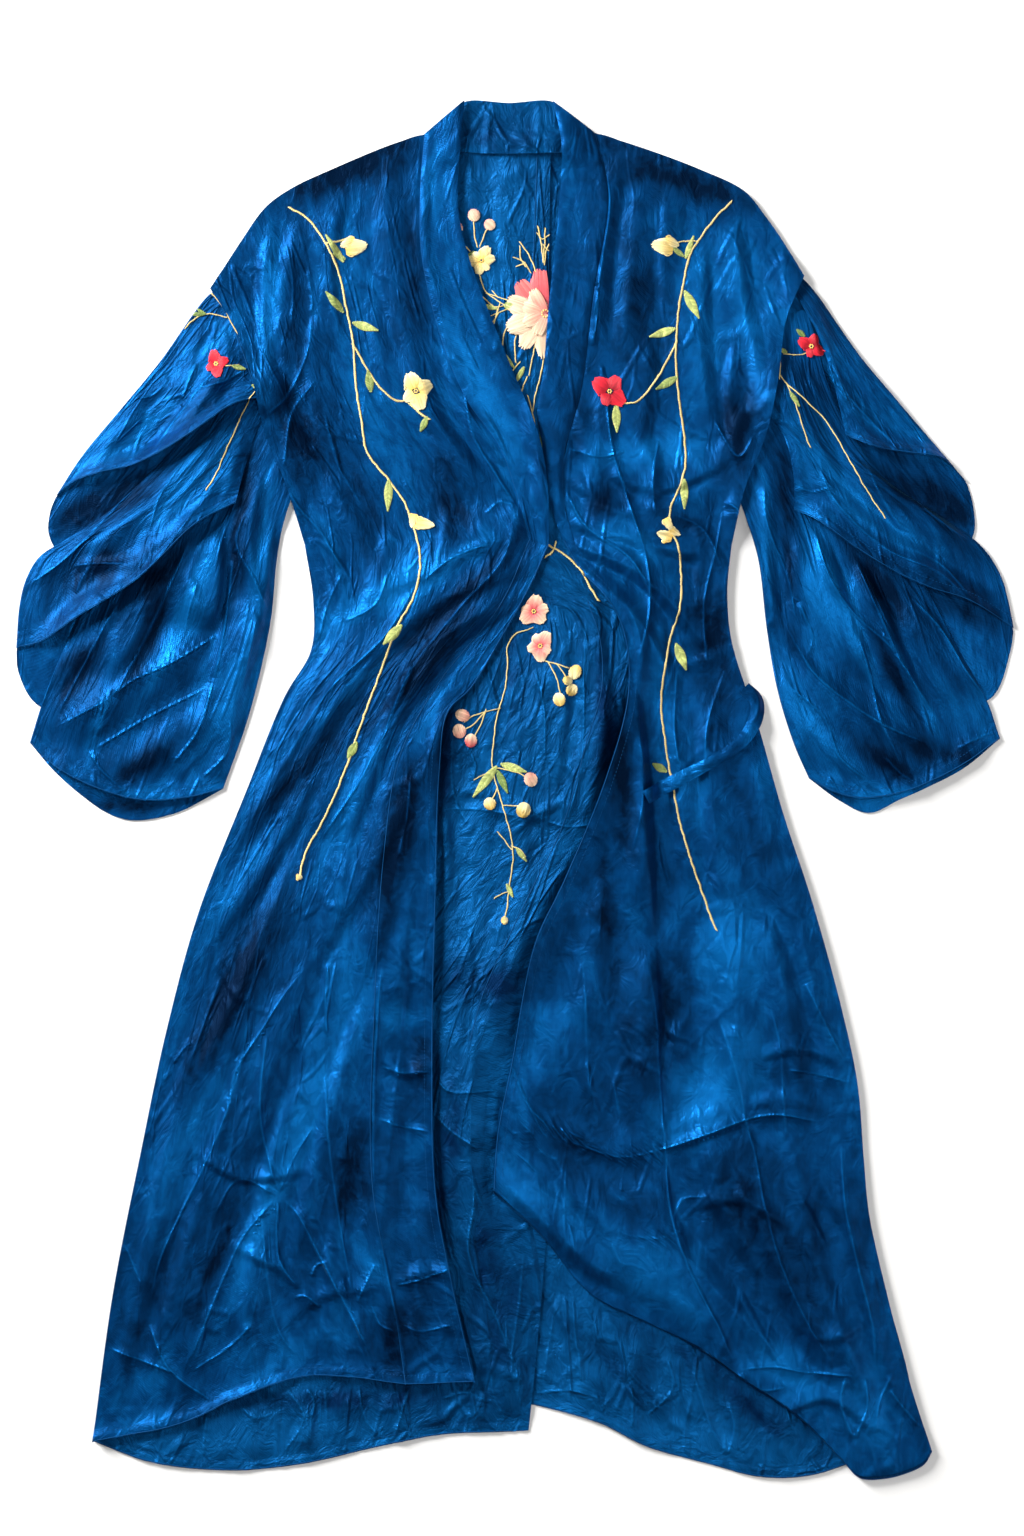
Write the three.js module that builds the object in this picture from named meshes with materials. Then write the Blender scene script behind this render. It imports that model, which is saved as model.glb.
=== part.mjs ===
// A long silk robe in the cut of a kimono, laid out flat on its back, fronts crossed left over right.
// Millimetres. X runs to the viewer's right, Y towards the collar, Z up from the surface it lies on.
// The origin is at the centre of the robe's underside.
// Each piece of cloth is a wall that lies on the pieces laid down before it.
import * as THREE from "three";

// The cloth
const WALL = 1.2;
const COLLAR_WALL = 2.4;
const SEAM_GAP = 0.3;
const FOLD_GAP = 0.8;

// The tie, and the depth of the right front's turned-under hem
const TIE_WIDTH = 14;
const TURN_DEPTH = 90;
const TURN_DEPTH_AT_CORNER = 14;

// The pleat down the centre of the back's left half
const PLEAT_HEIGHT = 6;
const PLEAT_REACH = 42;
const PLEAT_RUN = { top: 190, full: 120, fading: -340, bottom: -475 };

// Cells across and down each stretch of cloth
const CELLS = {
  frontAcross: 12,
  collarAcross: 3,
  chestDown: 12,
  skirtDown: 26,
  backAcross: 8,
  backChestDown: 8,
  backSkirtDown: 20,
  turnDeep: 2,
  tieDown: 18,
};

// Shares of a sleeve tier's width and length at which it is cut into cells, closest at its outer corner
const SLEEVE_ACROSS = [0, 0.05, 0.12, 0.21, 0.33, 0.48, 0.65, 0.82, 1];
const SLEEVE_DOWN = [0, 0.16, 0.32, 0.47, 0.61, 0.74, 0.86, 0.94, 1];

// How often the laid cloth is eased over steps below it
const EASING = 3;

// The height map's square cell, and how far a sample in a triangle may be from any point of it
const MAP_CELL = 4;
const MAP_HALF_WIDTH = 520;
const MAP_HALF_LENGTH = 720;
const SAMPLE_STEP = 2;
const SAMPLE_REACH = 1.3;

// Outlines: x and y of points on the edge of each stretch, from top to bottom or from left to right.
// The body's two sides, above and below the waist, shared by fronts and backs
const SIDE_LEFT_ABOVE = [
  { x: -290, y: 477 }, { x: -265, y: 437 }, { x: -249, y: 390 }, { x: -238, y: 340 }, { x: -217, y: 288 },
  { x: -200, y: 233 },
];
const SIDE_LEFT_BELOW = [
  { x: -200, y: 233 }, { x: -192, y: 180 }, { x: -194, y: 133 }, { x: -219, y: 89 }, { x: -256, y: -2 },
  { x: -301, y: -116 }, { x: -332, y: -230 }, { x: -356, y: -344 }, { x: -383, y: -481 },
  { x: -402, y: -620 },
];
const SIDE_RIGHT_ABOVE = [
  { x: 275, y: 489 }, { x: 258, y: 448 }, { x: 250, y: 391 }, { x: 238, y: 336 }, { x: 218, y: 285 },
  { x: 206, y: 233 },
];
const SIDE_RIGHT_BELOW = [
  { x: 206, y: 233 }, { x: 202, y: 190 }, { x: 206, y: 142 }, { x: 230, y: 66 }, { x: 256, y: -25 },
  { x: 282, y: -104 }, { x: 311, y: -209 }, { x: 326, y: -280 }, { x: 332, y: -352 }, { x: 337, y: -404 },
  { x: 355, y: -484 }, { x: 376, y: -565 }, { x: 397, y: -630 },
];

// Shoulders and the back of the neck
const SHOULDER_LEFT = [
  { x: -290, y: 477 }, { x: -261, y: 522 }, { x: -237, y: 555 }, { x: -214, y: 572 }, { x: -174, y: 591 },
  { x: -118, y: 614 }, { x: -86, y: 624 },
];
const SHOULDER_RIGHT = [
  { x: 76, y: 625 }, { x: 112, y: 614 }, { x: 175, y: 591 }, { x: 218, y: 570 }, { x: 239, y: 545 },
  { x: 255, y: 522 }, { x: 275, y: 489 },
];
const BACK_NECK_LEFT = [
  { x: -86, y: 624 }, { x: -54, y: 618 }, { x: -14, y: 616 }, { x: 21, y: 616 },
];
const BACK_NECK_RIGHT = [
  { x: -8, y: 616 }, { x: 43, y: 617 }, { x: 76, y: 625 },
];

// The collar band on each front: its outer seam and its free edge
const COLLAR_SEAM_LEFT = [
  { x: -86, y: 624 }, { x: -90, y: 570 }, { x: -89, y: 512 }, { x: -72, y: 436 }, { x: -48, y: 375 },
  { x: -12, y: 321 }, { x: 14, y: 238 },
];
const COLLAR_EDGE_LEFT = [
  { x: -48, y: 656 }, { x: -54, y: 556 }, { x: -43, y: 504 }, { x: -10, y: 418 }, { x: 24, y: 332 },
  { x: 32, y: 276 }, { x: 32, y: 232 },
];
const COLLAR_SEAM_RIGHT = [
  { x: 76, y: 625 }, { x: 88, y: 566 }, { x: 73, y: 466 }, { x: 61, y: 375 }, { x: 47, y: 323 },
  { x: 46, y: 276 }, { x: 57, y: 233 },
];
const COLLAR_EDGE_RIGHT = [
  { x: 36, y: 655 }, { x: 44, y: 615 }, { x: 43, y: 572 }, { x: 32, y: 460 }, { x: 27, y: 399 },
  { x: 21, y: 357 }, { x: 26, y: 328 }, { x: 32, y: 276 }, { x: 45, y: 238 },
];

// Below the crossing: a soft fold that carries on from the seam, and the front's free edge
const SKIRT_FOLD_LEFT = [
  { x: 14, y: 238 }, { x: -14, y: 176 }, { x: -71, y: 104 }, { x: -109, y: 33 }, { x: -124, y: -57 },
  { x: -133, y: -194 }, { x: -136, y: -372 }, { x: -117, y: -478 }, { x: -104, y: -565 },
];
const SKIRT_EDGE_LEFT = [
  { x: 32, y: 232 }, { x: 16, y: 196 }, { x: -11, y: 147 }, { x: -42, y: 96 }, { x: -63, y: 74 },
  { x: -71, y: 19 }, { x: -75, y: -104 }, { x: -78, y: -247 }, { x: -75, y: -380 }, { x: -60, y: -466 },
  { x: -38, y: -563 },
];
const SKIRT_FOLD_RIGHT = [
  { x: 57, y: 233 }, { x: 92, y: 190 }, { x: 116, y: 142 }, { x: 120, y: 88 }, { x: 122, y: -4 },
  { x: 134, y: -165 }, { x: 140, y: -295 }, { x: 147, y: -405 }, { x: 178, y: -484 }, { x: 212, y: -558 },
];
const SKIRT_EDGE_RIGHT = [
  { x: 45, y: 238 }, { x: 62, y: 209 }, { x: 85, y: 184 }, { x: 102, y: 152 }, { x: 107, y: 94 },
  { x: 84, y: 7 }, { x: 46, y: -86 }, { x: 18, y: -147 }, { x: -4, y: -261 }, { x: -17, y: -327 },
  { x: -21, y: -383 },
];

// Hems
const HEM_FRONT_LEFT = [
  { x: -402, y: -620 }, { x: -318, y: -603 }, { x: -261, y: -577 }, { x: -204, y: -559 },
  { x: -157, y: -559 }, { x: -104, y: -565 },
];
const HEM_STRIP_LEFT = [
  { x: -104, y: -565 }, { x: -38, y: -563 },
];
const HEM_STRIP_RIGHT = [
  { x: -21, y: -383 }, { x: 24, y: -423 }, { x: 71, y: -480 }, { x: 119, y: -504 }, { x: 176, y: -532 },
  { x: 212, y: -558 },
];
const HEM_FRONT_RIGHT = [
  { x: 212, y: -558 }, { x: 271, y: -598 }, { x: 312, y: -639 }, { x: 328, y: -655 }, { x: 351, y: -656 },
  { x: 372, y: -651 }, { x: 390, y: -642 }, { x: 397, y: -630 },
];
const HEM_BACK_LEFT = [
  { x: -402, y: -620 }, { x: -347, y: -640 }, { x: -271, y: -648 }, { x: -204, y: -642 },
  { x: -128, y: -625 }, { x: -71, y: -614 }, { x: -3, y: -611 },
];
const HEM_BACK_RIGHT = [
  { x: -14, y: -581 }, { x: 19, y: -586 }, { x: 81, y: -603 }, { x: 128, y: -626 }, { x: 185, y: -642 },
  { x: 233, y: -654 }, { x: 280, y: -653 }, { x: 328, y: -638 }, { x: 380, y: -618 },
];

// Down the middle of the back: the pleat's crest, the edge that laps over, and the edge under it
const PLEAT_CREST_ABOVE = [
  { x: 21, y: 616 }, { x: 17, y: 466 }, { x: 16, y: 342 }, { x: 28, y: 233 },
];
const PLEAT_CREST_BELOW = [
  { x: 28, y: 233 }, { x: 71, y: 190 }, { x: 98, y: 168 }, { x: 105, y: 124 }, { x: 104, y: 94 },
  { x: 93, y: 55 }, { x: 80, y: 7 }, { x: 66, y: -42 }, { x: 41, y: -86 }, { x: 9, y: -147 },
  { x: -16, y: -194 }, { x: -31, y: -240 }, { x: -40, y: -288 }, { x: -42, y: -352 }, { x: -31, y: -415 },
  { x: -16, y: -475 }, { x: -7, y: -542 }, { x: -3, y: -611 },
];
const BACK_LAP_ABOVE = [
  { x: 34, y: 616 }, { x: 32, y: 466 }, { x: 33, y: 342 }, { x: 48, y: 233 },
];
const BACK_LAP_BELOW = [
  { x: 48, y: 233 }, { x: 102, y: 171 }, { x: 124, y: 95 }, { x: 109, y: 19 }, { x: 81, y: -57 },
  { x: 54, y: -152 }, { x: 39, y: -276 }, { x: 33, y: -370 }, { x: 28, y: -448 }, { x: 22, y: -521 },
  { x: 13, y: -610 },
];
const BACK_EDGE_RIGHT_ABOVE = [
  { x: -8, y: 616 }, { x: -8, y: 233 },
];
const BACK_EDGE_RIGHT_BELOW = [
  { x: -8, y: 233 }, { x: -8, y: -104 }, { x: -11, y: -390 }, { x: -14, y: -581 },
];

// The collar behind the neck
const COLLAR_BACK_TOP = [
  { x: -62, y: 641 }, { x: -48, y: 655 }, { x: -5, y: 654 }, { x: 36, y: 655 }, { x: 50, y: 641 },
];
const COLLAR_BACK_SEAM = [
  { x: -64, y: 608 }, { x: -10, y: 605 }, { x: 54, y: 607 },
];

// Left sleeve, from the outermost tier to the lowest: each tier's top, outer fold, inner edge and two hems
const LEFT_TIER_1_TOP = [
  { x: -278, y: 481 }, { x: -252, y: 437 }, { x: -235, y: 386 },
];
const LEFT_TIER_1_OUTER = [
  { x: -278, y: 481 }, { x: -294, y: 469 }, { x: -338, y: 408 }, { x: -375, y: 363 }, { x: -413, y: 317 },
  { x: -437, y: 280 },
];
const LEFT_TIER_1_FRONT_HEM = [
  { x: -437, y: 280 }, { x: -418, y: 294 }, { x: -356, y: 311 }, { x: -309, y: 336 }, { x: -265, y: 366 },
  { x: -229, y: 374 },
];
const LEFT_TIER_1_BACK_HEM = [
  { x: -437, y: 280 }, { x: -443, y: 264 }, { x: -444, y: 243 }, { x: -432, y: 225 }, { x: -394, y: 232 },
  { x: -347, y: 256 }, { x: -285, y: 294 }, { x: -225, y: 344 },
];
const LEFT_TIER_2_OUTER = [
  { x: -263, y: 397 }, { x: -309, y: 342 }, { x: -347, y: 302 }, { x: -390, y: 263 }, { x: -430, y: 237 },
  { x: -453, y: 222 }, { x: -466, y: 200 }, { x: -472, y: 175 }, { x: -475, y: 135 },
];
const LEFT_TIER_2_INNER = [
  { x: -235, y: 367 }, { x: -246, y: 342 }, { x: -256, y: 309 }, { x: -265, y: 273 },
];
const LEFT_TIER_2_FRONT_HEM = [
  { x: -475, y: 135 }, { x: -451, y: 141 }, { x: -415, y: 164 }, { x: -357, y: 200 }, { x: -301, y: 253 },
  { x: -265, y: 273 },
];
const LEFT_TIER_2_BACK_HEM = [
  { x: -475, y: 135 }, { x: -473, y: 112 }, { x: -455, y: 81 }, { x: -413, y: 74 }, { x: -356, y: 104 },
  { x: -299, y: 180 }, { x: -265, y: 256 },
];
const LEFT_TIER_3_TOP = [
  { x: -275, y: 370 }, { x: -233, y: 356 }, { x: -200, y: 312 },
];
const LEFT_TIER_3_OUTER = [
  { x: -275, y: 370 }, { x: -347, y: 276 }, { x: -399, y: 200 }, { x: -428, y: 138 }, { x: -449, y: 86 },
  { x: -462, y: 45 },
];
const LEFT_TIER_3_INNER = [
  { x: -200, y: 312 }, { x: -220, y: 256 }, { x: -227, y: 218 }, { x: -232, y: 166 }, { x: -240, y: 124 },
  { x: -255, y: 66 }, { x: -278, y: 1 },
];
const LEFT_TIER_3_FRONT_HEM = [
  { x: -462, y: 45 }, { x: -444, y: 27 }, { x: -421, y: 12 }, { x: -388, y: -2 }, { x: -354, y: -10 },
  { x: -309, y: -7 }, { x: -278, y: 1 },
];
const LEFT_TIER_3_BACK_HEM = [
  { x: -462, y: 45 }, { x: -440, y: 19 }, { x: -413, y: -5 }, { x: -388, y: -22 }, { x: -365, y: -29 },
  { x: -323, y: -22 }, { x: -278, y: 1 },
];

// Right sleeve
const RIGHT_TIER_1_OUTER = [
  { x: 261, y: 496 }, { x: 278, y: 483 }, { x: 332, y: 408 }, { x: 370, y: 363 }, { x: 410, y: 317 },
  { x: 430, y: 293 },
];
const RIGHT_TIER_1_INNER = [
  { x: 265, y: 475 }, { x: 290, y: 428 }, { x: 303, y: 385 }, { x: 314, y: 337 },
];
const RIGHT_TIER_1_FRONT_HEM = [
  { x: 430, y: 293 }, { x: 408, y: 314 }, { x: 374, y: 320 }, { x: 342, y: 325 }, { x: 314, y: 337 },
];
const RIGHT_TIER_1_BACK_TOP = [
  { x: 261, y: 496 }, { x: 250, y: 469 }, { x: 240, y: 442 },
];
const RIGHT_TIER_1_BACK_HEM = [
  { x: 430, y: 293 }, { x: 436, y: 273 }, { x: 437, y: 244 }, { x: 425, y: 227 }, { x: 390, y: 238 },
  { x: 337, y: 276 }, { x: 290, y: 323 }, { x: 231, y: 352 },
];
const RIGHT_TIER_2_TOP = [
  { x: 280, y: 458 }, { x: 261, y: 453 }, { x: 240, y: 439 },
];
const RIGHT_TIER_2_OUTER = [
  { x: 280, y: 458 }, { x: 301, y: 380 }, { x: 328, y: 328 }, { x: 356, y: 293 }, { x: 404, y: 261 },
  { x: 434, y: 241 }, { x: 451, y: 224 }, { x: 464, y: 201 }, { x: 470, y: 179 }, { x: 475, y: 154 },
];
const RIGHT_TIER_2_INNER = [
  { x: 240, y: 439 }, { x: 237, y: 370 }, { x: 257, y: 332 }, { x: 265, y: 294 }, { x: 265, y: 266 },
];
const RIGHT_TIER_2_FRONT_HEM = [
  { x: 475, y: 154 }, { x: 430, y: 180 }, { x: 392, y: 192 }, { x: 354, y: 210 }, { x: 318, y: 233 },
  { x: 282, y: 259 }, { x: 265, y: 266 },
];
const RIGHT_TIER_2_BACK_HEM = [
  { x: 475, y: 154 }, { x: 472, y: 133 }, { x: 453, y: 87 }, { x: 413, y: 86 }, { x: 356, y: 124 },
  { x: 299, y: 190 }, { x: 265, y: 247 },
];
const RIGHT_TIER_3_TOP = [
  { x: 276, y: 374 }, { x: 238, y: 361 }, { x: 200, y: 312 },
];
const RIGHT_TIER_3_OUTER = [
  { x: 276, y: 374 }, { x: 347, y: 276 }, { x: 394, y: 190 }, { x: 423, y: 133 }, { x: 449, y: 86 },
  { x: 462, y: 49 },
];
const RIGHT_TIER_3_INNER = [
  { x: 200, y: 312 }, { x: 221, y: 256 }, { x: 232, y: 218 }, { x: 240, y: 152 }, { x: 250, y: 95 },
  { x: 266, y: 43 }, { x: 280, y: 11 },
];
const RIGHT_TIER_3_FRONT_HEM = [
  { x: 462, y: 49 }, { x: 430, y: 26 }, { x: 400, y: 10 }, { x: 370, y: -2 }, { x: 329, y: -8 },
  { x: 303, y: -2 }, { x: 280, y: 11 },
];
const RIGHT_TIER_3_BACK_HEM = [
  { x: 462, y: 49 }, { x: 428, y: 21 }, { x: 394, y: 3 }, { x: 367, y: -9 }, { x: 337, y: -22 },
  { x: 309, y: -10 }, { x: 280, y: 11 },
];

// The tie's middle line
const TIE = [
  { x: 218, y: 97 }, { x: 229, y: 86 }, { x: 230, y: 72 }, { x: 218, y: 49 }, { x: 189, y: 28 },
  { x: 157, y: 11 }, { x: 124, y: -7 },
];

// Folds that stand up from the laid cloth: three points along each crest, its height and its half width
const FOLDS_FRONT_LEFT = [
  { x1: -231, y1: 555, x2: -247, y2: 475, x3: -248, y3: 391, height: 5, width: 26 },
  { x1: -176, y1: 575, x2: -162, y2: 504, x3: -171, y3: 390, height: 4, width: 24 },
  { x1: -114, y1: 598, x2: -104, y2: 475, x3: -62, y3: 370, height: 4, width: 24 },
  { x1: -204, y1: 276, x2: -176, y2: 218, x3: -157, y3: 142, height: 5, width: 24 },
  { x1: -133, y1: 342, x2: -114, y2: 256, x3: -81, y3: 190, height: 4, width: 26 },
  { x1: -43, y1: 342, x2: -14, y2: 285, x3: 14, y3: 238, height: 5, width: 22 },
  { x1: 0, y1: 256, x2: -81, y2: 171, x3: -204, y3: 95, height: 8, width: 34 },
  { x1: 14, y1: 218, x2: -57, y2: 119, x3: -152, y3: 28, height: 8, width: 32 },
  { x1: -57, y1: 95, x2: -109, y2: 10, x3: -240, y3: -162, height: 7, width: 34 },
  { x1: -86, y1: 43, x2: -124, y2: -66, x3: -162, y3: -209, height: 7, width: 32 },
  { x1: -162, y1: -10, x2: -223, y2: -162, x3: -285, y3: -361, height: 6, width: 34 },
  { x1: -204, y1: -10, x2: -276, y2: -152, x3: -332, y3: -361, height: 6, width: 32 },
  { x1: -109, y1: -142, x2: -124, y2: -314, x3: -117, y3: -475, height: 6, width: 30 },
  { x1: -157, y1: -256, x2: -183, y2: -390, x3: -204, y3: -551, height: 6, width: 32 },
  { x1: -242, y1: -332, x2: -285, y2: -456, x3: -328, y3: -580, height: 6, width: 34 },
  { x1: -294, y1: -370, x2: -337, y2: -484, x3: -366, y3: -598, height: 5, width: 30 },
];
const FOLDS_FRONT_RIGHT = [
  { x1: 218, y1: 560, x2: 225, y2: 466, x3: 248, y3: 399, height: 5, width: 24 },
  { x1: 119, y1: 580, x2: 111, y2: 475, x3: 95, y3: 370, height: 4, width: 24 },
  { x1: 180, y1: 513, x2: 176, y2: 428, x3: 187, y3: 332, height: 4, width: 24 },
  { x1: 81, y1: 352, x2: 119, y2: 294, x3: 128, y3: 218, height: 6, width: 26 },
  { x1: 52, y1: 256, x2: 124, y2: 218, x3: 195, y3: 133, height: 7, width: 30 },
  { x1: 57, y1: 285, x2: 138, y2: 266, x3: 209, y3: 276, height: 5, width: 26 },
  { x1: 90, y1: 218, x2: 128, y2: 142, x3: 133, y3: 28, height: 7, width: 26 },
  { x1: 166, y1: 218, x2: 180, y2: 86, x3: 218, y3: -66, height: 6, width: 28 },
  { x1: 117, y1: 48, x2: 128, y2: -104, x3: 133, y3: -276, height: 8, width: 28 },
  { x1: 90, y1: -66, x2: 79, y2: -176, x3: 68, y3: -339, height: 7, width: 24 },
  { x1: 176, y1: -57, x2: 195, y2: -200, x3: 209, y3: -304, height: 6, width: 34 },
  { x1: 247, y1: -66, x2: 285, y2: -190, x3: 304, y3: -304, height: 6, width: 30 },
  { x1: -11, y1: -327, x2: 119, y2: -344, x3: 292, y3: -314, height: 8, width: 26 },
  { x1: 138, y1: -370, x2: 166, y2: -466, x3: 233, y3: -556, height: 7, width: 32 },
  { x1: -10, y1: -385, x2: 71, y2: -456, x3: 176, y3: -527, height: 7, width: 30 },
  { x1: 233, y1: -361, x2: 285, y2: -494, x3: 337, y3: -618, height: 6, width: 32 },
  { x1: 304, y1: -352, x2: 332, y2: -475, x3: 380, y3: -618, height: 6, width: 28 },
];
const FOLDS_BACK_LEFT = [
  { x1: -43, y1: 86, x2: -50, y2: 0, x3: -57, y3: -104, height: 4, width: 22 },
  { x1: 31, y1: 95, x2: 14, y2: -10, x3: -5, y3: -133, height: 4, width: 22 },
  { x1: -14, y1: -209, x2: -50, y2: -294, x3: -57, y3: -390, height: 4, width: 22 },
  { x1: -337, y1: -608, x2: -332, y2: -622, x3: -328, y3: -638, height: 4, width: 20 },
  { x1: -247, y1: -584, x2: -252, y2: -608, x3: -256, y3: -642, height: 4, width: 22 },
  { x1: -171, y1: -565, x2: -166, y2: -598, x3: -162, y3: -632, height: 4, width: 22 },
  { x1: -86, y1: -572, x2: -81, y2: -589, x3: -79, y3: -612, height: 4, width: 22 },
  { x1: -24, y1: -575, x2: -22, y2: -532, x3: -10, y3: -475, height: 4, width: 22 },
];
const FOLDS_BACK_RIGHT = [
  { x1: 57, y1: -475, x2: 54, y2: -532, x3: 50, y3: -591, height: 4, width: 22 },
  { x1: 102, y1: -504, x2: 107, y2: -551, x3: 111, y3: -610, height: 4, width: 22 },
  { x1: 162, y1: -532, x2: 166, y2: -580, x3: 176, y3: -632, height: 4, width: 22 },
  { x1: 242, y1: -580, x2: 244, y2: -608, x3: 247, y3: -644, height: 4, width: 20 },
];
const FOLDS_SLEEVE_LEFT_1 = [
  { x1: -265, y1: 423, x2: -323, y2: 375, x3: -399, y3: 304, height: 5, width: 24 },
  { x1: -250, y1: 385, x2: -309, y2: 352, x3: -375, y3: 312, height: 4, width: 22 },
];
const FOLDS_SLEEVE_LEFT_2 = [
  { x1: -285, y1: 323, x2: -356, y2: 256, x3: -442, y3: 190, height: 6, width: 26 },
  { x1: -271, y1: 285, x2: -337, y2: 238, x3: -404, y3: 180, height: 5, width: 24 },
];
const FOLDS_SLEEVE_LEFT_3 = [
  { x1: -240, y1: 238, x2: -318, y2: 171, x3: -432, y3: 95, height: 6, width: 28 },
  { x1: -240, y1: 190, x2: -309, y2: 114, x3: -404, y3: 24, height: 6, width: 28 },
  { x1: -240, y1: 142, x2: -285, y2: 76, x3: -347, y3: 5, height: 5, width: 24 },
];
const FOLDS_SLEEVE_RIGHT_1 = [
  { x1: 292, y1: 446, x2: 337, y2: 390, x3: 399, y3: 323, height: 5, width: 22 },
];
const FOLDS_SLEEVE_RIGHT_2 = [
  { x1: 261, y1: 370, x2: 318, y2: 294, x3: 451, y3: 190, height: 6, width: 28 },
  { x1: 256, y1: 418, x2: 285, y2: 342, x3: 337, y3: 276, height: 4, width: 22 },
];
const FOLDS_SLEEVE_RIGHT_3 = [
  { x1: 247, y1: 238, x2: 328, y2: 171, x3: 442, y3: 95, height: 6, width: 28 },
  { x1: 250, y1: 190, x2: 318, y2: 114, x3: 399, y3: 28, height: 6, width: 28 },
  { x1: 254, y1: 133, x2: 290, y2: 76, x3: 337, y3: 5, height: 5, width: 24 },
];

// The rows of a table from its first to its last as one smooth curve.
function curveThrough(table) {
  const points = table.map((row) => new THREE.Vector3(row.x, row.y, 0));
  return new THREE.CatmullRomCurve3(points, false, "centripetal");
}

// Shares from 0 to 1 in even steps.
function evenShares(count) {
  return Array.from({ length: count + 1 }, (_, i) => i / count);
}

// The last row of a table.
function endOf(table) {
  return table[table.length - 1];
}

// Two tables that meet end to start, as one.
function joined(first, second) {
  return [...first, ...second.slice(1)];
}

// A grid of points between four edges that meet at the corners: row by row down, left to right in a row.
function stretch({ top, bottom, left, right }, across, down) {
  const [topCurve, bottomCurve, leftCurve, rightCurve] = [top, bottom, left, right].map(curveThrough);
  const mix = THREE.MathUtils.lerp;
  return down.map((v) => {
    const start = leftCurve.getPointAt(v);
    const end = rightCurve.getPointAt(v);
    return across.map((u) => {
      const upper = topCurve.getPointAt(u);
      const lower = bottomCurve.getPointAt(u);
      const value = (axis) => {
        const topChord = mix(top[0][axis], endOf(top)[axis], u);
        const bottomChord = mix(bottom[0][axis], endOf(bottom)[axis], u);
        const acrossEdges = mix(upper[axis], lower[axis], v);
        const alongEdges = mix(start[axis], end[axis], u);
        return acrossEdges + alongEdges - mix(topChord, bottomChord, v);
      };
      return new THREE.Vector3(value("x"), value("y"), 0);
    });
  });
}

// Two grids joined one below the other, or side by side, along the points they share.
const stacked = (upper, lower) => [...upper, ...lower.slice(1)];
const sideBySide = (left, right) => left.map((row, j) => [...row, ...right[j].slice(1)]);

// A grid with its rows as columns.
const turned = (grid) => grid[0].map((_, i) => grid.map((row) => row[i]));

// The corner triangles of a grid's cells, as pairs of row and column.
function cellTriangles(rows, columns) {
  const triangles = [];
  for (let j = 0; j + 1 < rows; j += 1) {
    for (let i = 0; i + 1 < columns; i += 1) {
      triangles.push([[j, i], [j, i + 1], [j + 1, i + 1]]);
      triangles.push([[j, i], [j + 1, i + 1], [j + 1, i]]);
    }
  }
  return triangles;
}

// The height that the laid cloth has reached, in square cells over the surface.
class HeightMap {
  constructor() {
    this.columns = Math.ceil((2 * MAP_HALF_WIDTH) / MAP_CELL);
    this.rows = Math.ceil((2 * MAP_HALF_LENGTH) / MAP_CELL);
    this.heights = new Float32Array(this.columns * this.rows);
  }

  // Calls back with the column, row and height of samples spread over a triangle.
  static forSamples([a, b, c], visit) {
    const longest = Math.max(a.distanceTo(b), b.distanceTo(c), c.distanceTo(a));
    const steps = Math.max(1, Math.ceil(longest / SAMPLE_STEP));
    for (let i = 0; i <= steps; i += 1) {
      for (let j = 0; i + j <= steps; j += 1) {
        const [s, t] = [i / steps, j / steps];
        const x = a.x + (b.x - a.x) * s + (c.x - a.x) * t;
        const y = a.y + (b.y - a.y) * s + (c.y - a.y) * t;
        const z = a.z + (b.z - a.z) * s + (c.z - a.z) * t;
        visit(Math.floor((x + MAP_HALF_WIDTH) / MAP_CELL), Math.floor((y + MAP_HALF_LENGTH) / MAP_CELL), z);
      }
    }
  }

  highestIn(triangle) {
    let highest = 0;
    HeightMap.forSamples(triangle, (column, row) => {
      highest = Math.max(highest, this.heights[row * this.columns + column]);
    });
    return highest;
  }

  // Raises the map to a triangle, and to its neighbour cells, with what its slope adds between samples.
  raiseTo(triangle) {
    const normal = new THREE.Triangle(...triangle).getNormal(new THREE.Vector3());
    const slope = Math.hypot(normal.x, normal.y) / Math.max(Math.abs(normal.z), 0.2);
    HeightMap.forSamples(triangle, (column, row, z) => {
      for (let y = row - 1; y <= row + 1; y += 1) {
        for (let x = column - 1; x <= column + 1; x += 1) {
          const cell = y * this.columns + x;
          this.heights[cell] = Math.max(this.heights[cell], z + slope * SAMPLE_REACH);
        }
      }
    });
  }
}

// How far a set of folds lifts the cloth at a point.
function foldLift(folds, x, y) {
  let highest = 0;
  for (const fold of folds) {
    if (!fold.crest) {
      const ends = [[fold.x1, fold.y1], [fold.x2, fold.y2], [fold.x3, fold.y3]];
      fold.crest = curveThrough(ends.map(([px, py]) => ({ x: px, y: py }))).getSpacedPoints(24);
    }
    fold.crest.forEach((point, i) => {
      const away = Math.hypot(point.x - x, point.y - y) / fold.width;
      if (away >= 1) return;
      const share = i / (fold.crest.length - 1);
      const fade = THREE.MathUtils.smoothstep(Math.min(share, 1 - share), -0.05, 0.25);
      highest = Math.max(highest, fold.height * fade * (0.5 + 0.5 * Math.cos(Math.PI * away)));
    });
  }
  return highest;
}

// Heights raised, never lowered, towards the mean of their neighbours, so that the cloth slopes over a step.
function easedOver(heights) {
  let eased = heights;
  for (let pass = 0; pass < EASING; pass += 1) {
    const before = eased;
    eased = before.map((row, j) => row.map((height, i) => {
      const beside = [before[j - 1]?.[i], before[j + 1]?.[i], row[i - 1], row[i + 1]];
      const known = beside.filter((value) => value !== undefined);
      return Math.max(height, known.reduce((sum, value) => sum + value, 0) / known.length);
    }));
  }
  return eased;
}

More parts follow.
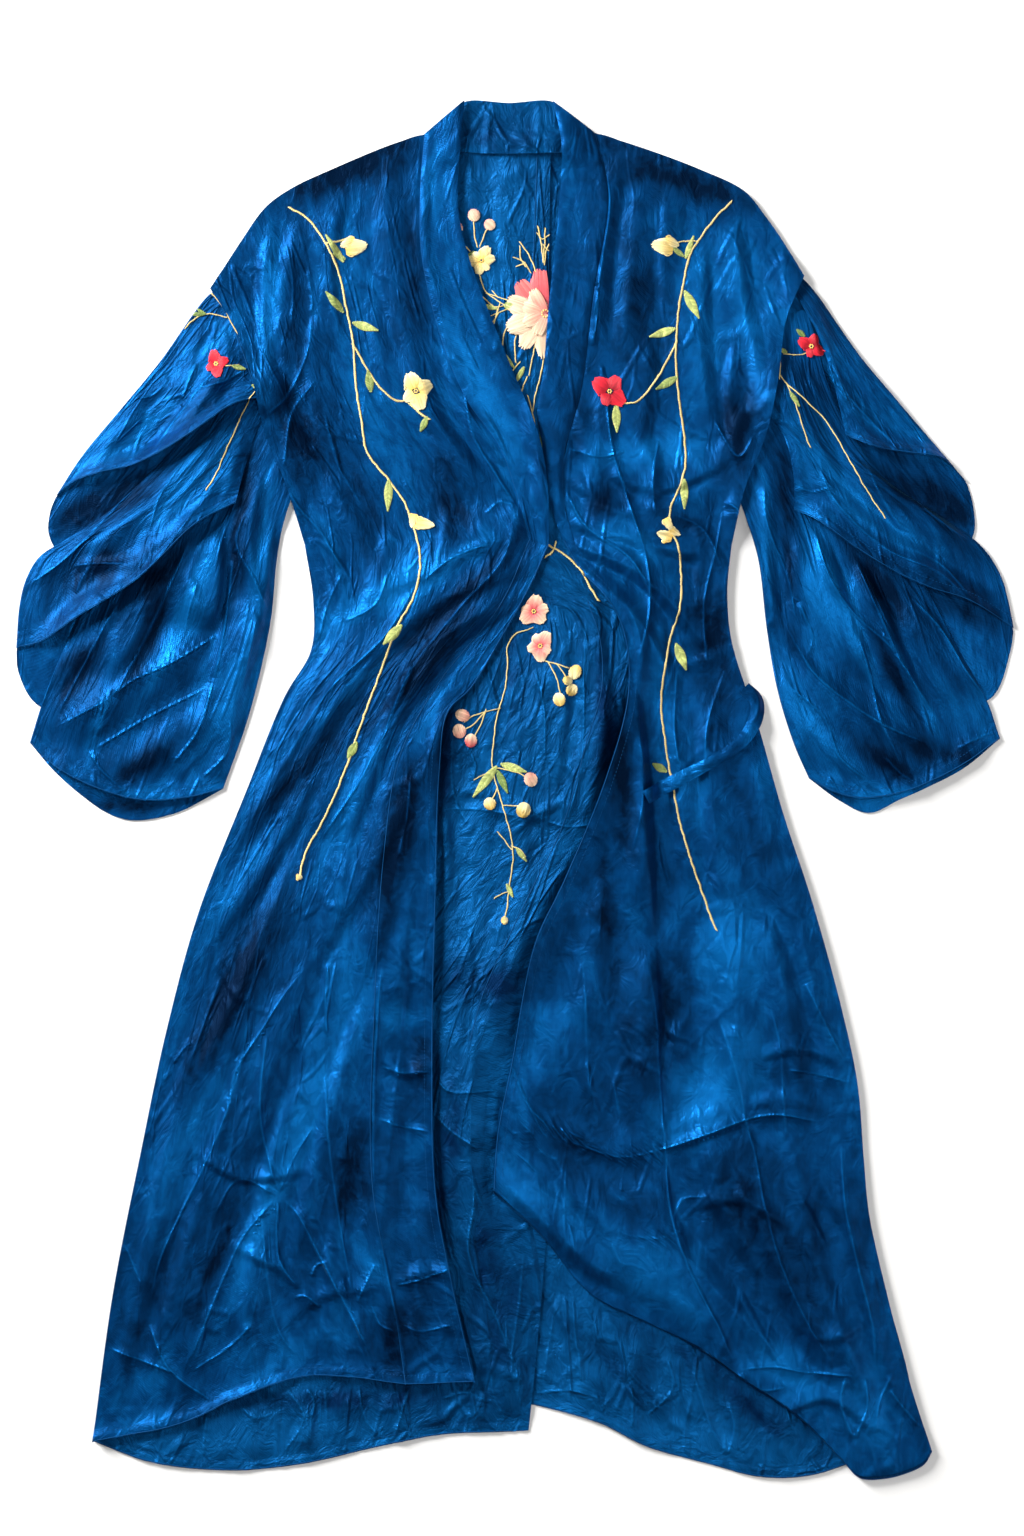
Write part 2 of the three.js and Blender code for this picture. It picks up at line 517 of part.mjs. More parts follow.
// Lays a grid down on what the map holds: sets each point's z to the cloth's underside there.
function layDown(map, grid, lift = () => 0, gap = SEAM_GAP) {
  const rows = grid.length;
  const columns = grid[0].length;
  const floor = grid.map((row) => row.map(() => 0));
  for (const corners of cellTriangles(rows, columns)) {
    const highest = map.highestIn(corners.map(([j, i]) => grid[j][i]));
    for (const [j, i] of corners) floor[j][i] = Math.max(floor[j][i], highest);
  }
  const resting = floor.map((row) => row.map((height) => (height > 0 ? height + gap : 0)));
  const eased = easedOver(resting);
  return grid.map((row, j) => row.map((point, i) => (
    new THREE.Vector3(point.x, point.y, eased[j][i] + lift(point.x, point.y, j, i))
  )));
}

// A grid of points moved straight up.
const raised = (grid, height) => grid.map((row) => row.map((p) => new THREE.Vector3(p.x, p.y, p.z + height)));

// Adds a grid's triangles to the map.
function addToMap(map, grid) {
  for (const corners of cellTriangles(grid.length, grid[0].length)) {
    map.raiseTo(corners.map(([j, i]) => grid[j][i]));
  }
}

// One closed body between two skins with the same rows and columns, facing out.
function closedWall(name, skin, otherSkin) {
  const rows = skin.length;
  const columns = skin[0].length;
  const points = [...skin.flat(), ...otherSkin.flat()];
  const at = (j, i) => j * columns + i;
  const other = rows * columns;
  const faces = [];
  for (const [[ja, ia], [jb, ib], [jc, ic]] of cellTriangles(rows, columns)) {
    faces.push([at(ja, ia), at(jb, ib), at(jc, ic)]);
    faces.push([other + at(ja, ia), other + at(jc, ic), other + at(jb, ib)]);
  }
  const rim = [];
  for (let i = 0; i < columns - 1; i += 1) rim.push(at(0, i));
  for (let j = 0; j < rows - 1; j += 1) rim.push(at(j, columns - 1));
  for (let i = columns - 1; i > 0; i -= 1) rim.push(at(rows - 1, i));
  for (let j = rows - 1; j > 0; j -= 1) rim.push(at(j, 0));
  rim.forEach((a, k) => {
    const b = rim[(k + 1) % rim.length];
    faces.push([b, a, other + a], [b, other + a, other + b]);
  });
  const volume = faces.reduce((sum, [a, b, c]) => {
    const cross = new THREE.Vector3().crossVectors(points[b], points[c]);
    return sum + points[a].dot(cross);
  }, 0);
  if (volume < 0) faces.forEach((face) => face.reverse());
  const geometry = new THREE.BufferGeometry().setFromPoints(points);
  geometry.setIndex(faces.flat());
  geometry.computeVertexNormals();
  const silk = new THREE.MeshStandardMaterial({ color: 0x0a4c8c, roughness: 0.42, metalness: 0 });
  const mesh = new THREE.Mesh(geometry, silk);
  mesh.name = name;
  return mesh;
}

// A sheet laid in one layer. Gives its mesh, and its upper skin for what is laid along it.
function flatPiece(map, name, grid, lift, wall = WALL) {
  const under = layDown(map, grid, lift);
  const over = raised(under, wall);
  addToMap(map, over);
  return { mesh: closedWall(name, under, over), over };
}

// The lower layer of a folded sheet, laid before what lies between its layers.
function lowerLayer(map, grid) {
  const under = layDown(map, grid);
  const over = raised(under, WALL);
  addToMap(map, over);
  return { under, over };
}

// The upper layer, and the round fold that joins both along their first columns.
function foldedPiece(map, name, lower, grid, lift) {
  const upperUnder = layDown(map, grid, lift, FOLD_GAP);
  const upperOver = raised(upperUnder, WALL);
  const outer = [];
  const inner = [];
  lower.under.forEach((row, j) => {
    const edge = lower.under[j][0];
    const radius = (upperOver[j][0].z - edge.z) / 2;
    const inward = grid[j][1].clone().sub(grid[j][0]).setZ(0).normalize();
    const centre = new THREE.Vector3(edge.x, edge.y, edge.z + radius).addScaledVector(inward, radius);
    const arc = (size) => [-90, -45, 0, 45, 90].map((angle) => {
      const turn = THREE.MathUtils.degToRad(angle);
      const point = centre.clone().addScaledVector(inward, -size * Math.cos(turn));
      return point.setZ(centre.z + size * Math.sin(turn));
    });
    outer.push([...lower.under[j].slice(1).reverse(), ...arc(radius), ...upperOver[j].slice(1)]);
    inner.push([...lower.over[j].slice(1).reverse(), ...arc(radius - WALL), ...upperUnder[j].slice(1)]);
  });
  addToMap(map, upperOver);
  addToMap(map, outer.map((row) => row.slice(lower.under[0].length + 1)));
  return { mesh: closedWall(name, outer, inner), over: upperOver };
}

// A layer of one sleeve tier: its rows run from the outer fold to the inner edge, which ends at the hem.
function sleeveLayer({ top, outer, hem, inner }) {
  const upper = top ?? [outer[0], inner[0]];
  const inside = inner ? [...inner.slice(0, -1), endOf(hem)] : [endOf(upper), endOf(hem)];
  const edges = { top: upper, bottom: hem, left: outer, right: inside };
  return stretch(edges, SLEEVE_ACROSS, SLEEVE_DOWN);
}

// A narrow band of even width along a curve.
function bandAlong(table, width, count) {
  const curve = curveThrough(table);
  return evenShares(count).map((share) => {
    const point = curve.getPointAt(share);
    const along = curve.getTangentAt(share);
    const side = new THREE.Vector3(-along.y, along.x, 0);
    return [-0.5, 0, 0.5].map((offset) => point.clone().addScaledVector(side, offset * width));
  });
}

const map = new HeightMap();
const robe = new THREE.Group();
const laid = new THREE.Group();
robe.add(laid);

// The lift of the cloth by its own folds, for each piece
const liftBy = (folds) => (x, y) => foldLift(folds, x, y);

// The back, right half first. Its left half laps over it and carries the pleat.
const backSideRight = [...SIDE_RIGHT_BELOW.slice(0, -1), endOf(HEM_BACK_RIGHT)];
const backAcross = evenShares(CELLS.backAcross);
const waistRight = [BACK_EDGE_RIGHT_BELOW[0], SIDE_RIGHT_BELOW[0]];
const backRightGrid = stacked(
  stretch({
    top: joined(BACK_NECK_RIGHT, SHOULDER_RIGHT),
    bottom: waistRight,
    left: BACK_EDGE_RIGHT_ABOVE,
    right: SIDE_RIGHT_ABOVE,
  }, backAcross, evenShares(CELLS.backChestDown)),
  stretch({
    top: waistRight,
    bottom: HEM_BACK_RIGHT,
    left: BACK_EDGE_RIGHT_BELOW,
    right: backSideRight,
  }, backAcross, evenShares(CELLS.backSkirtDown)),
);
const backRight = flatPiece(map, "back_right", backRightGrid, liftBy(FOLDS_BACK_RIGHT));

const lapAcross = [0, 0.12, 0.5, 1];
const chestDown = evenShares(CELLS.backChestDown);
const skirtDown = evenShares(CELLS.backSkirtDown);
const waistLeft = [SIDE_LEFT_BELOW[0], PLEAT_CREST_BELOW[0]];
const waistLap = [PLEAT_CREST_BELOW[0], BACK_LAP_BELOW[0]];
const backLeftChest = stretch({
  top: joined(SHOULDER_LEFT, BACK_NECK_LEFT),
  bottom: waistLeft,
  left: SIDE_LEFT_ABOVE,
  right: PLEAT_CREST_ABOVE,
}, backAcross, chestDown);
const backLeftSkirt = stretch({
  top: waistLeft,
  bottom: HEM_BACK_LEFT,
  left: SIDE_LEFT_BELOW,
  right: PLEAT_CREST_BELOW,
}, backAcross, skirtDown);
const lapChest = stretch({
  top: [PLEAT_CREST_ABOVE[0], BACK_LAP_ABOVE[0]],
  bottom: waistLap,
  left: PLEAT_CREST_ABOVE,
  right: BACK_LAP_ABOVE,
}, lapAcross, chestDown);
const lapSkirt = stretch({
  top: waistLap,
  bottom: [endOf(PLEAT_CREST_BELOW), endOf(BACK_LAP_BELOW)],
  left: PLEAT_CREST_BELOW,
  right: BACK_LAP_BELOW,
}, lapAcross, skirtDown);
const backLeftGrid = stacked(sideBySide(backLeftChest, lapChest), sideBySide(backLeftSkirt, lapSkirt));

// The pleat stands up towards its crest and drops off beyond it.
function pleatLift(x, y, j, i) {
  const crest = backLeftGrid[j][CELLS.backAcross];
  if (i > CELLS.backAcross) return 0;
  const { top, full, fading, bottom } = PLEAT_RUN;
  const { smoothstep } = THREE.MathUtils;
  const fade = smoothstep(top - y, 0, top - full) * smoothstep(y - bottom, 0, fading - bottom);
  const near = Math.max(0, 1 - Math.hypot(crest.x - x, crest.y - y) / PLEAT_REACH);
  return PLEAT_HEIGHT * fade * near;
}
const backLeft = flatPiece(map, "back_left", backLeftGrid, (x, y, j, i) => (
  Math.max(foldLift(FOLDS_BACK_LEFT, x, y), pleatLift(x, y, j, i))
));

// The collar behind the neck lies on the back's upper edge.
const collarBack = flatPiece(map, "collar_back", stretch({
  top: COLLAR_BACK_TOP,
  bottom: COLLAR_BACK_SEAM,
  left: [COLLAR_BACK_TOP[0], COLLAR_BACK_SEAM[0]],
  right: [endOf(COLLAR_BACK_TOP), endOf(COLLAR_BACK_SEAM)],
}, evenShares(8), evenShares(3)), () => 0, COLLAR_WALL);

// The sleeves: three tiers on each side, their backs laid from the outermost in, then their fronts from the
// innermost out, so that each tier hangs out of the one above it.
const TIERS = [
  {
    name: "sleeve_left_tier_1",
    back: {
      top: LEFT_TIER_1_TOP,
      outer: LEFT_TIER_1_OUTER,
      hem: LEFT_TIER_1_BACK_HEM,
    },
    front: {
      top: LEFT_TIER_1_TOP,
      outer: LEFT_TIER_1_OUTER,
      hem: LEFT_TIER_1_FRONT_HEM,
    },
    folds: FOLDS_SLEEVE_LEFT_1,
  },
  {
    name: "sleeve_left_tier_2",
    back: {
      outer: LEFT_TIER_2_OUTER,
      hem: LEFT_TIER_2_BACK_HEM,
      inner: LEFT_TIER_2_INNER,
    },
    front: {
      outer: LEFT_TIER_2_OUTER,
      hem: LEFT_TIER_2_FRONT_HEM,
      inner: LEFT_TIER_2_INNER,
    },
    folds: FOLDS_SLEEVE_LEFT_2,
  },
  {
    name: "sleeve_left_tier_3",
    back: {
      top: LEFT_TIER_3_TOP,
      outer: LEFT_TIER_3_OUTER,
      hem: LEFT_TIER_3_BACK_HEM,
      inner: LEFT_TIER_3_INNER,
    },
    front: {
      top: LEFT_TIER_3_TOP,
      outer: LEFT_TIER_3_OUTER,
      hem: LEFT_TIER_3_FRONT_HEM,
      inner: LEFT_TIER_3_INNER,
    },
    folds: FOLDS_SLEEVE_LEFT_3,
  },
  {
    name: "sleeve_right_tier_1",
    back: {
      top: RIGHT_TIER_1_BACK_TOP,
      outer: RIGHT_TIER_1_OUTER,
      hem: RIGHT_TIER_1_BACK_HEM,
    },
    front: {
      outer: RIGHT_TIER_1_OUTER,
      hem: RIGHT_TIER_1_FRONT_HEM,
      inner: RIGHT_TIER_1_INNER,
    },
    folds: FOLDS_SLEEVE_RIGHT_1,
  },
  {
    name: "sleeve_right_tier_2",
    back: {
      top: RIGHT_TIER_2_TOP,
      outer: RIGHT_TIER_2_OUTER,
      hem: RIGHT_TIER_2_BACK_HEM,
      inner: RIGHT_TIER_2_INNER,
    },
    front: {
      top: RIGHT_TIER_2_TOP,
      outer: RIGHT_TIER_2_OUTER,
      hem: RIGHT_TIER_2_FRONT_HEM,
      inner: RIGHT_TIER_2_INNER,
    },
    folds: FOLDS_SLEEVE_RIGHT_2,
  },
  {
    name: "sleeve_right_tier_3",
    back: {
      top: RIGHT_TIER_3_TOP,
      outer: RIGHT_TIER_3_OUTER,
      hem: RIGHT_TIER_3_BACK_HEM,
      inner: RIGHT_TIER_3_INNER,
    },
    front: {
      top: RIGHT_TIER_3_TOP,
      outer: RIGHT_TIER_3_OUTER,
      hem: RIGHT_TIER_3_FRONT_HEM,
      inner: RIGHT_TIER_3_INNER,
    },
    folds: FOLDS_SLEEVE_RIGHT_3,
  },
];
const lowerLayers = TIERS.map((tier) => lowerLayer(map, sleeveLayer(tier.back)));
const sleeves = TIERS.map((tier, k) => ({ ...tier, lower: lowerLayers[k] })).reverse().map((tier) => (
  foldedPiece(map, tier.name, tier.lower, sleeveLayer(tier.front), liftBy(tier.folds))
));

// A front from its side to its free edge: the chest with the collar's strip, then the skirt.
function frontGrid({ shoulder, sideAbove, sideBelow, seam, edge, foldBelow, edgeBelow, hem, hemStrip }) {
  const across = evenShares(CELLS.frontAcross);
  const strip = evenShares(CELLS.collarAcross);
  const [chest, skirt] = [evenShares(CELLS.chestDown), evenShares(CELLS.skirtDown)];
  const waist = [sideBelow[0], foldBelow[0]];
  const waistStrip = [foldBelow[0], edgeBelow[0]];
  const stripTop = [seam[0], edge[0]];
  return stacked(
    sideBySide(
      stretch({ top: shoulder, bottom: waist, left: sideAbove, right: seam }, across, chest),
      stretch({ top: stripTop, bottom: waistStrip, left: seam, right: edge }, strip, chest),
    ),
    sideBySide(
      stretch({ top: waist, bottom: hem, left: sideBelow, right: foldBelow }, across, skirt),
      stretch({ top: waistStrip, bottom: hemStrip, left: foldBelow, right: edgeBelow }, strip, skirt),
    ),
  );
}

// The collar band, made from the front's own points along the neck, moved up clear of its upper skin.
function collarOn(map, name, strip) {
  const under = raised(strip, SEAM_GAP);
  const over = raised(under, COLLAR_WALL);
  addToMap(map, over);
  return closedWall(name, under, over);
}

// The right front. Its hem is turned under along its lower edge, deepest at the free edge.
const frontRightGrid = frontGrid({
  shoulder: [...SHOULDER_RIGHT].reverse(),
  sideAbove: SIDE_RIGHT_ABOVE,
  sideBelow: SIDE_RIGHT_BELOW,
  seam: COLLAR_SEAM_RIGHT,
  edge: COLLAR_EDGE_RIGHT,
  foldBelow: SKIRT_FOLD_RIGHT,
  edgeBelow: SKIRT_EDGE_RIGHT,
  hem: [...HEM_FRONT_RIGHT].reverse(),
  hemStrip: [...HEM_STRIP_RIGHT].reverse(),
});
const fromHem = turned([...frontRightGrid].reverse());
const turnUnder = fromHem.map((column, j) => {
  const depth = THREE.MathUtils.lerp(TURN_DEPTH_AT_CORNER, TURN_DEPTH, j / (fromHem.length - 1));
  const inward = column[1].clone().sub(column[0]).normalize();
  return evenShares(CELLS.turnDeep).map((share) => column[0].clone().addScaledVector(inward, depth * share));
});
const turnLayer = lowerLayer(map, turnUnder);
const frontRight = foldedPiece(map, "front_right", turnLayer, fromHem, liftBy(FOLDS_FRONT_RIGHT));
const neckRight = frontRight.over.slice(CELLS.frontAcross).map((column) => column.slice(CELLS.skirtDown));
const collarRight = collarOn(map, "collar_right", neckRight);

// The left front lies over the right one at the crossing.
const frontLeftGrid = frontGrid({
  shoulder: SHOULDER_LEFT,
  sideAbove: SIDE_LEFT_ABOVE,
  sideBelow: SIDE_LEFT_BELOW,
  seam: COLLAR_SEAM_LEFT,
  edge: COLLAR_EDGE_LEFT,
  foldBelow: SKIRT_FOLD_LEFT,
  edgeBelow: SKIRT_EDGE_LEFT,
  hem: HEM_FRONT_LEFT,
  hemStrip: HEM_STRIP_LEFT,
});
const frontLeft = flatPiece(map, "front_left", frontLeftGrid, liftBy(FOLDS_FRONT_LEFT));
const neckLeft = frontLeft.over.slice(0, CELLS.chestDown + 1).map((row) => row.slice(CELLS.frontAcross));
const collarLeft = collarOn(map, "collar_left", neckLeft);

// The tie comes out at the right side seam and lies across the right front.
const tie = flatPiece(map, "tie", bandAlong(TIE, TIE_WIDTH, CELLS.tieDown));

laid.add(backRight.mesh, backLeft.mesh, collarBack.mesh, ...sleeves.map((sleeve) => sleeve.mesh));
laid.add(frontRight.mesh, collarRight, frontLeft.mesh, collarLeft, tie.mesh);

// The origin goes to the middle of the underside.
const middle = new THREE.Box3().setFromObject(laid).getCenter(new THREE.Vector3());
laid.position.set(-middle.x, -middle.y, 0);

export default robe;
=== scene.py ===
"""A silk kimono robe laid out flat: its cloth, its sewing, its embroidery and the stage it lies on.

Lengths in the tables are millimetres on the surface, x to the right and y towards the collar.
"""

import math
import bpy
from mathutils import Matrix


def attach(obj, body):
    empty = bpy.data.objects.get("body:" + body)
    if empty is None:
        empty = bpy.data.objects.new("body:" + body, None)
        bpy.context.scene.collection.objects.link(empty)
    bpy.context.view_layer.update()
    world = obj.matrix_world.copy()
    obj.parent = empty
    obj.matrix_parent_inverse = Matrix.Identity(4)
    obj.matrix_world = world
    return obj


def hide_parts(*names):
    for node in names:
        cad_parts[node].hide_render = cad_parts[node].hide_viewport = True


bl_info = {
    "name": "Laid-out kimono",
    "version": (1, 0, 0),
    "blender": (4, 5, 0),
    "location": "3D View > Sidebar > Kimono",
    "description": "Lays out a silk robe panel by panel, sews its hems and embroiders it",
    "category": "Object",
}

import bpy
import numpy as np
from mathutils import Vector
from mathutils.bvhtree import BVHTree

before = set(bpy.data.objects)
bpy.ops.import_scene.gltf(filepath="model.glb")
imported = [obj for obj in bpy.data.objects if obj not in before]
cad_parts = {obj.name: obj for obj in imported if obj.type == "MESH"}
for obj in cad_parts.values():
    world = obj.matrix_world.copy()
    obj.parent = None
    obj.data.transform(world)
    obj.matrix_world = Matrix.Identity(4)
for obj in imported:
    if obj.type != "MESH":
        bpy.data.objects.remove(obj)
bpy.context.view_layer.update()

# The outlines and the frame share one scale; their middle lies this far from the frame's.
SHIFT_X, SHIFT_Y = 0.0, -0.17

# Outlines of the pieces, each row a place in millimetres: x, y
SIDE_LEFT_ABOVE = ((-290, 477), (-265, 437), (-249, 390), (-238, 340), (-217, 288), (-200, 233))
SIDE_LEFT_BELOW = (
    (-200, 233), (-192, 180), (-194, 133), (-219, 89), (-256, -2), (-301, -116), (-332, -230),
    (-356, -344), (-383, -481), (-402, -620),
)
SIDE_RIGHT_ABOVE = ((275, 489), (258, 448), (250, 391), (238, 336), (218, 285), (206, 233))
SIDE_RIGHT_BELOW = (
    (206, 233), (202, 190), (206, 142), (230, 66), (256, -25), (282, -104), (311, -209), (326, -280),
    (332, -352), (337, -404), (355, -484), (376, -565), (397, -630),
)
SHOULDER_LEFT = ((-290, 477), (-261, 522), (-237, 555), (-214, 572), (-174, 591), (-118, 614), (-86, 624))
SHOULDER_RIGHT = ((76, 625), (112, 614), (175, 591), (218, 570), (239, 545), (255, 522), (275, 489))
BACK_NECK_LEFT = ((-86, 624), (-54, 618), (-14, 616), (21, 616))
BACK_NECK_RIGHT = ((-8, 616), (43, 617), (76, 625))
COLLAR_SEAM_LEFT = ((-86, 624), (-90, 570), (-89, 512), (-72, 436), (-48, 375), (-12, 321), (14, 238))
COLLAR_EDGE_LEFT = ((-48, 656), (-54, 556), (-43, 504), (-10, 418), (24, 332), (32, 276), (32, 232))
COLLAR_SEAM_RIGHT = ((76, 625), (88, 566), (73, 466), (61, 375), (47, 323), (46, 276), (57, 233))
COLLAR_EDGE_RIGHT = (
    (36, 655), (44, 615), (43, 572), (32, 460), (27, 399), (21, 357), (26, 328), (32, 276), (45, 238),
)
SKIRT_FOLD_LEFT = (
    (14, 238), (-14, 176), (-71, 104), (-109, 33), (-124, -57), (-133, -194), (-136, -372), (-117, -478),
    (-104, -565),
)
SKIRT_EDGE_LEFT = (
    (32, 232), (16, 196), (-11, 147), (-42, 96), (-63, 74), (-71, 19), (-75, -104), (-78, -247),
    (-75, -380), (-60, -466), (-38, -563),
)
SKIRT_FOLD_RIGHT = (
    (57, 233), (92, 190), (116, 142), (120, 88), (122, -4), (134, -165), (140, -295), (147, -405),
    (178, -484), (212, -558),
)
SKIRT_EDGE_RIGHT = (
    (45, 238), (62, 209), (85, 184), (102, 152), (107, 94), (84, 7), (46, -86), (18, -147), (-4, -261),
    (-17, -327), (-21, -383),
)
HEM_FRONT_LEFT = ((-402, -620), (-318, -603), (-261, -577), (-204, -559), (-157, -559), (-104, -565))
HEM_STRIP_LEFT = ((-104, -565), (-38, -563))
HEM_STRIP_RIGHT = ((-21, -383), (24, -423), (71, -480), (119, -504), (176, -532), (212, -558))
HEM_FRONT_RIGHT = (
    (212, -558), (271, -598), (312, -639), (328, -655), (351, -656), (372, -651), (390, -642),
    (397, -630),
)
HEM_BACK_LEFT = (
    (-402, -620), (-347, -640), (-271, -648), (-204, -642), (-128, -625), (-71, -614), (13, -610),
)
HEM_BACK_RIGHT = (
    (-14, -581), (19, -586), (81, -603), (128, -626), (185, -642), (233, -654), (280, -653), (328, -638),
    (380, -618),
)
PLEAT_CREST_ABOVE = ((21, 616), (17, 466), (16, 342), (28, 233))
BACK_LAP_ABOVE = ((34, 616), (32, 466), (33, 342), (48, 233))
BACK_LAP_BELOW = (
    (48, 233), (102, 171), (124, 95), (109, 19), (81, -57), (54, -152), (39, -276), (33, -370),
    (28, -448), (22, -521), (13, -610),
)
BACK_EDGE_RIGHT_ABOVE = ((-8, 616), (-8, 233))
BACK_EDGE_RIGHT_BELOW = ((-8, 233), (-8, -104), (-11, -390), (-14, -581))
PLEAT_CREST_BELOW = (
    (28, 233), (71, 190), (98, 168), (105, 124), (104, 94), (93, 55), (80, 7), (66, -42), (41, -86),
    (9, -147), (-16, -194), (-31, -240), (-40, -288), (-42, -352), (-31, -415), (-16, -475), (-7, -542),
    (-3, -611),
)
BAND_SEAM = (
    (69, 180), (81, 142), (82, 94), (68, 46), (57, 3), (42, -42), (20, -86), (-7, -142), (-29, -190),
    (-43, -238),
)
LEFT_TIER_1_TOP = ((-278, 481), (-252, 437), (-235, 386))
LEFT_TIER_1_OUTER = ((-278, 481), (-294, 469), (-338, 408), (-375, 363), (-413, 317), (-437, 280))
LEFT_TIER_1_FRONT_HEM = ((-437, 280), (-418, 294), (-356, 311), (-309, 336), (-265, 366), (-229, 374))
LEFT_TIER_1_BACK_HEM = (
    (-437, 280), (-443, 264), (-444, 243), (-432, 225), (-394, 232), (-347, 256), (-285, 294),
    (-225, 344),
)
LEFT_TIER_2_OUTER = (
    (-263, 397), (-309, 342), (-347, 302), (-390, 263), (-430, 237), (-453, 222), (-466, 200),
    (-472, 175), (-475, 135),
)
LEFT_TIER_2_INNER = ((-235, 367), (-246, 342), (-256, 309), (-265, 273))
LEFT_TIER_2_FRONT_HEM = ((-475, 135), (-451, 141), (-415, 164), (-357, 200), (-301, 253), (-265, 273))
LEFT_TIER_2_BACK_HEM = (
    (-475, 135), (-473, 112), (-455, 81), (-413, 74), (-356, 104), (-299, 180), (-265, 256),
)
LEFT_TIER_3_OUTER = ((-275, 370), (-347, 276), (-399, 200), (-428, 138), (-449, 86), (-462, 45))
LEFT_TIER_3_INNER = (
    (-200, 312), (-220, 256), (-227, 218), (-232, 166), (-240, 124), (-255, 66), (-278, 1),
)
LEFT_TIER_3_TOP = ((-275, 370), (-233, 356), (-200, 312))
LEFT_TIER_3_FRONT_HEM = (
    (-462, 45), (-444, 27), (-421, 12), (-388, -2), (-354, -10), (-309, -7), (-278, 1),
)
LEFT_TIER_3_BACK_HEM = (
    (-462, 45), (-440, 19), (-413, -5), (-388, -22), (-365, -29), (-323, -22), (-278, 1),
)
RIGHT_TIER_1_OUTER = ((261, 496), (278, 483), (332, 408), (370, 363), (410, 317), (430, 293))
RIGHT_TIER_1_FRONT_HEM = ((430, 293), (408, 314), (374, 320), (342, 325), (314, 337))
RIGHT_TIER_1_BACK_HEM = (
    (430, 293), (436, 273), (437, 244), (425, 227), (390, 238), (337, 276), (290, 323), (231, 352),
)
RIGHT_TIER_1_INNER = ((265, 475), (290, 428), (303, 385), (314, 337))
RIGHT_TIER_1_BACK_TOP = ((261, 496), (250, 469), (240, 442))
RIGHT_TIER_2_TOP = ((280, 458), (261, 453), (240, 439))
RIGHT_TIER_2_OUTER = (
    (280, 458), (301, 380), (328, 328), (356, 293), (404, 261), (434, 241), (451, 224), (464, 201),
    (470, 179), (475, 154),
)
RIGHT_TIER_2_INNER = ((240, 439), (237, 370), (257, 332), (265, 294), (265, 266))
RIGHT_TIER_2_FRONT_HEM = (
    (475, 154), (430, 180), (392, 192), (354, 210), (318, 233), (282, 259), (265, 266),
)
RIGHT_TIER_2_BACK_HEM = ((475, 154), (472, 133), (453, 87), (413, 86), (356, 124), (299, 190), (265, 247))
RIGHT_TIER_3_TOP = ((276, 374), (238, 361), (200, 312))
RIGHT_TIER_3_OUTER = ((276, 374), (347, 276), (394, 190), (423, 133), (449, 86), (462, 49))
RIGHT_TIER_3_INNER = ((200, 312), (221, 256), (232, 218), (240, 152), (250, 95), (266, 43), (280, 11))
RIGHT_TIER_3_FRONT_HEM = ((462, 49), (430, 26), (400, 10), (370, -2), (329, -8), (303, -2), (280, 11))
RIGHT_TIER_3_BACK_HEM = ((462, 49), (428, 21), (394, 3), (367, -9), (337, -22), (309, -10), (280, 11))
COLLAR_BACK_TOP = ((-62, 641), (-48, 655), (-5, 654), (36, 655), (50, 641))
COLLAR_BACK_SEAM = ((-64, 608), (-10, 605), (54, 607))
TIE = ((218, 97), (229, 86), (230, 72), (218, 49), (189, 28), (157, 11), (124, -7))
CENTRE_SEAM = ((21, 603), (18, 520), (14, 428))
ARMHOLE_LEFT = ((-290, 477), (-269, 442), (-250, 391))
ARMHOLE_RIGHT = ((275, 491), (261, 470), (244, 453))

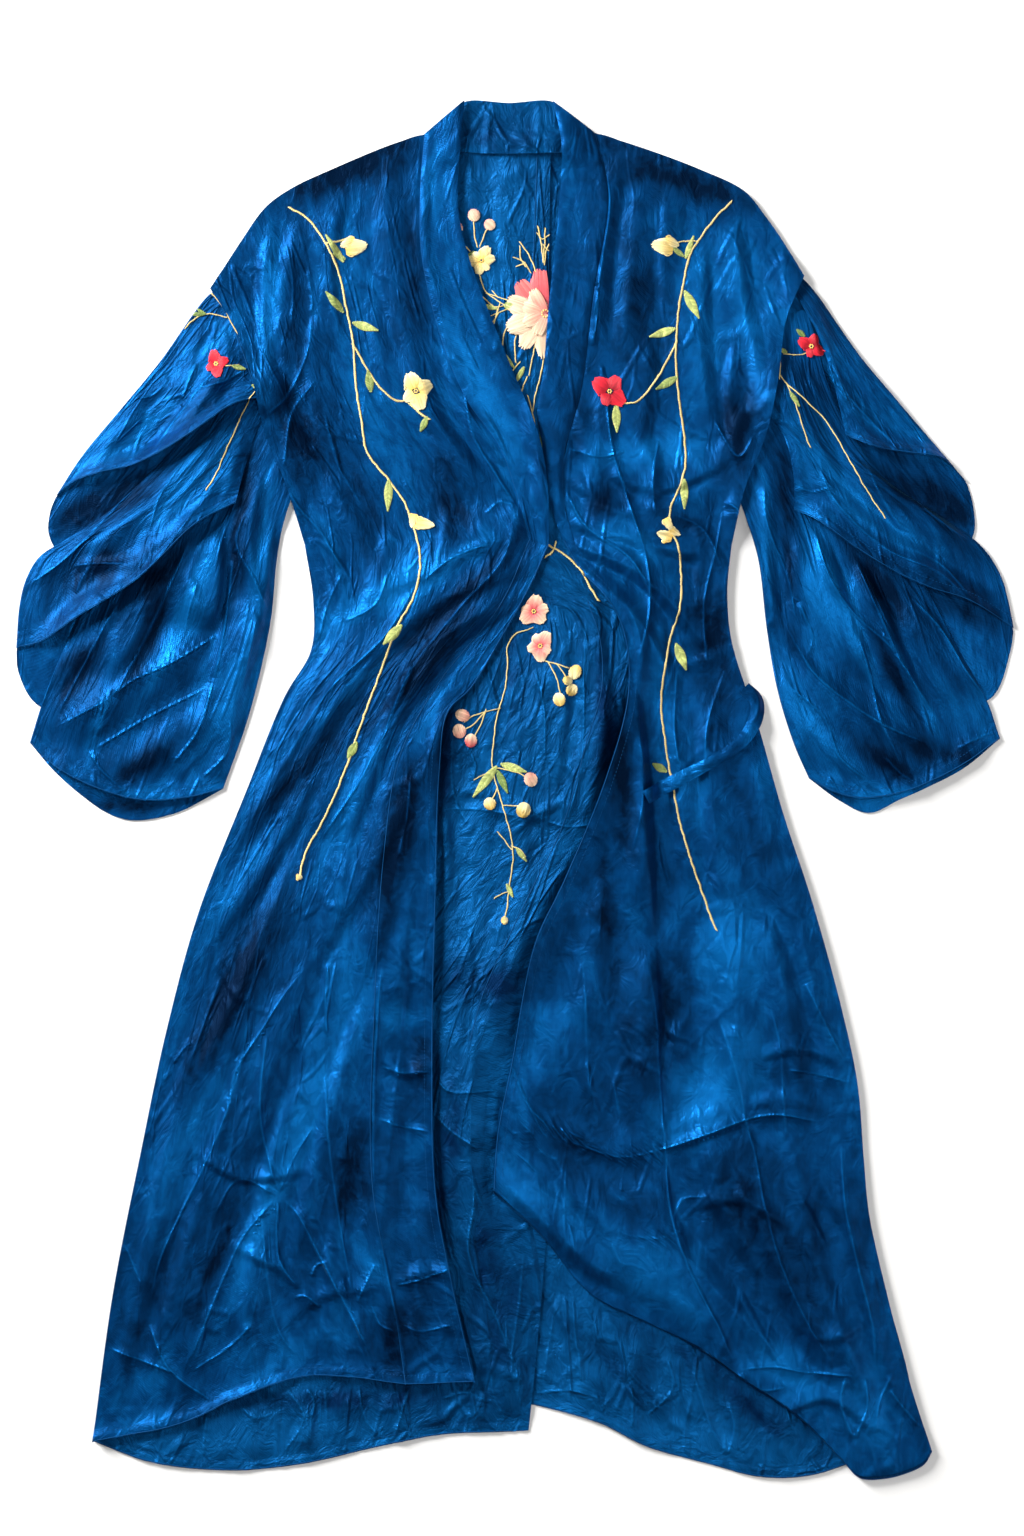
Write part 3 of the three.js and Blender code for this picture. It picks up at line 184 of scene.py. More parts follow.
# Folds: three points x, y of the crest, then its height, half width and lean to one side
FOLDS_FRONT_LEFT = (
    (-204, 549, -223, 461, -212, 370, 6.0, 20, 0.39), (-162, 570, -176, 502, -166, 423, 4.4, 14, -0.52),
    (-124, 584, -114, 466, -83, 370, 5.2, 23, 0.39), (-90, 598, -83, 502, -45, 416, 4.4, 13, -0.39),
    (-235, 532, -240, 466, -235, 390, 6.0, 14, 0.52), (-187, 466, -193, 380, -176, 304, 4.4, 17, 0.26),
    (-71, 466, -50, 370, 5, 294, 5.2, 17, 0.52), (-104, 437, -71, 342, -10, 274, 6.0, 22, -0.52),
    (-138, 466, -121, 380, -81, 304, 4.4, 17, 0.39), (-208, 276, -176, 218, -155, 142, 6.0, 17, 0.39),
    (-183, 304, -136, 218, -105, 142, 5.2, 20, -0.39), (-187, 218, -174, 180, -168, 124, 4.4, 13, 0.39),
    (-62, 276, -73, 218, -105, 152, 7.6, 22, 0.52), (-28, 261, -57, 218, -81, 180, 6.0, 14, -0.39),
    (-114, 256, -136, 190, -166, 131, 6.0, 20, 0.39), (25, 222, -96, 162, -221, 17, 13.6, 41, -0.59),
    (5, 249, -71, 211, -162, 175, 10.4, 29, -0.52), (1, 276, 2, 252, -14, 217, 9.0, 23, -0.52),
    (5, 190, -71, 142, -136, 66, 12.0, 35, -0.59), (-50, 165, -109, 74, -176, -81, 13.6, 35, -0.65),
    (-176, 95, -223, 19, -275, -68, 9.0, 29, -0.52), (-45, 112, -111, -28, -204, -185, 12.0, 38, -0.59),
    (-64, 74, -105, -66, -162, -228, 10.4, 32, -0.59), (-71, 28, -98, -104, -117, -271, 9.0, 29, -0.65),
    (-157, 95, -214, 19, -275, -57, 6.0, 14, 0.52), (-180, 28, -240, -76, -294, -152, 6.0, 16, -0.39),
    (-204, -49, -261, -185, -326, -323, 7.6, 22, 0.52),
    (-171, -104, -233, -271, -303, -456, 7.6, 25, -0.45),
    (-130, -152, -178, -318, -221, -484, 7.6, 23, 0.52), (-86, -10, -92, -200, -86, -370, 7.6, 20, 0.52),
    (-104, -238, -124, -385, -145, -553, 6.8, 19, -0.39),
    (-250, -242, -299, -390, -356, -584, 7.6, 22, 0.52),
    (-294, -200, -332, -342, -368, -513, 6.0, 17, 0.39),
    (-328, -370, -354, -475, -383, -598, 6.0, 14, -0.39),
    (-204, -266, -240, -390, -263, -570, 6.0, 17, 0.52),
    (-157, -294, -174, -428, -180, -556, 6.0, 16, 0.52), (-79, -256, -71, -408, -60, -556, 6.0, 14, 0.39),
    (-95, -370, -92, -475, -104, -560, 4.4, 13, 0.39),
    (-273, -342, -294, -446, -320, -575, 4.4, 13, 0.39), (-62, -28, -67, -180, -64, -314, 6.0, 13, 0.26),
    (-309, -344, -259, -370, -193, -363, 4.0, 7, 0.65),
    (-273, -432, -208, -470, -178, -534, 4.2, 7, 0.52),
    (-204, -404, -155, -484, -128, -572, 4.0, 7, -0.52),
    (-130, -255, -102, -272, -75, -260, 4.4, 7, 0.65), (-218, -513, -185, -484, -124, -475, 4.0, 7, 0.65),
    (-125, -162, -134, -247, -136, -358, 6.8, 14, -0.78),
    (-136, -358, -124, -456, -105, -562, 6.0, 13, -0.78),
    (-119, -472, -77, -459, -56, -470, 4.0, 7, 0.65), (-96, 123, -105, 95, -117, 72, 4.4, 6, -0.65),
)
FOLDS_FRONT_RIGHT = (
    (209, 546, 216, 466, 235, 380, 6.0, 17, -0.39), (119, 580, 109, 484, 102, 390, 5.2, 20, 0.39),
    (180, 522, 176, 428, 187, 332, 6.0, 22, -0.52), (145, 570, 140, 504, 147, 437, 4.4, 13, 0.39),
    (102, 608, 86, 513, 81, 418, 4.4, 14, -0.39), (209, 437, 204, 370, 216, 304, 5.2, 13, 0.52),
    (128, 437, 124, 370, 111, 304, 5.2, 17, -0.39), (81, 390, 79, 332, 66, 276, 4.4, 14, 0.39),
    (57, 370, 69, 323, 81, 271, 4.4, 13, 0.39), (43, 256, 100, 241, 180, 256, 7.6, 19, 0.65),
    (48, 276, 119, 266, 204, 294, 7.6, 19, -0.52), (43, 238, 119, 204, 187, 133, 9.0, 22, 0.65),
    (48, 256, 124, 233, 212, 218, 7.6, 19, 0.52), (54, 218, 119, 160, 157, 81, 7.6, 20, -0.52),
    (81, 304, 138, 285, 209, 318, 6.0, 16, 0.52), (48, 304, 81, 271, 138, 252, 6.0, 14, 0.52),
    (119, 342, 133, 294, 119, 247, 6.0, 16, -0.39), (212, 294, 197, 218, 187, 133, 6.0, 16, 0.52),
    (166, 276, 176, 218, 166, 142, 5.2, 14, 0.39), (100, 190, 119, 142, 119, 86, 7.6, 16, 0.52),
    (76, 204, 92, 162, 107, 112, 6.0, 13, 0.39), (218, 218, 209, 162, 216, 95, 5.2, 14, 0.39),
    (115, 95, 124, -21, 130, -152, 15.0, 26, -0.72), (130, -142, 133, -276, 132, -356, 13.6, 23, -0.65),
    (133, -347, 145, -428, 218, -562, 12.0, 26, -0.52), (90, -66, 81, -162, 71, -261, 9.0, 17, -0.65),
    (71, -252, 69, -304, 43, -352, 6.0, 14, -0.39), (176, 95, 191, -57, 202, -209, 7.6, 26, 0.52),
    (145, 86, 157, -10, 166, -104, 6.0, 17, 0.52), (218, 86, 242, -28, 276, -162, 7.6, 22, -0.39),
    (247, 0, 276, -152, 311, -294, 7.6, 20, 0.52), (190, -104, 209, -209, 216, -304, 9.0, 32, 0.52),
    (233, -104, 261, -218, 273, -304, 7.6, 22, -0.39), (104, 86, 102, -10, 86, -104, 7.6, 16, -0.52),
    (-19, -312, 100, -331, 214, -300, 6.0, 23, -0.39), (214, -300, 256, -293, 299, -300, 4.4, 17, -0.39),
    (31, -356, 92, -428, 176, -521, 9.0, 29, 0.52), (-10, -370, 43, -428, 119, -484, 10.4, 26, 0.65),
    (100, -356, 166, -446, 271, -560, 9.0, 29, -0.52), (199, -342, 261, -477, 326, -591, 9.0, 28, 0.52),
    (261, -323, 292, -466, 354, -618, 9.0, 22, -0.52), (311, -332, 326, -446, 370, -608, 7.6, 17, 0.52),
    (43, -209, 28, -266, -10, -318, 7.6, 17, 0.52), (166, -209, 145, -256, 119, -332, 6.0, 19, 0.52),
    (5, -342, 24, -390, 81, -446, 6.0, 14, 0.52), (176, -314, 195, -390, 242, -475, 6.0, 19, 0.52),
    (138, -504, 195, -551, 271, -598, 6.0, 17, 0.52), (166, -399, 214, -390, 261, -418, 4.4, 8, 0.52),
    (271, -513, 299, -522, 337, -504, 4.4, 8, 0.52), (242, -598, 299, -580, 347, -618, 4.4, 8, 0.52),
    (176, 28, 214, 40, 261, 36, 4.0, 7, 0.52), (214, 142, 176, 124, 138, 120, 4.0, 7, 0.52),
    (290, -370, 309, -408, 330, -428, 4.0, 7, 0.52), (90, -238, 128, -228, 176, -242, 4.0, 8, 0.52),
    (233, -256, 271, -247, 318, -266, 4.0, 7, 0.52), (69, -162, 72, -256, 67, -342, 6.0, 13, -0.65),
    (67, -342, 75, -418, 90, -488, 5.2, 8, -0.65), (68, -336, 104, -350, 145, -340, 4.0, 6, 0.65),
    (145, -340, 185, -327, 225, -314, 4.0, 6, 0.65), (119, 28, 123, -48, 119, -124, 4.4, 7, -0.65),
)
FOLDS_BACK_LEFT = (
    (-43, 128, -64, 28, -66, -104, 9.0, 23, -0.65), (-14, 142, -24, 28, -28, -109, 6.0, 20, -0.52),
    (43, 190, 48, 95, 35, -38, 10.4, 22, -0.65), (71, 195, 85, 86, 69, -38, 9.0, 17, -0.52),
    (20, 142, 14, 28, 5, -104, 7.6, 23, -0.65), (-71, -10, -43, -2, -14, -10, 4.4, 8, 0.39),
    (-14, -10, 31, -28, 71, -15, 4.0, 7, 0.39), (-43, -104, -50, -209, -57, -314, 7.6, 20, -0.52),
    (-10, -109, -16, -200, -28, -294, 6.0, 17, -0.52), (-43, 142, -50, 48, -57, -38, 6.0, 14, 0.39),
    (31, 133, 24, 28, 19, -66, 6.0, 14, -0.39), (57, 86, 50, 0, 31, -66, 6.0, 13, 0.39),
    (-14, -209, -43, -294, -50, -390, 6.0, 14, 0.39), (5, 142, -3, 66, 5, -10, 3.8, 8, 0.39),
    (38, 180, 57, 124, 62, 48, 6.0, 13, 0.39), (-62, -5, 5, -27, 81, -7, 6.0, 14, 0.78),
    (-38, -86, -43, -162, -52, -238, 4.4, 13, 0.39), (14, -66, 5, -133, -10, -200, 4.4, 13, -0.39),
    (-71, -10, -66, -57, -69, -133, 4.4, 6, 0.39), (-43, 598, -35, 532, -10, 456, 3.0, 13, 0.39),
    (-14, 589, -9, 504, 5, 428, 2.4, 8, 0.39), (-337, -598, -330, -618, -326, -635, 4.4, 17, 0.26),
    (-292, -591, -286, -614, -280, -642, 4.4, 14, 0.26),
    (-247, -580, -250, -608, -256, -644, 6.0, 17, 0.39),
    (-204, -565, -199, -598, -193, -638, 6.0, 17, -0.39),
    (-162, -568, -168, -598, -162, -635, 6.0, 16, 0.39),
    (-124, -572, -117, -598, -109, -625, 6.0, 16, 0.39),
    (-81, -572, -79, -589, -75, -614, 5.2, 13, -0.39), (-43, -572, -39, -589, -35, -610, 6.0, 14, 0.39),
    (-10, -475, -14, -532, -5, -603, 6.0, 13, 0.39), (-24, -390, -28, -466, -24, -570, 6.0, 13, 0.39),
    (-34, -204, -42, -342, -14, -508, 10.4, 22, -0.78), (-14, -504, -7, -543, -1, -578, 6.0, 13, -0.65),
    (-3, -162, -18, -280, -16, -342, 6.8, 8, 0.0), (-2, -423, 9, -484, -3, -532, 5.4, 8, 0.0),
    (-3, -532, 7, -565, 5, -591, 4.0, 6, 0.39), (-71, -428, -60, -504, -50, -564, 3.6, 7, -0.52),
)
FOLDS_BACK_RIGHT = (
    (43, -475, 48, -522, 50, -591, 6.0, 14, 0.39), (71, -499, 66, -542, 71, -598, 4.4, 13, -0.39),
    (104, -513, 109, -560, 115, -618, 6.0, 14, 0.39), (142, -527, 140, -580, 145, -632, 4.4, 13, 0.39),
    (176, -542, 181, -589, 187, -641, 6.0, 14, -0.39), (209, -565, 212, -608, 214, -644, 4.4, 13, 0.39),
    (247, -584, 248, -618, 252, -646, 4.4, 13, 0.39), (119, -527, 111, -580, 119, -625, 4.0, 7, -0.65),
)
FOLDS_SLEEVE_LEFT_1 = (
    (-252, 404, -285, 385, -320, 323, 7.6, 29, -0.65), (-294, 448, -309, 408, -330, 347, 5.2, 19, -0.52),
    (-269, 437, -278, 408, -294, 382, 4.4, 14, -0.52), (-323, 423, -356, 375, -399, 318, 6.0, 26, -0.52),
    (-347, 370, -377, 336, -408, 302, 4.4, 17, -0.52), (-278, 382, -294, 352, -313, 323, 4.4, 14, -0.52),
)
FOLDS_SLEEVE_LEFT_2 = (
    (-256, 369, -332, 285, -432, 211, 12.0, 32, -0.13), (-261, 318, -318, 252, -399, 188, 9.0, 26, -0.65),
    (-288, 347, -326, 315, -356, 283, 4.4, 14, -0.39), (-413, 216, -380, 213, -345, 218, 2.4, 5, 0.0),
    (-418, 176, -394, 184, -366, 200, 4.4, 17, -0.52), (-256, 332, -269, 304, -276, 276, 6.0, 16, -0.52),
)
FOLDS_SLEEVE_LEFT_3 = (
    (-326, 218, -361, 142, -394, 90, 12.0, 29, -0.72), (-278, 256, -284, 180, -294, 141, 10.4, 41, -0.85),
    (-284, 148, -383, 87, -449, 58, 10.4, 36, 0.13), (-275, 91, -347, 32, -419, 17, 9.0, 35, 0.0),
    (-240, 304, -252, 238, -240, 180, 9.0, 19, -0.52), (-230, 256, -240, 180, -256, 95, 7.6, 19, -0.65),
    (-238, 180, -261, 104, -278, 24, 9.0, 22, -0.65), (-375, 180, -408, 133, -440, 95, 9.0, 25, -0.65),
    (-259, 86, -273, 43, -285, 2, 6.0, 14, -0.52), (-347, 57, -323, 28, -309, 5, 3.0, 7, 0.0),
    (-408, 142, -423, 128, -434, 114, 3.0, 6, 0.0), (-313, 218, -303, 180, -294, 154, 3.8, 8, -0.39),
)
FOLDS_SLEEVE_RIGHT_1 = (
    (271, 466, 328, 408, 394, 342, 6.8, 23, -0.52), (259, 437, 314, 385, 370, 331, 6.0, 22, -0.52),
    (301, 437, 335, 390, 364, 352, 4.4, 14, -0.39), (261, 408, 285, 370, 318, 332, 6.0, 17, 0.52),
)
FOLDS_SLEEVE_RIGHT_2 = (
    (318, 332, 379, 276, 446, 226, 12.0, 29, -0.39), (282, 287, 356, 241, 437, 179, 10.4, 32, -0.65),
    (256, 423, 282, 342, 318, 276, 7.6, 22, -0.52), (273, 314, 314, 276, 349, 230, 6.0, 19, -0.52),
    (364, 218, 394, 209, 425, 190, 3.0, 6, 0.0), (261, 342, 271, 304, 276, 271, 6.0, 16, -0.52),
)
FOLDS_SLEEVE_RIGHT_3 = (
    (287, 242, 314, 174, 344, 86, 12.0, 32, -0.72), (325, 218, 349, 169, 392, 70, 12.0, 29, -0.72),
    (370, 185, 412, 131, 447, 86, 10.4, 29, -0.65), (257, 124, 329, 74, 419, 46, 10.4, 35, -0.13),
    (256, 91, 307, 36, 368, 4, 7.6, 32, 0.0), (240, 294, 240, 218, 252, 133, 9.0, 20, -0.52),
    (259, 180, 276, 142, 285, 93, 6.0, 17, -0.52), (254, 128, 271, 66, 285, 11, 7.6, 20, -0.52),
    (273, 247, 268, 200, 276, 154, 6.0, 14, 0.39), (337, 43, 366, 24, 394, 19, 3.6, 8, 0.0),
    (299, 180, 309, 142, 314, 114, 4.4, 13, -0.52),
)


# Painted light and shade on the satin as soft patches, including painted shadow in the sleeves' openings and
# under the fronts' hems: x, y, long and short radius, angle, amount, above 0 for painted light and below 0
# for painted shade
PAINTED_LIGHT_PATCHES = (
    (199, -152, 46, 28, 80, 0.42), (190, -287, 59, 32, 50, 0.38), (33, -208, 57, 30, 95, 0.26),
    (155, -200, 44, 32, 95, -0.25), (263, -238, 59, 32, 95, -0.22), (116, -260, 57, 17, 95, -0.21),
    (212, -380, 68, 49, 120, -0.25), (124, -395, 40, 25, 90, -0.24), (138, -469, 59, 32, -40, 0.42),
    (15, -386, 46, 27, -30, 0.3), (277, -475, 68, 32, 115, -0.18), (259, -552, 48, 19, -40, 0.34),
    (59, -339, 40, 23, 90, -0.17), (176, -543, 76, 11, -33, -0.24), (320, -295, 38, 17, 100, 0.17),
    (81, -428, 57, 19, -50, 0.17), (337, -598, 42, 19, 115, 0.25), (38, -162, 66, 15, 65, -0.18),
    (314, -513, 57, 13, 110, 0.17), (166, 578, 72, 21, -20, -0.5), (179, 466, 86, 21, 92, 0.28),
    (220, 466, 80, 10, 97, 0.4), (119, 475, 68, 19, 92, -0.22), (210, 347, 44, 21, 90, -0.55),
    (124, 321, 59, 17, 5, 0.45), (83, 271, 28, 17, 60, -0.4), (57, 332, 38, 10, 80, -0.2),
    (92, 242, 38, 11, -25, 0.3), (176, 171, 49, 25, -60, -0.22), (197, 86, 78, 21, 95, -0.28),
    (166, 10, 42, 21, 90, 0.22), (101, 19, 87, 13, 93, -0.45), (86, -124, 76, 13, 92, -0.42),
    (138, 95, 66, 10, 93, 0.25), (233, 19, 57, 15, 110, 0.2), (133, 218, 57, 13, -50, 0.25),
    (157, 256, 48, 11, -20, -0.25), (235, -66, 66, 17, 105, -0.2), (71, 636, 38, 13, -30, -0.2),
    (-168, 587, 72, 21, 21, -0.5), (-233, 466, 86, 10, 87, 0.42), (-212, 428, 61, 12, 88, -0.3),
    (-204, 332, 42, 28, 90, -0.34), (-109, 437, 49, 32, 80, -0.2), (-28, 378, 72, 13, -62, 0.36),
    (-60, 276, 53, 19, -80, -0.36), (-162, 522, 42, 13, 85, 0.2), (-81, 580, 57, 11, 85, 0.25),
    (-95, 504, 66, 11, -85, -0.3), (-147, 370, 48, 23, -70, 0.18), (-176, 238, 57, 15, -75, 0.22),
    (-10, 304, 44, 9, -70, 0.3), (-136, 276, 42, 19, -70, -0.2), (-126, 188, 87, 12, 30, 0.45),
    (-79, 163, 76, 11, 42, -0.4), (-71, 204, 66, 10, 35, 0.3), (-155, 95, 99, 10, 47, 0.42),
    (-90, 116, 80, 13, 52, -0.5), (-204, 17, 99, 17, 54, -0.42), (-240, -48, 95, 13, 57, 0.32),
    (-111, -43, 106, 17, 78, -0.5), (-81, 66, 48, 10, 60, 0.25), (-266, -190, 91, 19, 63, -0.5),
    (-176, -57, 86, 11, 62, 0.28), (-155, -176, 59, 25, 70, 0.24), (-88, -256, 49, 19, 90, -0.48),
    (-102, -218, 32, 13, 0, 0.36), (-244, -413, 99, 17, 66, 0.41), (-284, -451, 86, 13, 66, -0.31),
    (-157, -370, 59, 25, 75, -0.34), (-107, -513, 57, 23, 80, -0.41), (-195, -304, 76, 13, 68, 0.34),
    (-337, -475, 87, 19, 68, -0.34), (-71, -370, 66, 10, 88, -0.3), (-204, -532, 57, 19, 30, 0.24),
    (-136, -451, 42, 11, -50, 0.36), (-366, -570, 42, 15, 30, 0.2), (-309, -323, 66, 15, 64, 0.26),
    (-22, -185, 49, 21, 0, -0.4), (-14, -86, 57, 28, 85, 0.12), (-66, 28, 59, 8, 88, -0.55),
    (82, 95, 80, 8, 92, -0.35), (-43, -104, 57, 10, 88, 0.24), (-57, -323, 76, 11, 88, -0.36),
    (-33, -446, 76, 13, 85, -0.3), (43, 133, 44, 11, 85, 0.15), (-5, 86, 76, 8, 88, -0.2),
    (-204, -618, 171, 11, 0, -0.15), (100, -580, 76, 13, -20, -0.15), (-14, 622, 38, 13, 0, -0.2),
    (-14, 532, 57, 19, 90, 0.1), (-375, 332, 59, 19, 30, 0.25), (-294, 370, 51, 17, 35, -0.15),
    (-383, 276, 53, 15, 22, -0.6), (-318, 285, 80, 13, 50, 0.35), (-402, 200, 61, 15, 35, -0.35),
    (-432, 176, 28, 11, 30, 0.2), (-356, 133, 80, 13, 60, -0.55), (-316, 162, 87, 11, 64, 0.45),
    (-383, 86, 63, 8, 62, 0.4), (-328, 36, 80, 13, 28, -0.45), (-294, 52, 57, 13, 40, 0.3),
    (-347, -10, 59, 13, -15, 0.35), (-265, 218, 63, 10, 86, -0.45), (-240, 238, 66, 9, 84, 0.35),
    (-269, 86, 57, 13, 75, 0.2), (-418, 104, 38, 11, 50, -0.35), (-285, 428, 48, 15, 40, 0.2),
    (-256, 294, 48, 10, 80, -0.3), (-294, 218, 48, 11, 70, 0.25), (-403, 268, 42, 15, 30, -0.3),
    (-339, 201, 53, 12, 55, -0.5), (-418, 125, 25, 10, 30, -0.4), (-365, -15, 57, 7, 0, -0.5),
    (-394, 218, 32, 11, 30, -0.3), (370, 342, 59, 19, -30, 0.33), (294, 380, 51, 17, -35, -0.15),
    (390, 276, 53, 15, -22, -0.55), (318, 285, 80, 13, -50, 0.45), (408, 200, 61, 15, -35, -0.35),
    (437, 176, 28, 11, -30, 0.26), (358, 133, 80, 13, -60, -0.5), (318, 162, 87, 11, -64, 0.59),
    (385, 86, 63, 8, -62, 0.52), (330, 36, 80, 13, -28, -0.45), (295, 52, 57, 13, -40, 0.39),
    (352, -10, 59, 13, 15, 0.45), (263, 218, 63, 10, -86, -0.45), (240, 238, 66, 9, -84, 0.35),
    (273, 86, 57, 13, -75, 0.26), (392, 294, 59, 21, -40, -0.3), (338, 200, 55, 17, -50, -0.55),
    (430, 169, 44, 13, -20, -0.4), (384, 228, 48, 13, -42, 0.39), (420, 93, 48, 23, -45, 0.39),
    (329, 184, 53, 10, -62, 0.45), (285, 190, 61, 17, -78, 0.39), (356, 112, 59, 17, -55, -0.3),
    (405, 36, 46, 13, -15, -0.4), (261, 142, 57, 11, -70, -0.3), (421, 104, 38, 11, -50, -0.35),
    (285, 428, 48, 15, -40, 0.26), (256, 294, 48, 10, -80, -0.3), (295, 218, 48, 11, -70, 0.33),
    # These rows paint shadow under the fronts' hems and light on the back's hem strip
    (-176, -581, 142, 10, 2, -0.35), (-128, -621, 124, 19, 0, 0.4), (-271, -621, 86, 15, 10, 0.35),
    (66, -527, 66, 12, -38, -0.21), (166, -618, 114, 21, -12, 0.42), (233, -597, 76, 11, -35, -0.3),
    (52, -570, 42, 25, 60, 0.3), (-62, -603, 38, 10, 0, -0.2), (-14, -513, 19, 57, 0, -0.25),
)


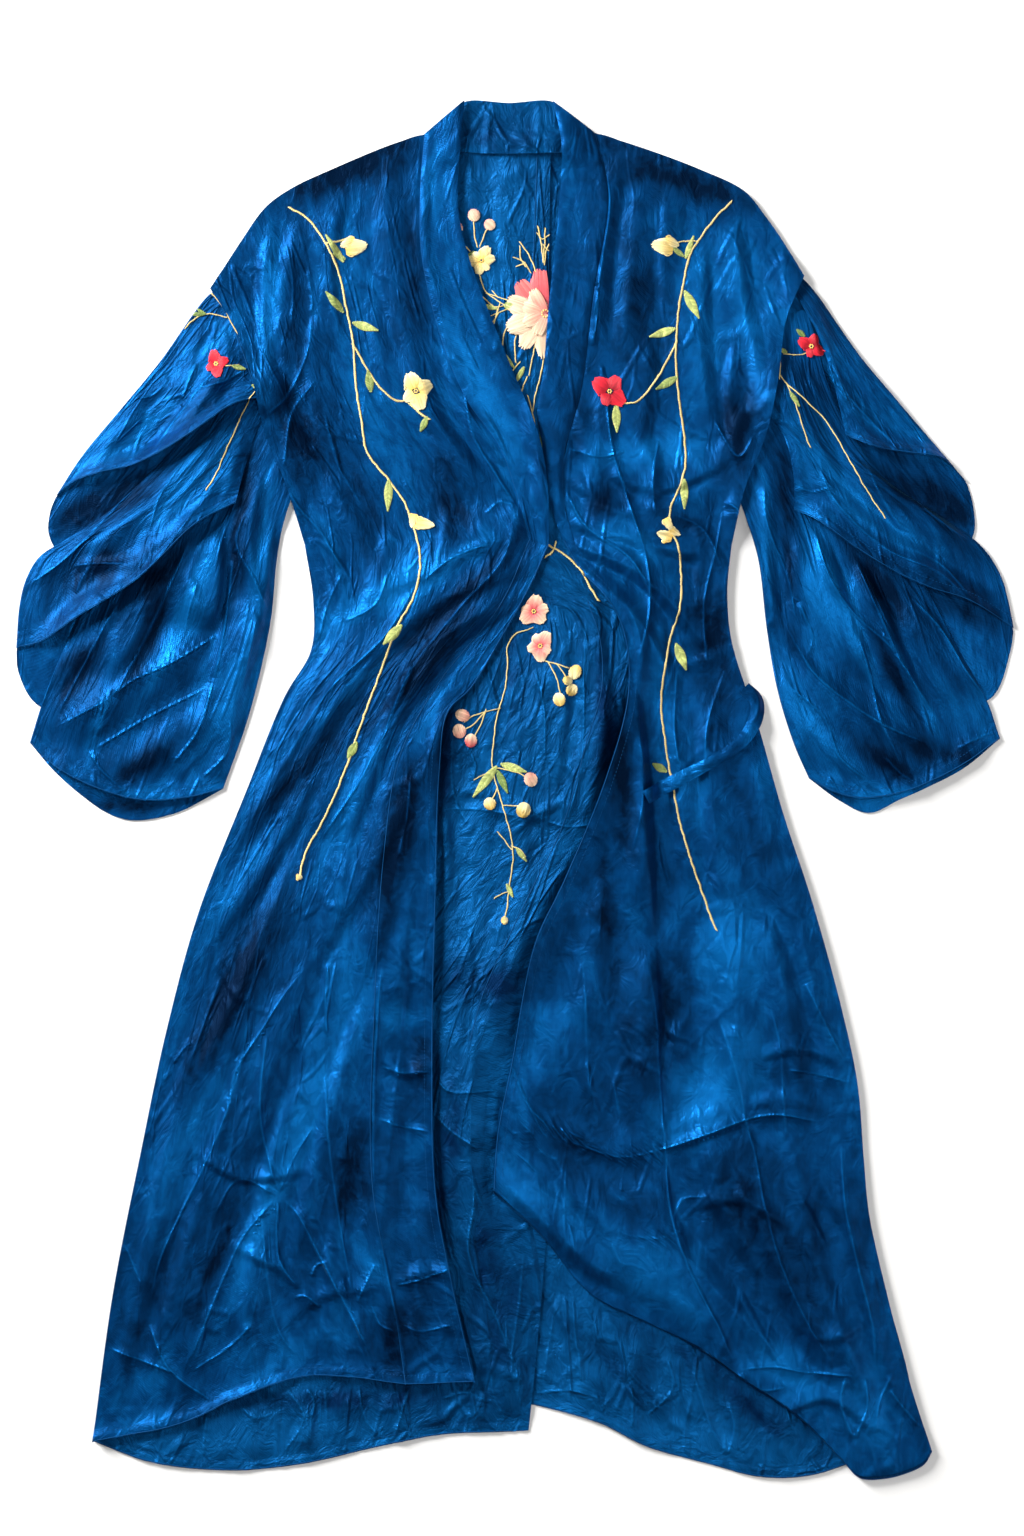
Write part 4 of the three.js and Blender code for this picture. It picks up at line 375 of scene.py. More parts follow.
# Pressed creases: 0 down or 1 across, how crisp, then places x, y along the crease
CREASES = {
    "front_left_cloth": (
        (0, 1, -194, -162, -221, -197, -240, -227, -266, -269, -273, -302, -296, -358, -315, -397, -338,
         -449, -350, -505), (0, 0.7, -252, -211, -263, -269, -275, -302),
        (0, 0.9, -235, -227, -242, -292, -239, -332, -225, -384),
        (0, 0.9, -225, -386, -257, -423, -276, -462, -309, -544),
        (0, 0.9, -225, -387, -225, -443, -207, -476),
        (0, 0.9, -224, -387, -207, -404, -185, -446, -162, -489, -139, -534),
        (1, 0.7, -225, -384, -207, -345, -191, -319), (1, 0.7, -225, -386, -263, -371, -286, -404),
        (0, 0.7, -178, -162, -180, -204, -178, -237),
        (0, 0.8, -181, -260, -178, -325, -171, -384, -162, -440, -152, -489),
        (0, 1, -126, -162, -132, -233, -135, -319, -134, -390),
        (0, 0.9, -127, -430, -119, -472, -109, -521, -104, -564),
        (1, 1, -114, -472, -90, -466, -57, -453), (1, 0.5, -127, -263, -109, -269, -80, -268),
        (1, 0.5, -131, -312, -109, -320, -82, -325), (1, 0.9, -211, -484, -198, -482, -185, -494),
        (1, 0.8, -194, -464, -189, -453, -178, -449), (0, 0.8, -350, -505, -329, -551, -286, -584),
        (1, 0.7, -387, -531, -361, -541, -319, -557), (1, 0.6, -247, -505, -273, -531, -309, -554),
        (0, 0.7, -132, -449, -145, -476, -152, -492),
        (0, 0.6, -240, -407, -234, -476, -225, -515, -207, -541),
        (0, 0.6, -371, -433, -363, -453, -355, -472), (1, 0.7, -135, -492, -129, -508, -116, -515),
        (1, 0.6, -109, -508, -90, -515, -57, -508), (0, 0.6, -279, -175, -293, -214, -309, -260),
        (1, 0.6, -325, -260, -312, -243, -306, -240),
        (0, 0.8, 2, 268, -11, 220, -54, 171, -96, 117, -123, 56, -148, 8, -193, -59),
        (0, 1, -90, 202, -123, 147, -178, 93, -211, 41),
        (0, 0.7, -217, 287, -205, 268, -184, 244, -163, 208),
        (0, 0.9, -96, 123, -111, 87, -123, 56, -132, 26), (1, 0.8, -23, 235, -60, 220, -90, 196),
        (0, 1, -48, 390, -41, 341, -17, 299, 1, 271), (0, 0.6, -181, 359, -169, 311, -144, 268),
        (0, 0.6, -120, 208, -132, 177, -163, 159), (0, 0.7, -163, 208, -178, 177, -187, 141),
        (0, 0.6, -54, 50, -58, -4, -66, -65), (1, 0.6, -29, 262, -14, 274, 1, 271),
        (0, 0.7, -99, 14, -102, -22, -111, -65), (0, 0.9, -193, 451, -198, 415, -220, 370, -240, 352),
        (0, 0.9, -189, 390, -211, 361, -220, 305), (0, 0.7, -218, 523, -211, 482, -213, 438),
        (0, 0.6, -198, 496, -193, 464, -195, 451),
    ),
    "front_right_cloth": (
        (1, 1, -20, -330, 16, -325, 45, -332, 68, -340, 98, -349, 143, -341, 183, -327, 219, -314, 248,
         -309, 294, -317),
        (0, 0.9, 127, -162, 135, -220, 137, -273, 143, -338, 148, -397, 163, -449, 179, -482, 196, -515,
         210, -552), (0, 0.7, 88, -256, 98, -302, 103, -348, 99, -410, 101, -476),
        (0, 0.6, 242, -204, 251, -240, 256, -305, 258, -332),
        (0, 0.7, 189, -204, 212, -276, 219, -312, 228, -345, 238, -397, 255, -456, 281, -512, 307, -554),
        (0, 0.7, 49, -348, 47, -410, 50, -449), (1, 0.9, -5, -256, 9, -292, 22, -312, 68, -332),
        (0, 0.9, 71, -433, 81, -466, 88, -495), (1, 0.8, 212, -551, 245, -549, 278, -554, 323, -557),
        (1, 0.6, 150, -410, 160, -390, 183, -387),
        (0, 0.8, 310, -332, 314, -397, 327, -456, 340, -512, 343, -554),
        (1, 0.6, 258, -266, 281, -269, 320, -279), (0, 0.9, 314, -557, 310, -584, 323, -619),
        (0, 0.8, 333, -557, 335, -587, 323, -619), (1, 0.8, 356, -570, 369, -587, 385, -606),
        (0, 0.7, 359, -554, 346, -587, 343, -613), (1, 0.6, 42, -355, 26, -345, 9, -358),
        (0, 0.8, 65, -162, 68, -227, 71, -299),
        (1, 0.8, 26, -449, 65, -476, 104, -505, 150, -531, 202, -551),
        (0, 0.6, 274, -181, 294, -220, 314, -260), (1, 0.6, 104, -423, 137, -426, 163, -417),
        (1, 0.6, 209, -554, 235, -570, 261, -567),
        (0, 1, 86, 390, 92, 329, 110, 268, 125, 220, 128, 171, 116, 117),
        (1, 0.9, 46, 290, 68, 250, 110, 220, 134, 177), (0, 0.8, 52, 335, 43, 299, 40, 262),
        (0, 0.8, 198, 268, 192, 232, 180, 177, 183, 117), (1, 0.8, 228, 338, 213, 317, 189, 353),
        (0, 0.7, 104, 153, 105, 117, 110, 96), (0, 0.7, 119, 56, 122, -4, 110, -65),
        (0, 0.6, 155, 123, 152, 56, 158, 14), (0, 0.7, 225, 244, 210, 268, 198, 274),
        (0, 0.6, 201, 117, 183, 62, 180, 14), (1, 0.6, 152, 262, 180, 247, 198, 208),
        (0, 0.8, 65, 56, 63, 8, 37, -41), (1, 0.6, 49, 326, 80, 317, 107, 323),
        (0, 0.6, 137, 335, 131, 290, 134, 259), (0, 0.8, 86, 593, 90, 556, 83, 505, 73, 437),
        (1, 0.6, 44, 454, 51, 456, 57, 461), (0, 0.7, 79, 479, 78, 454, 73, 420),
    ),
    "back_left_cloth": (
        (0, 1, -41, -286, -42, -325, -39, -390, -44, -443, -18, -502, 2, -557, 5, -597),
        (0, 0.8, -23, -345, -20, -371, -18, -410), (1, 0.9, -77, -273, -64, -286, -41, -287, -13, -286),
        (1, 0.8, -77, -309, -60, -325, -34, -341), (0, 0.8, 9, -436, 4, -489, -3, -548, 5, -587),
        (0, 0.9, -294, -595, -296, -613, -297, -633), (0, 0.8, -217, -570, -201, -597, -221, -633),
        (0, 0.7, -181, -569, -180, -593, -178, -619), (0, 0.8, -149, -566, -142, -600, -126, -619),
        (0, 0.8, -101, -567, -109, -597, -116, -619), (0, 0.7, -198, -569, -191, -584, -194, -600),
        (1, 0.6, -24, -554, -18, -584, -11, -597), (1, 0.6, -70, -580, -44, -574, -24, -584),
        (1, 0.5, -263, -587, -247, -597, -227, -593), (0, 0.9, 68, 165, 66, 117, 63, 26, 49, -35),
        (0, 0.9, 19, 117, 28, 74, 28, 26), (0, 0.6, 53, 153, 52, 141, 51, 129),
        (0, 0.7, 1, 105, -8, 68, -14, 41), (0, 0.7, -60, 56, -58, -4, -45, -35),
        (0, 0.8, 28, -10, 25, -35, 24, -65), (1, 0.6, -72, -18, -29, -19, 7, -26),
        (1, 0.6, 28, -29, 49, -35, 80, -32), (1, 0.7, -45, 41, -38, 23, -41, 8),
    ),
    "back_right_cloth": (
        (0, 0.8, 55, -482, 58, -521, 65, -570), (0, 0.9, 145, -538, 150, -570, 124, -597),
        (0, 0.8, 111, -567, 112, -590, 111, -610), (0, 0.8, 170, -554, 183, -597, 202, -636),
        (1, 0.8, 19, -575, 52, -572, 85, -580), (0, 0.7, 255, -577, 261, -597, 268, -616),
        (0, 0.6, 81, -531, 75, -508, 65, -492), (0, 0.7, 202, -580, 209, -606, 202, -636),
        (0, 0.6, 39, -489, 32, -531, 26, -570),
    ),
    "sleeve_left_tier_2_cloth": (
        (0, 1, -349, 304, -387, 261, -428, 220, -464, 194), (1, 0.8, -421, 213, -403, 215, -367, 215),
        (0, 0.7, -403, 215, -413, 199, -417, 187), (0, 0.7, -311, 317, -337, 278, -347, 245),
        (0, 0.7, -301, 268, -326, 235, -352, 205, -367, 192),
    ),
    "sleeve_left_tier_3_cloth": (
        (0, 1, -306, 245, -337, 174, -365, 118, -382, 90, -413, 72, -443, 57),
        (0, 0.8, -426, 149, -443, 103, -452, 77), (0, 0.9, -377, 179, -413, 113, -436, 70),
        (1, 1, -281, 149, -326, 121, -365, 103, -382, 88), (0, 0.9, -286, 105, -301, 57, -326, 24),
        (1, 0.8, -291, 98, -347, 70, -403, 37), (0, 1, -268, 222, -278, 144, -286, 105),
        (0, 0.9, -255, 266, -265, 235, -247, 199, -235, 169), (0, 0.7, -270, 67, -273, 37, -298, 11),
        (0, 0.7, -382, 90, -390, 72, -398, 52), (1, 0.7, -370, -2, -393, 19, -405, 37),
        (0, 0.7, -301, 199, -311, 164, -314, 149), (0, 0.6, -245, 164, -253, 126, -260, 93),
    ),
    "sleeve_left_tier_1_cloth": (
        (0, 1, -267, 413, -296, 388, -314, 364, -332, 341, -346, 319),
        (0, 0.7, -303, 406, -312, 384, -317, 370), (0, 0.8, -248, 406, -276, 388, -301, 381, -314, 366),
        (1, 0.6, -364, 373, -346, 375, -328, 393), (0, 0.6, -319, 433, -346, 393, -377, 357),
    ),
    "sleeve_right_tier_1_cloth": (
        (0, 0.9, 279, 406, 310, 381, 333, 357, 360, 330), (0, 0.7, 315, 438, 346, 393, 378, 355),
        (0, 0.7, 297, 406, 306, 384, 319, 366), (0, 0.8, 252, 438, 270, 406, 301, 388),
    ),
    "sleeve_right_tier_2_cloth": (
        (0, 0.8, 288, 327, 295, 291, 318, 258, 354, 228, 405, 205, 433, 179),
        (0, 1, 354, 311, 394, 263, 430, 238), (1, 0.7, 374, 230, 405, 215, 433, 184),
        (0, 0.8, 333, 311, 349, 276, 369, 245), (1, 0.6, 267, 289, 283, 283, 303, 289),
    ),
    "sleeve_right_tier_3_cloth": (
        (0, 1, 283, 256, 300, 200, 326, 164, 354, 139, 379, 103, 405, 62),
        (0, 0.9, 323, 222, 341, 179, 359, 139, 377, 103), (0, 1, 377, 184, 405, 154, 430, 113, 450, 85),
        (1, 0.9, 257, 159, 283, 113, 318, 83, 354, 60, 394, 44),
        (1, 0.8, 260, 100, 295, 67, 308, 32, 339, 6), (0, 0.7, 270, 179, 283, 141, 277, 128),
        (0, 0.9, 326, 149, 339, 103, 349, 62, 369, 24), (0, 0.8, 237, 291, 239, 258, 260, 200, 267, 159),
        (1, 0.7, 351, 32, 369, 14, 379, 9), (0, 0.7, 420, 39, 440, 49, 456, 55),
        (1, 0.6, 298, 200, 308, 189, 318, 189),
    ),
}

# Embroidery. Stems are rows of places; leaves run from base to tip: x, y, x, y, width, tone
STEMS = {
    "front_left": (
        ((-214, 554), (-200, 546), (-180, 520), (-168, 492), (-161, 461), (-154, 424), (-152, 390),
         (-146, 352), (-141, 322), (-121, 296), (-105, 273), (-96, 249), (-90, 217), (-96, 185),
         (-113, 152), (-128, 112), (-142, 74), (-165, 10), (-182, -28), (-200, -62), (-205, -84)),
        ((-154, 424), (-142, 403), (-127, 381), (-110, 370), (-94, 373)),
        ((-100, 367), (-89, 357), (-82, 352)), ((-180, 520), (-168, 522), (-157, 526)),
    ),
    "front_right": (
        ((206, 559), (191, 545), (175, 523), (166, 508), (160, 482), (155, 451), (153, 403), (157, 367),
         (161, 336), (162, 309), (155, 285), (148, 269), (148, 248), (155, 232), (158, 201), (156, 171),
         (148, 144), (141, 107), (139, 81), (142, 53), (146, 26), (151, -1), (156, -28), (164, -56),
         (176, -91), (191, -133)), ((154, 427), (144, 407), (129, 383), (115, 369), (98, 368)),
        ((98, 368), (97, 357), (94, 348)), ((173, 522), (162, 522), (152, 520)),
    ),
    "sleeve_left": (
        ((-291, 476), (-278, 460), (-269, 443), (-260, 428), (-253, 411), (-248, 391)),
        ((-274, 450), (-294, 453), (-307, 447), (-314, 439)),
        ((-247, 378), (-256, 364), (-265, 343), (-274, 323), (-285, 298), (-293, 285)),
        ((-284, 405), (-273, 403), (-263, 404)),
    ),
    "sleeve_right": (
        ((271, 485), (259, 463), (253, 433), (252, 407), (251, 391)),
        ((239, 413), (250, 397), (258, 386), (276, 370), (293, 354), (311, 326), (332, 288), (352, 258)),
        ((258, 386), (268, 361), (274, 342), (280, 325)), ((283, 418), (271, 414), (256, 415)),
    ),
    "neck": (
        ((-33, 489), (-28, 475), (-14, 464), (-1, 457)), ((-33, 472), (-24, 463), (-16, 457)),
        ((-14, 464), (-20, 446), (-25, 429)), ((-3, 450), (-10, 435), (-13, 418)),
        ((5, 445), (0, 426), (1, 407)), ((22, 437), (18, 418), (13, 395)),
        ((28, 418), (25, 397), (20, 378), (17, 361)), ((-1, 507), (9, 502), (15, 492)),
        ((11, 513), (17, 502), (20, 490)), ((5, 517), (5, 507), (10, 498)),
        ((22, 536), (25, 519), (27, 502)), ((35, 525), (30, 513), (28, 500)),
        ((29, 534), (28, 517), (27, 502)), ((-55, 534), (-50, 522), (-43, 513)),
        ((-39, 543), (-39, 530), (-36, 517)), ((-25, 536), (-30, 526), (-33, 517)),
        ((12, 375), (18, 353), (22, 332)), ((-6, 466), (-16, 469), (-27, 473)),
        ((-6, 462), (-16, 460), (-28, 462)), ((-6, 458), (-16, 454), (-26, 450)),
        ((-16, 469), (-21, 475)), ((-16, 454), (-21, 446)), ((5, 407), (-4, 397), (-15, 388)),
        ((-4, 397), (-10, 384)), ((11, 513), (5, 521)), ((21, 530), (26, 524), (32, 528)),
        ((27, 519), (34, 511)), ((9, 502), (1, 498)), ((12, 393), (7, 382), (4, 369)),
        ((7, 382), (-1, 374)),
    ),
    "centre": (
        ((17, 154), (0, 148), (-7, 138), (-7, 119), (-10, 95), (-17, 71), (-20, 48), (-22, 25), (-17, 2),
         (-10, -21), (-4, -42), (-2, -65), (-5, -90), (-8, -113), (-10, -123)),
        ((-14, 78), (-29, 74), (-41, 70), (-48, 65)), ((-29, 74), (-39, 63), (-52, 55)),
        ((-28, 76), (-33, 61), (-41, 48)), ((24, 124), (39, 120), (51, 116)),
        ((31, 122), (39, 108), (43, 91)), ((39, 120), (48, 108), (54, 95)),
        ((-17, 21), (1, 17), (13, 11)), ((-17, 2), (-20, -6), (-24, -13)),
        ((-11, -15), (-1, -15), (8, -15)), ((-22, 17), (-29, 15), (-39, 10)),
        ((-3, -53), (5, -57), (10, -63)), ((-3, -57), (-10, -48), (-16, -40)),
        ((-7, -97), (-13, -99), (-19, -103)),
    ),
    "crossing": (
        ((32, 233), (46, 225), (64, 207), (71, 194), (79, 180)), ((39, 236), (35, 226), (29, 222)),
    ),
}
LEAVES = {
    "front_left": (
        (-163, 502, -180, 528, 5.6, 0), (-161, 505, -173, 510, 4.4, 1), (-163, 454, -180, 474, 6.9, 1),
        (-155, 445, -130, 437, 7.5, 0), (-137, 378, -140, 400, 7.5, 1), (-120, 296, -121, 265, 7.5, 0),
        (-107, 157, -125, 138, 8.8, 0), (-150, 46, -159, 30, 7.5, 1), (-83, 355, -90, 341, 5.6, 1),
    ),
    "front_right": (
        (162, 505, 170, 527, 5.0, 0), (161, 507, 148, 517, 4.4, 1), (161, 475, 175, 448, 8.2, 0),
        (153, 439, 128, 431, 7.5, 0), (155, 393, 134, 381, 6.9, 1), (161, 296, 161, 267, 6.9, 0),
        (153, 140, 163, 114, 8.8, 0), (145, 17, 131, 25, 6.9, 1), (96, 367, 97, 340, 7.5, 0),
    ),
    "sleeve_left": (
        (-294, 453, -312, 456, 6.9, 2), (-269, 403, -256, 400, 3.8, 1), (-250, 385, -237, 376, 3.1, 1),
    ),
    "sleeve_right": (
        (276, 431, 268, 438, 4.4, 2), (259, 416, 252, 419, 3.8, 1), (261, 378, 270, 364, 3.8, 1),
    ),
    "neck": (
        (-17, 458, -33, 462, 3.8, 0), (-14, 418, 0, 401, 3.8, 0), (-39, 513, -51, 499, 5.0, 2),
        (9, 403, 0, 387, 3.8, 0), (22, 336, 30, 324, 5.0, 2),
    ),
    "centre": (
        (-17, 23, -40, -7, 8.2, 0), (-14, 25, 11, 17, 7.5, 0), (-17, 19, -7, -3, 6.3, 2),
        (1, -55, 11, -68, 3.8, 0), (-8, -89, -2, -102, 3.8, 0), (28, 332, 24, 342, 3.8, 2),
    ),
}
BUDS = {
    "front_left": (
        (-151, 517, 20.9, 17.1, -10, 0), (-159, 520, 15.2, 11.4, 160, 0), (-86, 253, 19.0, 12.3, 10, 0),
        (-97, 256, 13.3, 8.5, 100, 0), (-205, -83, 5.7, 5.7, 0, 0),
    ),
    "front_right": (
        (140, 517, 20.9, 17.1, 190, 0), (149, 520, 14.2, 11.4, 20, 0), (142, 242, 15.2, 10.4, 200, 0),
        (146, 252, 13.3, 8.5, 60, 0), (152, 245, 11.4, 7.6, 30, 0), (142, 239, 8.5, 6.6, 250, 0),
    ),
    "neck": (
        (-55, 535, 11.4, 9.5, 90, 1), (-39, 547, 12.3, 10.4, 60, 1), (-24, 538, 11.4, 9.5, 40, 1),
        (-4, 461, 9.5, 11.4, 90, 3),
    ),
    "centre": (
        (-50, 71, 14.2, 10.4, 200, 1), (-53, 56, 14.2, 11.4, 250, 1), (-42, 47, 13.3, 10.4, 280, 2),
        (57, 112, 15.2, 10.4, 120, 0), (54, 95, 12.3, 9.5, 310, 0), (42, 86, 13.3, 10.4, 250, 0),
        (50, 104, 9.5, 7.6, 20, 0), (-24, -13, 12.3, 10.4, 250, 0), (8, -19, 15.2, 12.3, 290, 0),
        (15, 10, 14.2, 11.4, 60, 1), (-10, -124, 6.6, 6.6, 0, 0),
    ),
}
FLOWERS = {
    "front_left": (
        (-94, 379, 4, 18.1, 17.1, 28, 0),
    ),
    "front_right": (
        (90, 379, 4, 18.1, 17.1, 60, 4),
    ),
    "sleeve_left": (
        (-284, 405, 4, 13.3, 11.4, 20, 4),
    ),
    "sleeve_right": (
        (282, 422, 4, 13.3, 11.4, 70, 4),
    ),
    "neck": (
        (-32, 504, 6, 14.2, 12.3, 10, 0),
    ),
    "centre": (
        (18, 170, 5, 15.2, 16.1, 15, 2), (24, 137, 5, 14.2, 14.2, 50, 2),
    ),
}
# The large blossom inside the neck: x, y, angle, length, width, height, base, first and last tone
BLOSSOM = (
    (28, 452, 94, 46, 34, 2.6, 0.0, 0.0, 0.12), (28, 452, 128, 42, 32, 2.6, 0.0, 0.0, 0.2),
    (28, 452, 62, 40, 30, 2.6, 0.0, 0.0, 0.12), (28, 452, 236, 40, 28, 2.6, 0.0, 0.75, 1.0),
    (28, 452, 270, 43, 26, 2.6, 0.0, 0.7, 1.0), (28, 452, 305, 36, 26, 2.6, 0.0, 0.6, 1.0),
    (28, 452, 160, 40, 30, 2.8, 0.3, 0.4, 0.95), (28, 452, 200, 40, 30, 2.8, 0.5, 0.75, 1.0),
    (29, 453, 118, 27, 24, 2.2, 2.6, 0.15, 0.85), (29, 453, 160, 24, 22, 2.2, 2.7, 0.35, 0.95),
    (29, 453, 205, 24, 22, 2.2, 2.8, 0.3, 1.0), (29, 453, 248, 23, 20, 2.2, 2.8, 0.4, 1.0),
    (29, 453, 290, 18, 16, 2.2, 2.8, 0.35, 0.9), (29, 453, 20, 18, 16, 2.2, 2.6, 0.1, 0.6),
)


# Curves and grids

def curve_points(table, shares, steps=200):
    """Points at shares of the length of a smooth curve through a table's rows."""
    rows = np.array([row[:2] for row in table], float)
    ends = [2 * rows[0] - rows[1], 2 * rows[-1] - rows[-2]]
    rows = np.vstack([ends[:1], rows, ends[1:]])
    spans = np.maximum(np.linalg.norm(np.diff(rows, axis=0), axis=1) ** 0.5, 1e-4)
    per_span = max(2, steps // (len(rows) - 3))
    t = np.linspace(0, 1, per_span, endpoint=False)[:, None]
    pieces = []
    for k in range(1, len(rows) - 2):
        a, b, c, d = rows[k - 1:k + 3]
        da, db, dc = spans[k - 1:k + 2]
        start = ((b - a) / da - (c - a) / (da + db) + (c - b) / db) * db
        end = ((c - b) / db - (d - b) / (db + dc) + (d - c) / dc) * db
        cubic = 2 * b - 2 * c + start + end
        square = -3 * b + 3 * c - 2 * start - end
        pieces.append(b + start * t + square * t ** 2 + cubic * t ** 3)
    line = np.vstack(pieces + [rows[-2:-1]])
    along = np.concatenate([[0], np.cumsum(np.linalg.norm(np.diff(line, axis=0), axis=1))])
    wanted = np.asarray(shares) * along[-1]
    return np.column_stack([np.interp(wanted, along, line[:, k]) for k in (0, 1)])


def length_of(table):
    points = curve_points(table, np.linspace(0, 1, 60))
    return float(np.linalg.norm(np.diff(points, axis=0), axis=1).sum())


def joined(first, second):
    return tuple(first) + tuple(second[1:])


def backwards(table):
    return tuple(reversed(table))


def even(count):
    return np.linspace(0, 1, count + 1)


HEM_STRIP, HEM_ROWS = 12.0, 6


def to_hem(count, length):
    """Even shares of a length, with closer rows over the sewn strip at its end."""
    last = HEM_STRIP / length
    return np.concatenate([even(count - 2) * (1 - last), 1 - last + last * even(HEM_ROWS)[1:]])


def stretch(top, bottom, left, right, across, down):
    """A grid between four edges that meet at the corners: rows go down, columns go left to right."""
    u = np.asarray(across)[None, :, None]
    v = np.asarray(down)[:, None, None]
    upper, lower = curve_points(top, across)[None], curve_points(bottom, across)[None]
    start, end = curve_points(left, down)[:, None], curve_points(right, down)[:, None]
    corner = [np.array(point[:2], float) for point in (top[0], top[-1], bottom[0], bottom[-1])]
    chords = (1 - v) * ((1 - u) * corner[0] + u * corner[1]) + v * ((1 - u) * corner[2] + u * corner[3])
    return (1 - v) * upper + v * lower + (1 - u) * start + u * end - chords


def below(upper, lower):
    return np.concatenate([upper, lower[1:]], axis=0)


def beside(left, right):
    return np.concatenate([left, right[:, 1:]], axis=1)


def smooth_step(value, low, high):
    t = np.clip((value - low) / (high - low), 0, 1)
    return t * t * (3 - 2 * t)


# The pile of laid cloth

CELL = 2.0
HALF_WIDTH, HALF_LENGTH = 520.0, 720.0
COLUMNS, ROWS = int(2 * HALF_WIDTH / CELL), int(2 * HALF_LENGTH / CELL)


def widest(field, reach):
    """Each cell takes the highest value within a square reach."""
    for axis in (0, 1):
        out = field.copy()
        for step in range(1, reach + 1):
            out = np.maximum(out, np.roll(field, step, axis))
            out = np.maximum(out, np.roll(field, -step, axis))
        field = out
    return field


def blurred(field, reach, passes=2):
    """A field smoothed by running means of this reach."""
    width = 2 * reach + 1
    for _ in range(passes):
        for axis in (0, 1):
            field = sum(np.roll(field, step, axis) for step in range(-reach, reach + 1)) / width
    return field


def sampled(field, x, y):
    """A field's value between its cells."""
    column = np.clip((x + HALF_WIDTH) / CELL - 0.5, 0, COLUMNS - 1.001)
    row = np.clip((y + HALF_LENGTH) / CELL - 0.5, 0, ROWS - 1.001)
    i, j = column.astype(int), row.astype(int)
    s, t = column - i, row - j
    low = field[j, i] * (1 - s) + field[j, i + 1] * s
    high = field[j + 1, i] * (1 - s) + field[j + 1, i + 1] * s
    return low * (1 - t) + high * t


def finer(grid, factor):
    """A grid's values with more between them."""
    for axis in (0, 1):
        count = grid.shape[axis]
        place = np.linspace(0, count - 1, (count - 1) * factor + 1)
        low = np.minimum(place.astype(int), count - 2)
        part = (place - low).reshape([-1 if k == axis else 1 for k in range(grid.ndim)])
        grid = np.take(grid, low, axis) * (1 - part) + np.take(grid, low + 1, axis) * part
    return grid


class Pile:
    """How high the laid cloth reaches over the surface, in square cells."""

    def __init__(self):
        self.height = np.zeros((ROWS, COLUMNS))

    def top(self, x, y, reach=5):
        """The height that a sheet laid at these points rests on, eased over the steps below it."""
        eased = blurred(widest(self.height, reach), max(1, reach // 2), 2)
        return sampled(eased, x, y)

    def add(self, points):
        dense = finer(points, 3)
        column = ((dense[..., 0] + HALF_WIDTH) / CELL).astype(int).ravel()
        row = ((dense[..., 1] + HALF_LENGTH) / CELL).astype(int).ravel()
        np.maximum.at(self.height, (row, column), dense[..., 2].ravel())


def within(outline, x, y):
    """Whether points lie inside a closed outline."""
    inside = np.zeros(x.shape, bool)
    rows = np.asarray(outline, float)
    for (ax, ay), (bx, by) in zip(rows, np.roll(rows, -1, axis=0)):
        crosses = (ay > y) != (by > y)
        with np.errstate(divide="ignore", invalid="ignore"):
            at = (bx - ax) * (y - ay) / (by - ay) + ax
        inside ^= crosses & (x < at)
    return inside


def cover_of(outlines):
    """A field that is 1 under these outlines and 0 outside them, with soft edges."""
    x = (np.arange(COLUMNS) + 0.5) * CELL - HALF_WIDTH
    y = (np.arange(ROWS) + 0.5) * CELL - HALF_LENGTH
    x, y = np.meshgrid(x, y)
    hidden = np.zeros(x.shape, bool)
    for outline in outlines:
        hidden |= within(outline, x, y)
    return blurred(hidden.astype(float), 3, 2)


# Folds and crumples: how far the noise runs before it repeats and how much its facets bend; how far a
# pressed crease reaches, how finely it is measured and how soon it fades; and the widest narrow fold
NOISE_TILE, FACET_WARP = 97, 0.4
CREASE_REACH, CREASE_STEPS, CREASE_FALL = 12.0, 60, 4.5
NARROW_FOLD = 9


def soft_noise(x, y, seed):
    """Smooth noise from about -1 to 1, its bumps about one unit apart."""
    rng = np.random.default_rng(seed)
    angle = rng.uniform(0, 2 * math.pi, (NOISE_TILE, NOISE_TILE))
    i, j = np.floor(x).astype(int), np.floor(y).astype(int)
    s, t = x - i, y - j

    def corner(di, dj):
        turn = angle[(j + dj) % NOISE_TILE, (i + di) % NOISE_TILE]
        return np.cos(turn) * (s - di) + np.sin(turn) * (t - dj)

    fs, ft = (c ** 3 * (c * (c * 6 - 15) + 10) for c in (s, t))
    low = corner(0, 0) * (1 - fs) + corner(1, 0) * fs
    high = corner(0, 1) * (1 - fs) + corner(1, 1) * fs
    return (low * (1 - ft) + high * ft) * 1.5


def facet_noise(x, y, seed):
    """Flat facets from -1 to 1 with straight creases between them, as crumpled cloth has."""
    height = np.random.default_rng(seed).uniform(-1, 1, (NOISE_TILE, NOISE_TILE))
    wx = x + FACET_WARP * soft_noise(x * 0.6, y * 0.6, seed + 50)
    wy = y + FACET_WARP * soft_noise(x * 0.6 + 9, y * 0.6, seed + 51)
    u, v = wx - 0.577 * wy, 1.155 * wy
    i, j = np.floor(u).astype(int), np.floor(v).astype(int)
    s, t = u - i, v - j

    def corner(di, dj):
        return height[(j + dj) % NOISE_TILE, (i + di) % NOISE_TILE]

    near = corner(0, 0) + (corner(1, 0) - corner(0, 0)) * s + (corner(0, 1) - corner(0, 0)) * t
    far = corner(1, 1) + (corner(0, 1) - corner(1, 1)) * (1 - s) + (corner(1, 0) - corner(1, 1)) * (1 - t)
    return np.where(s + t < 1, near, far)


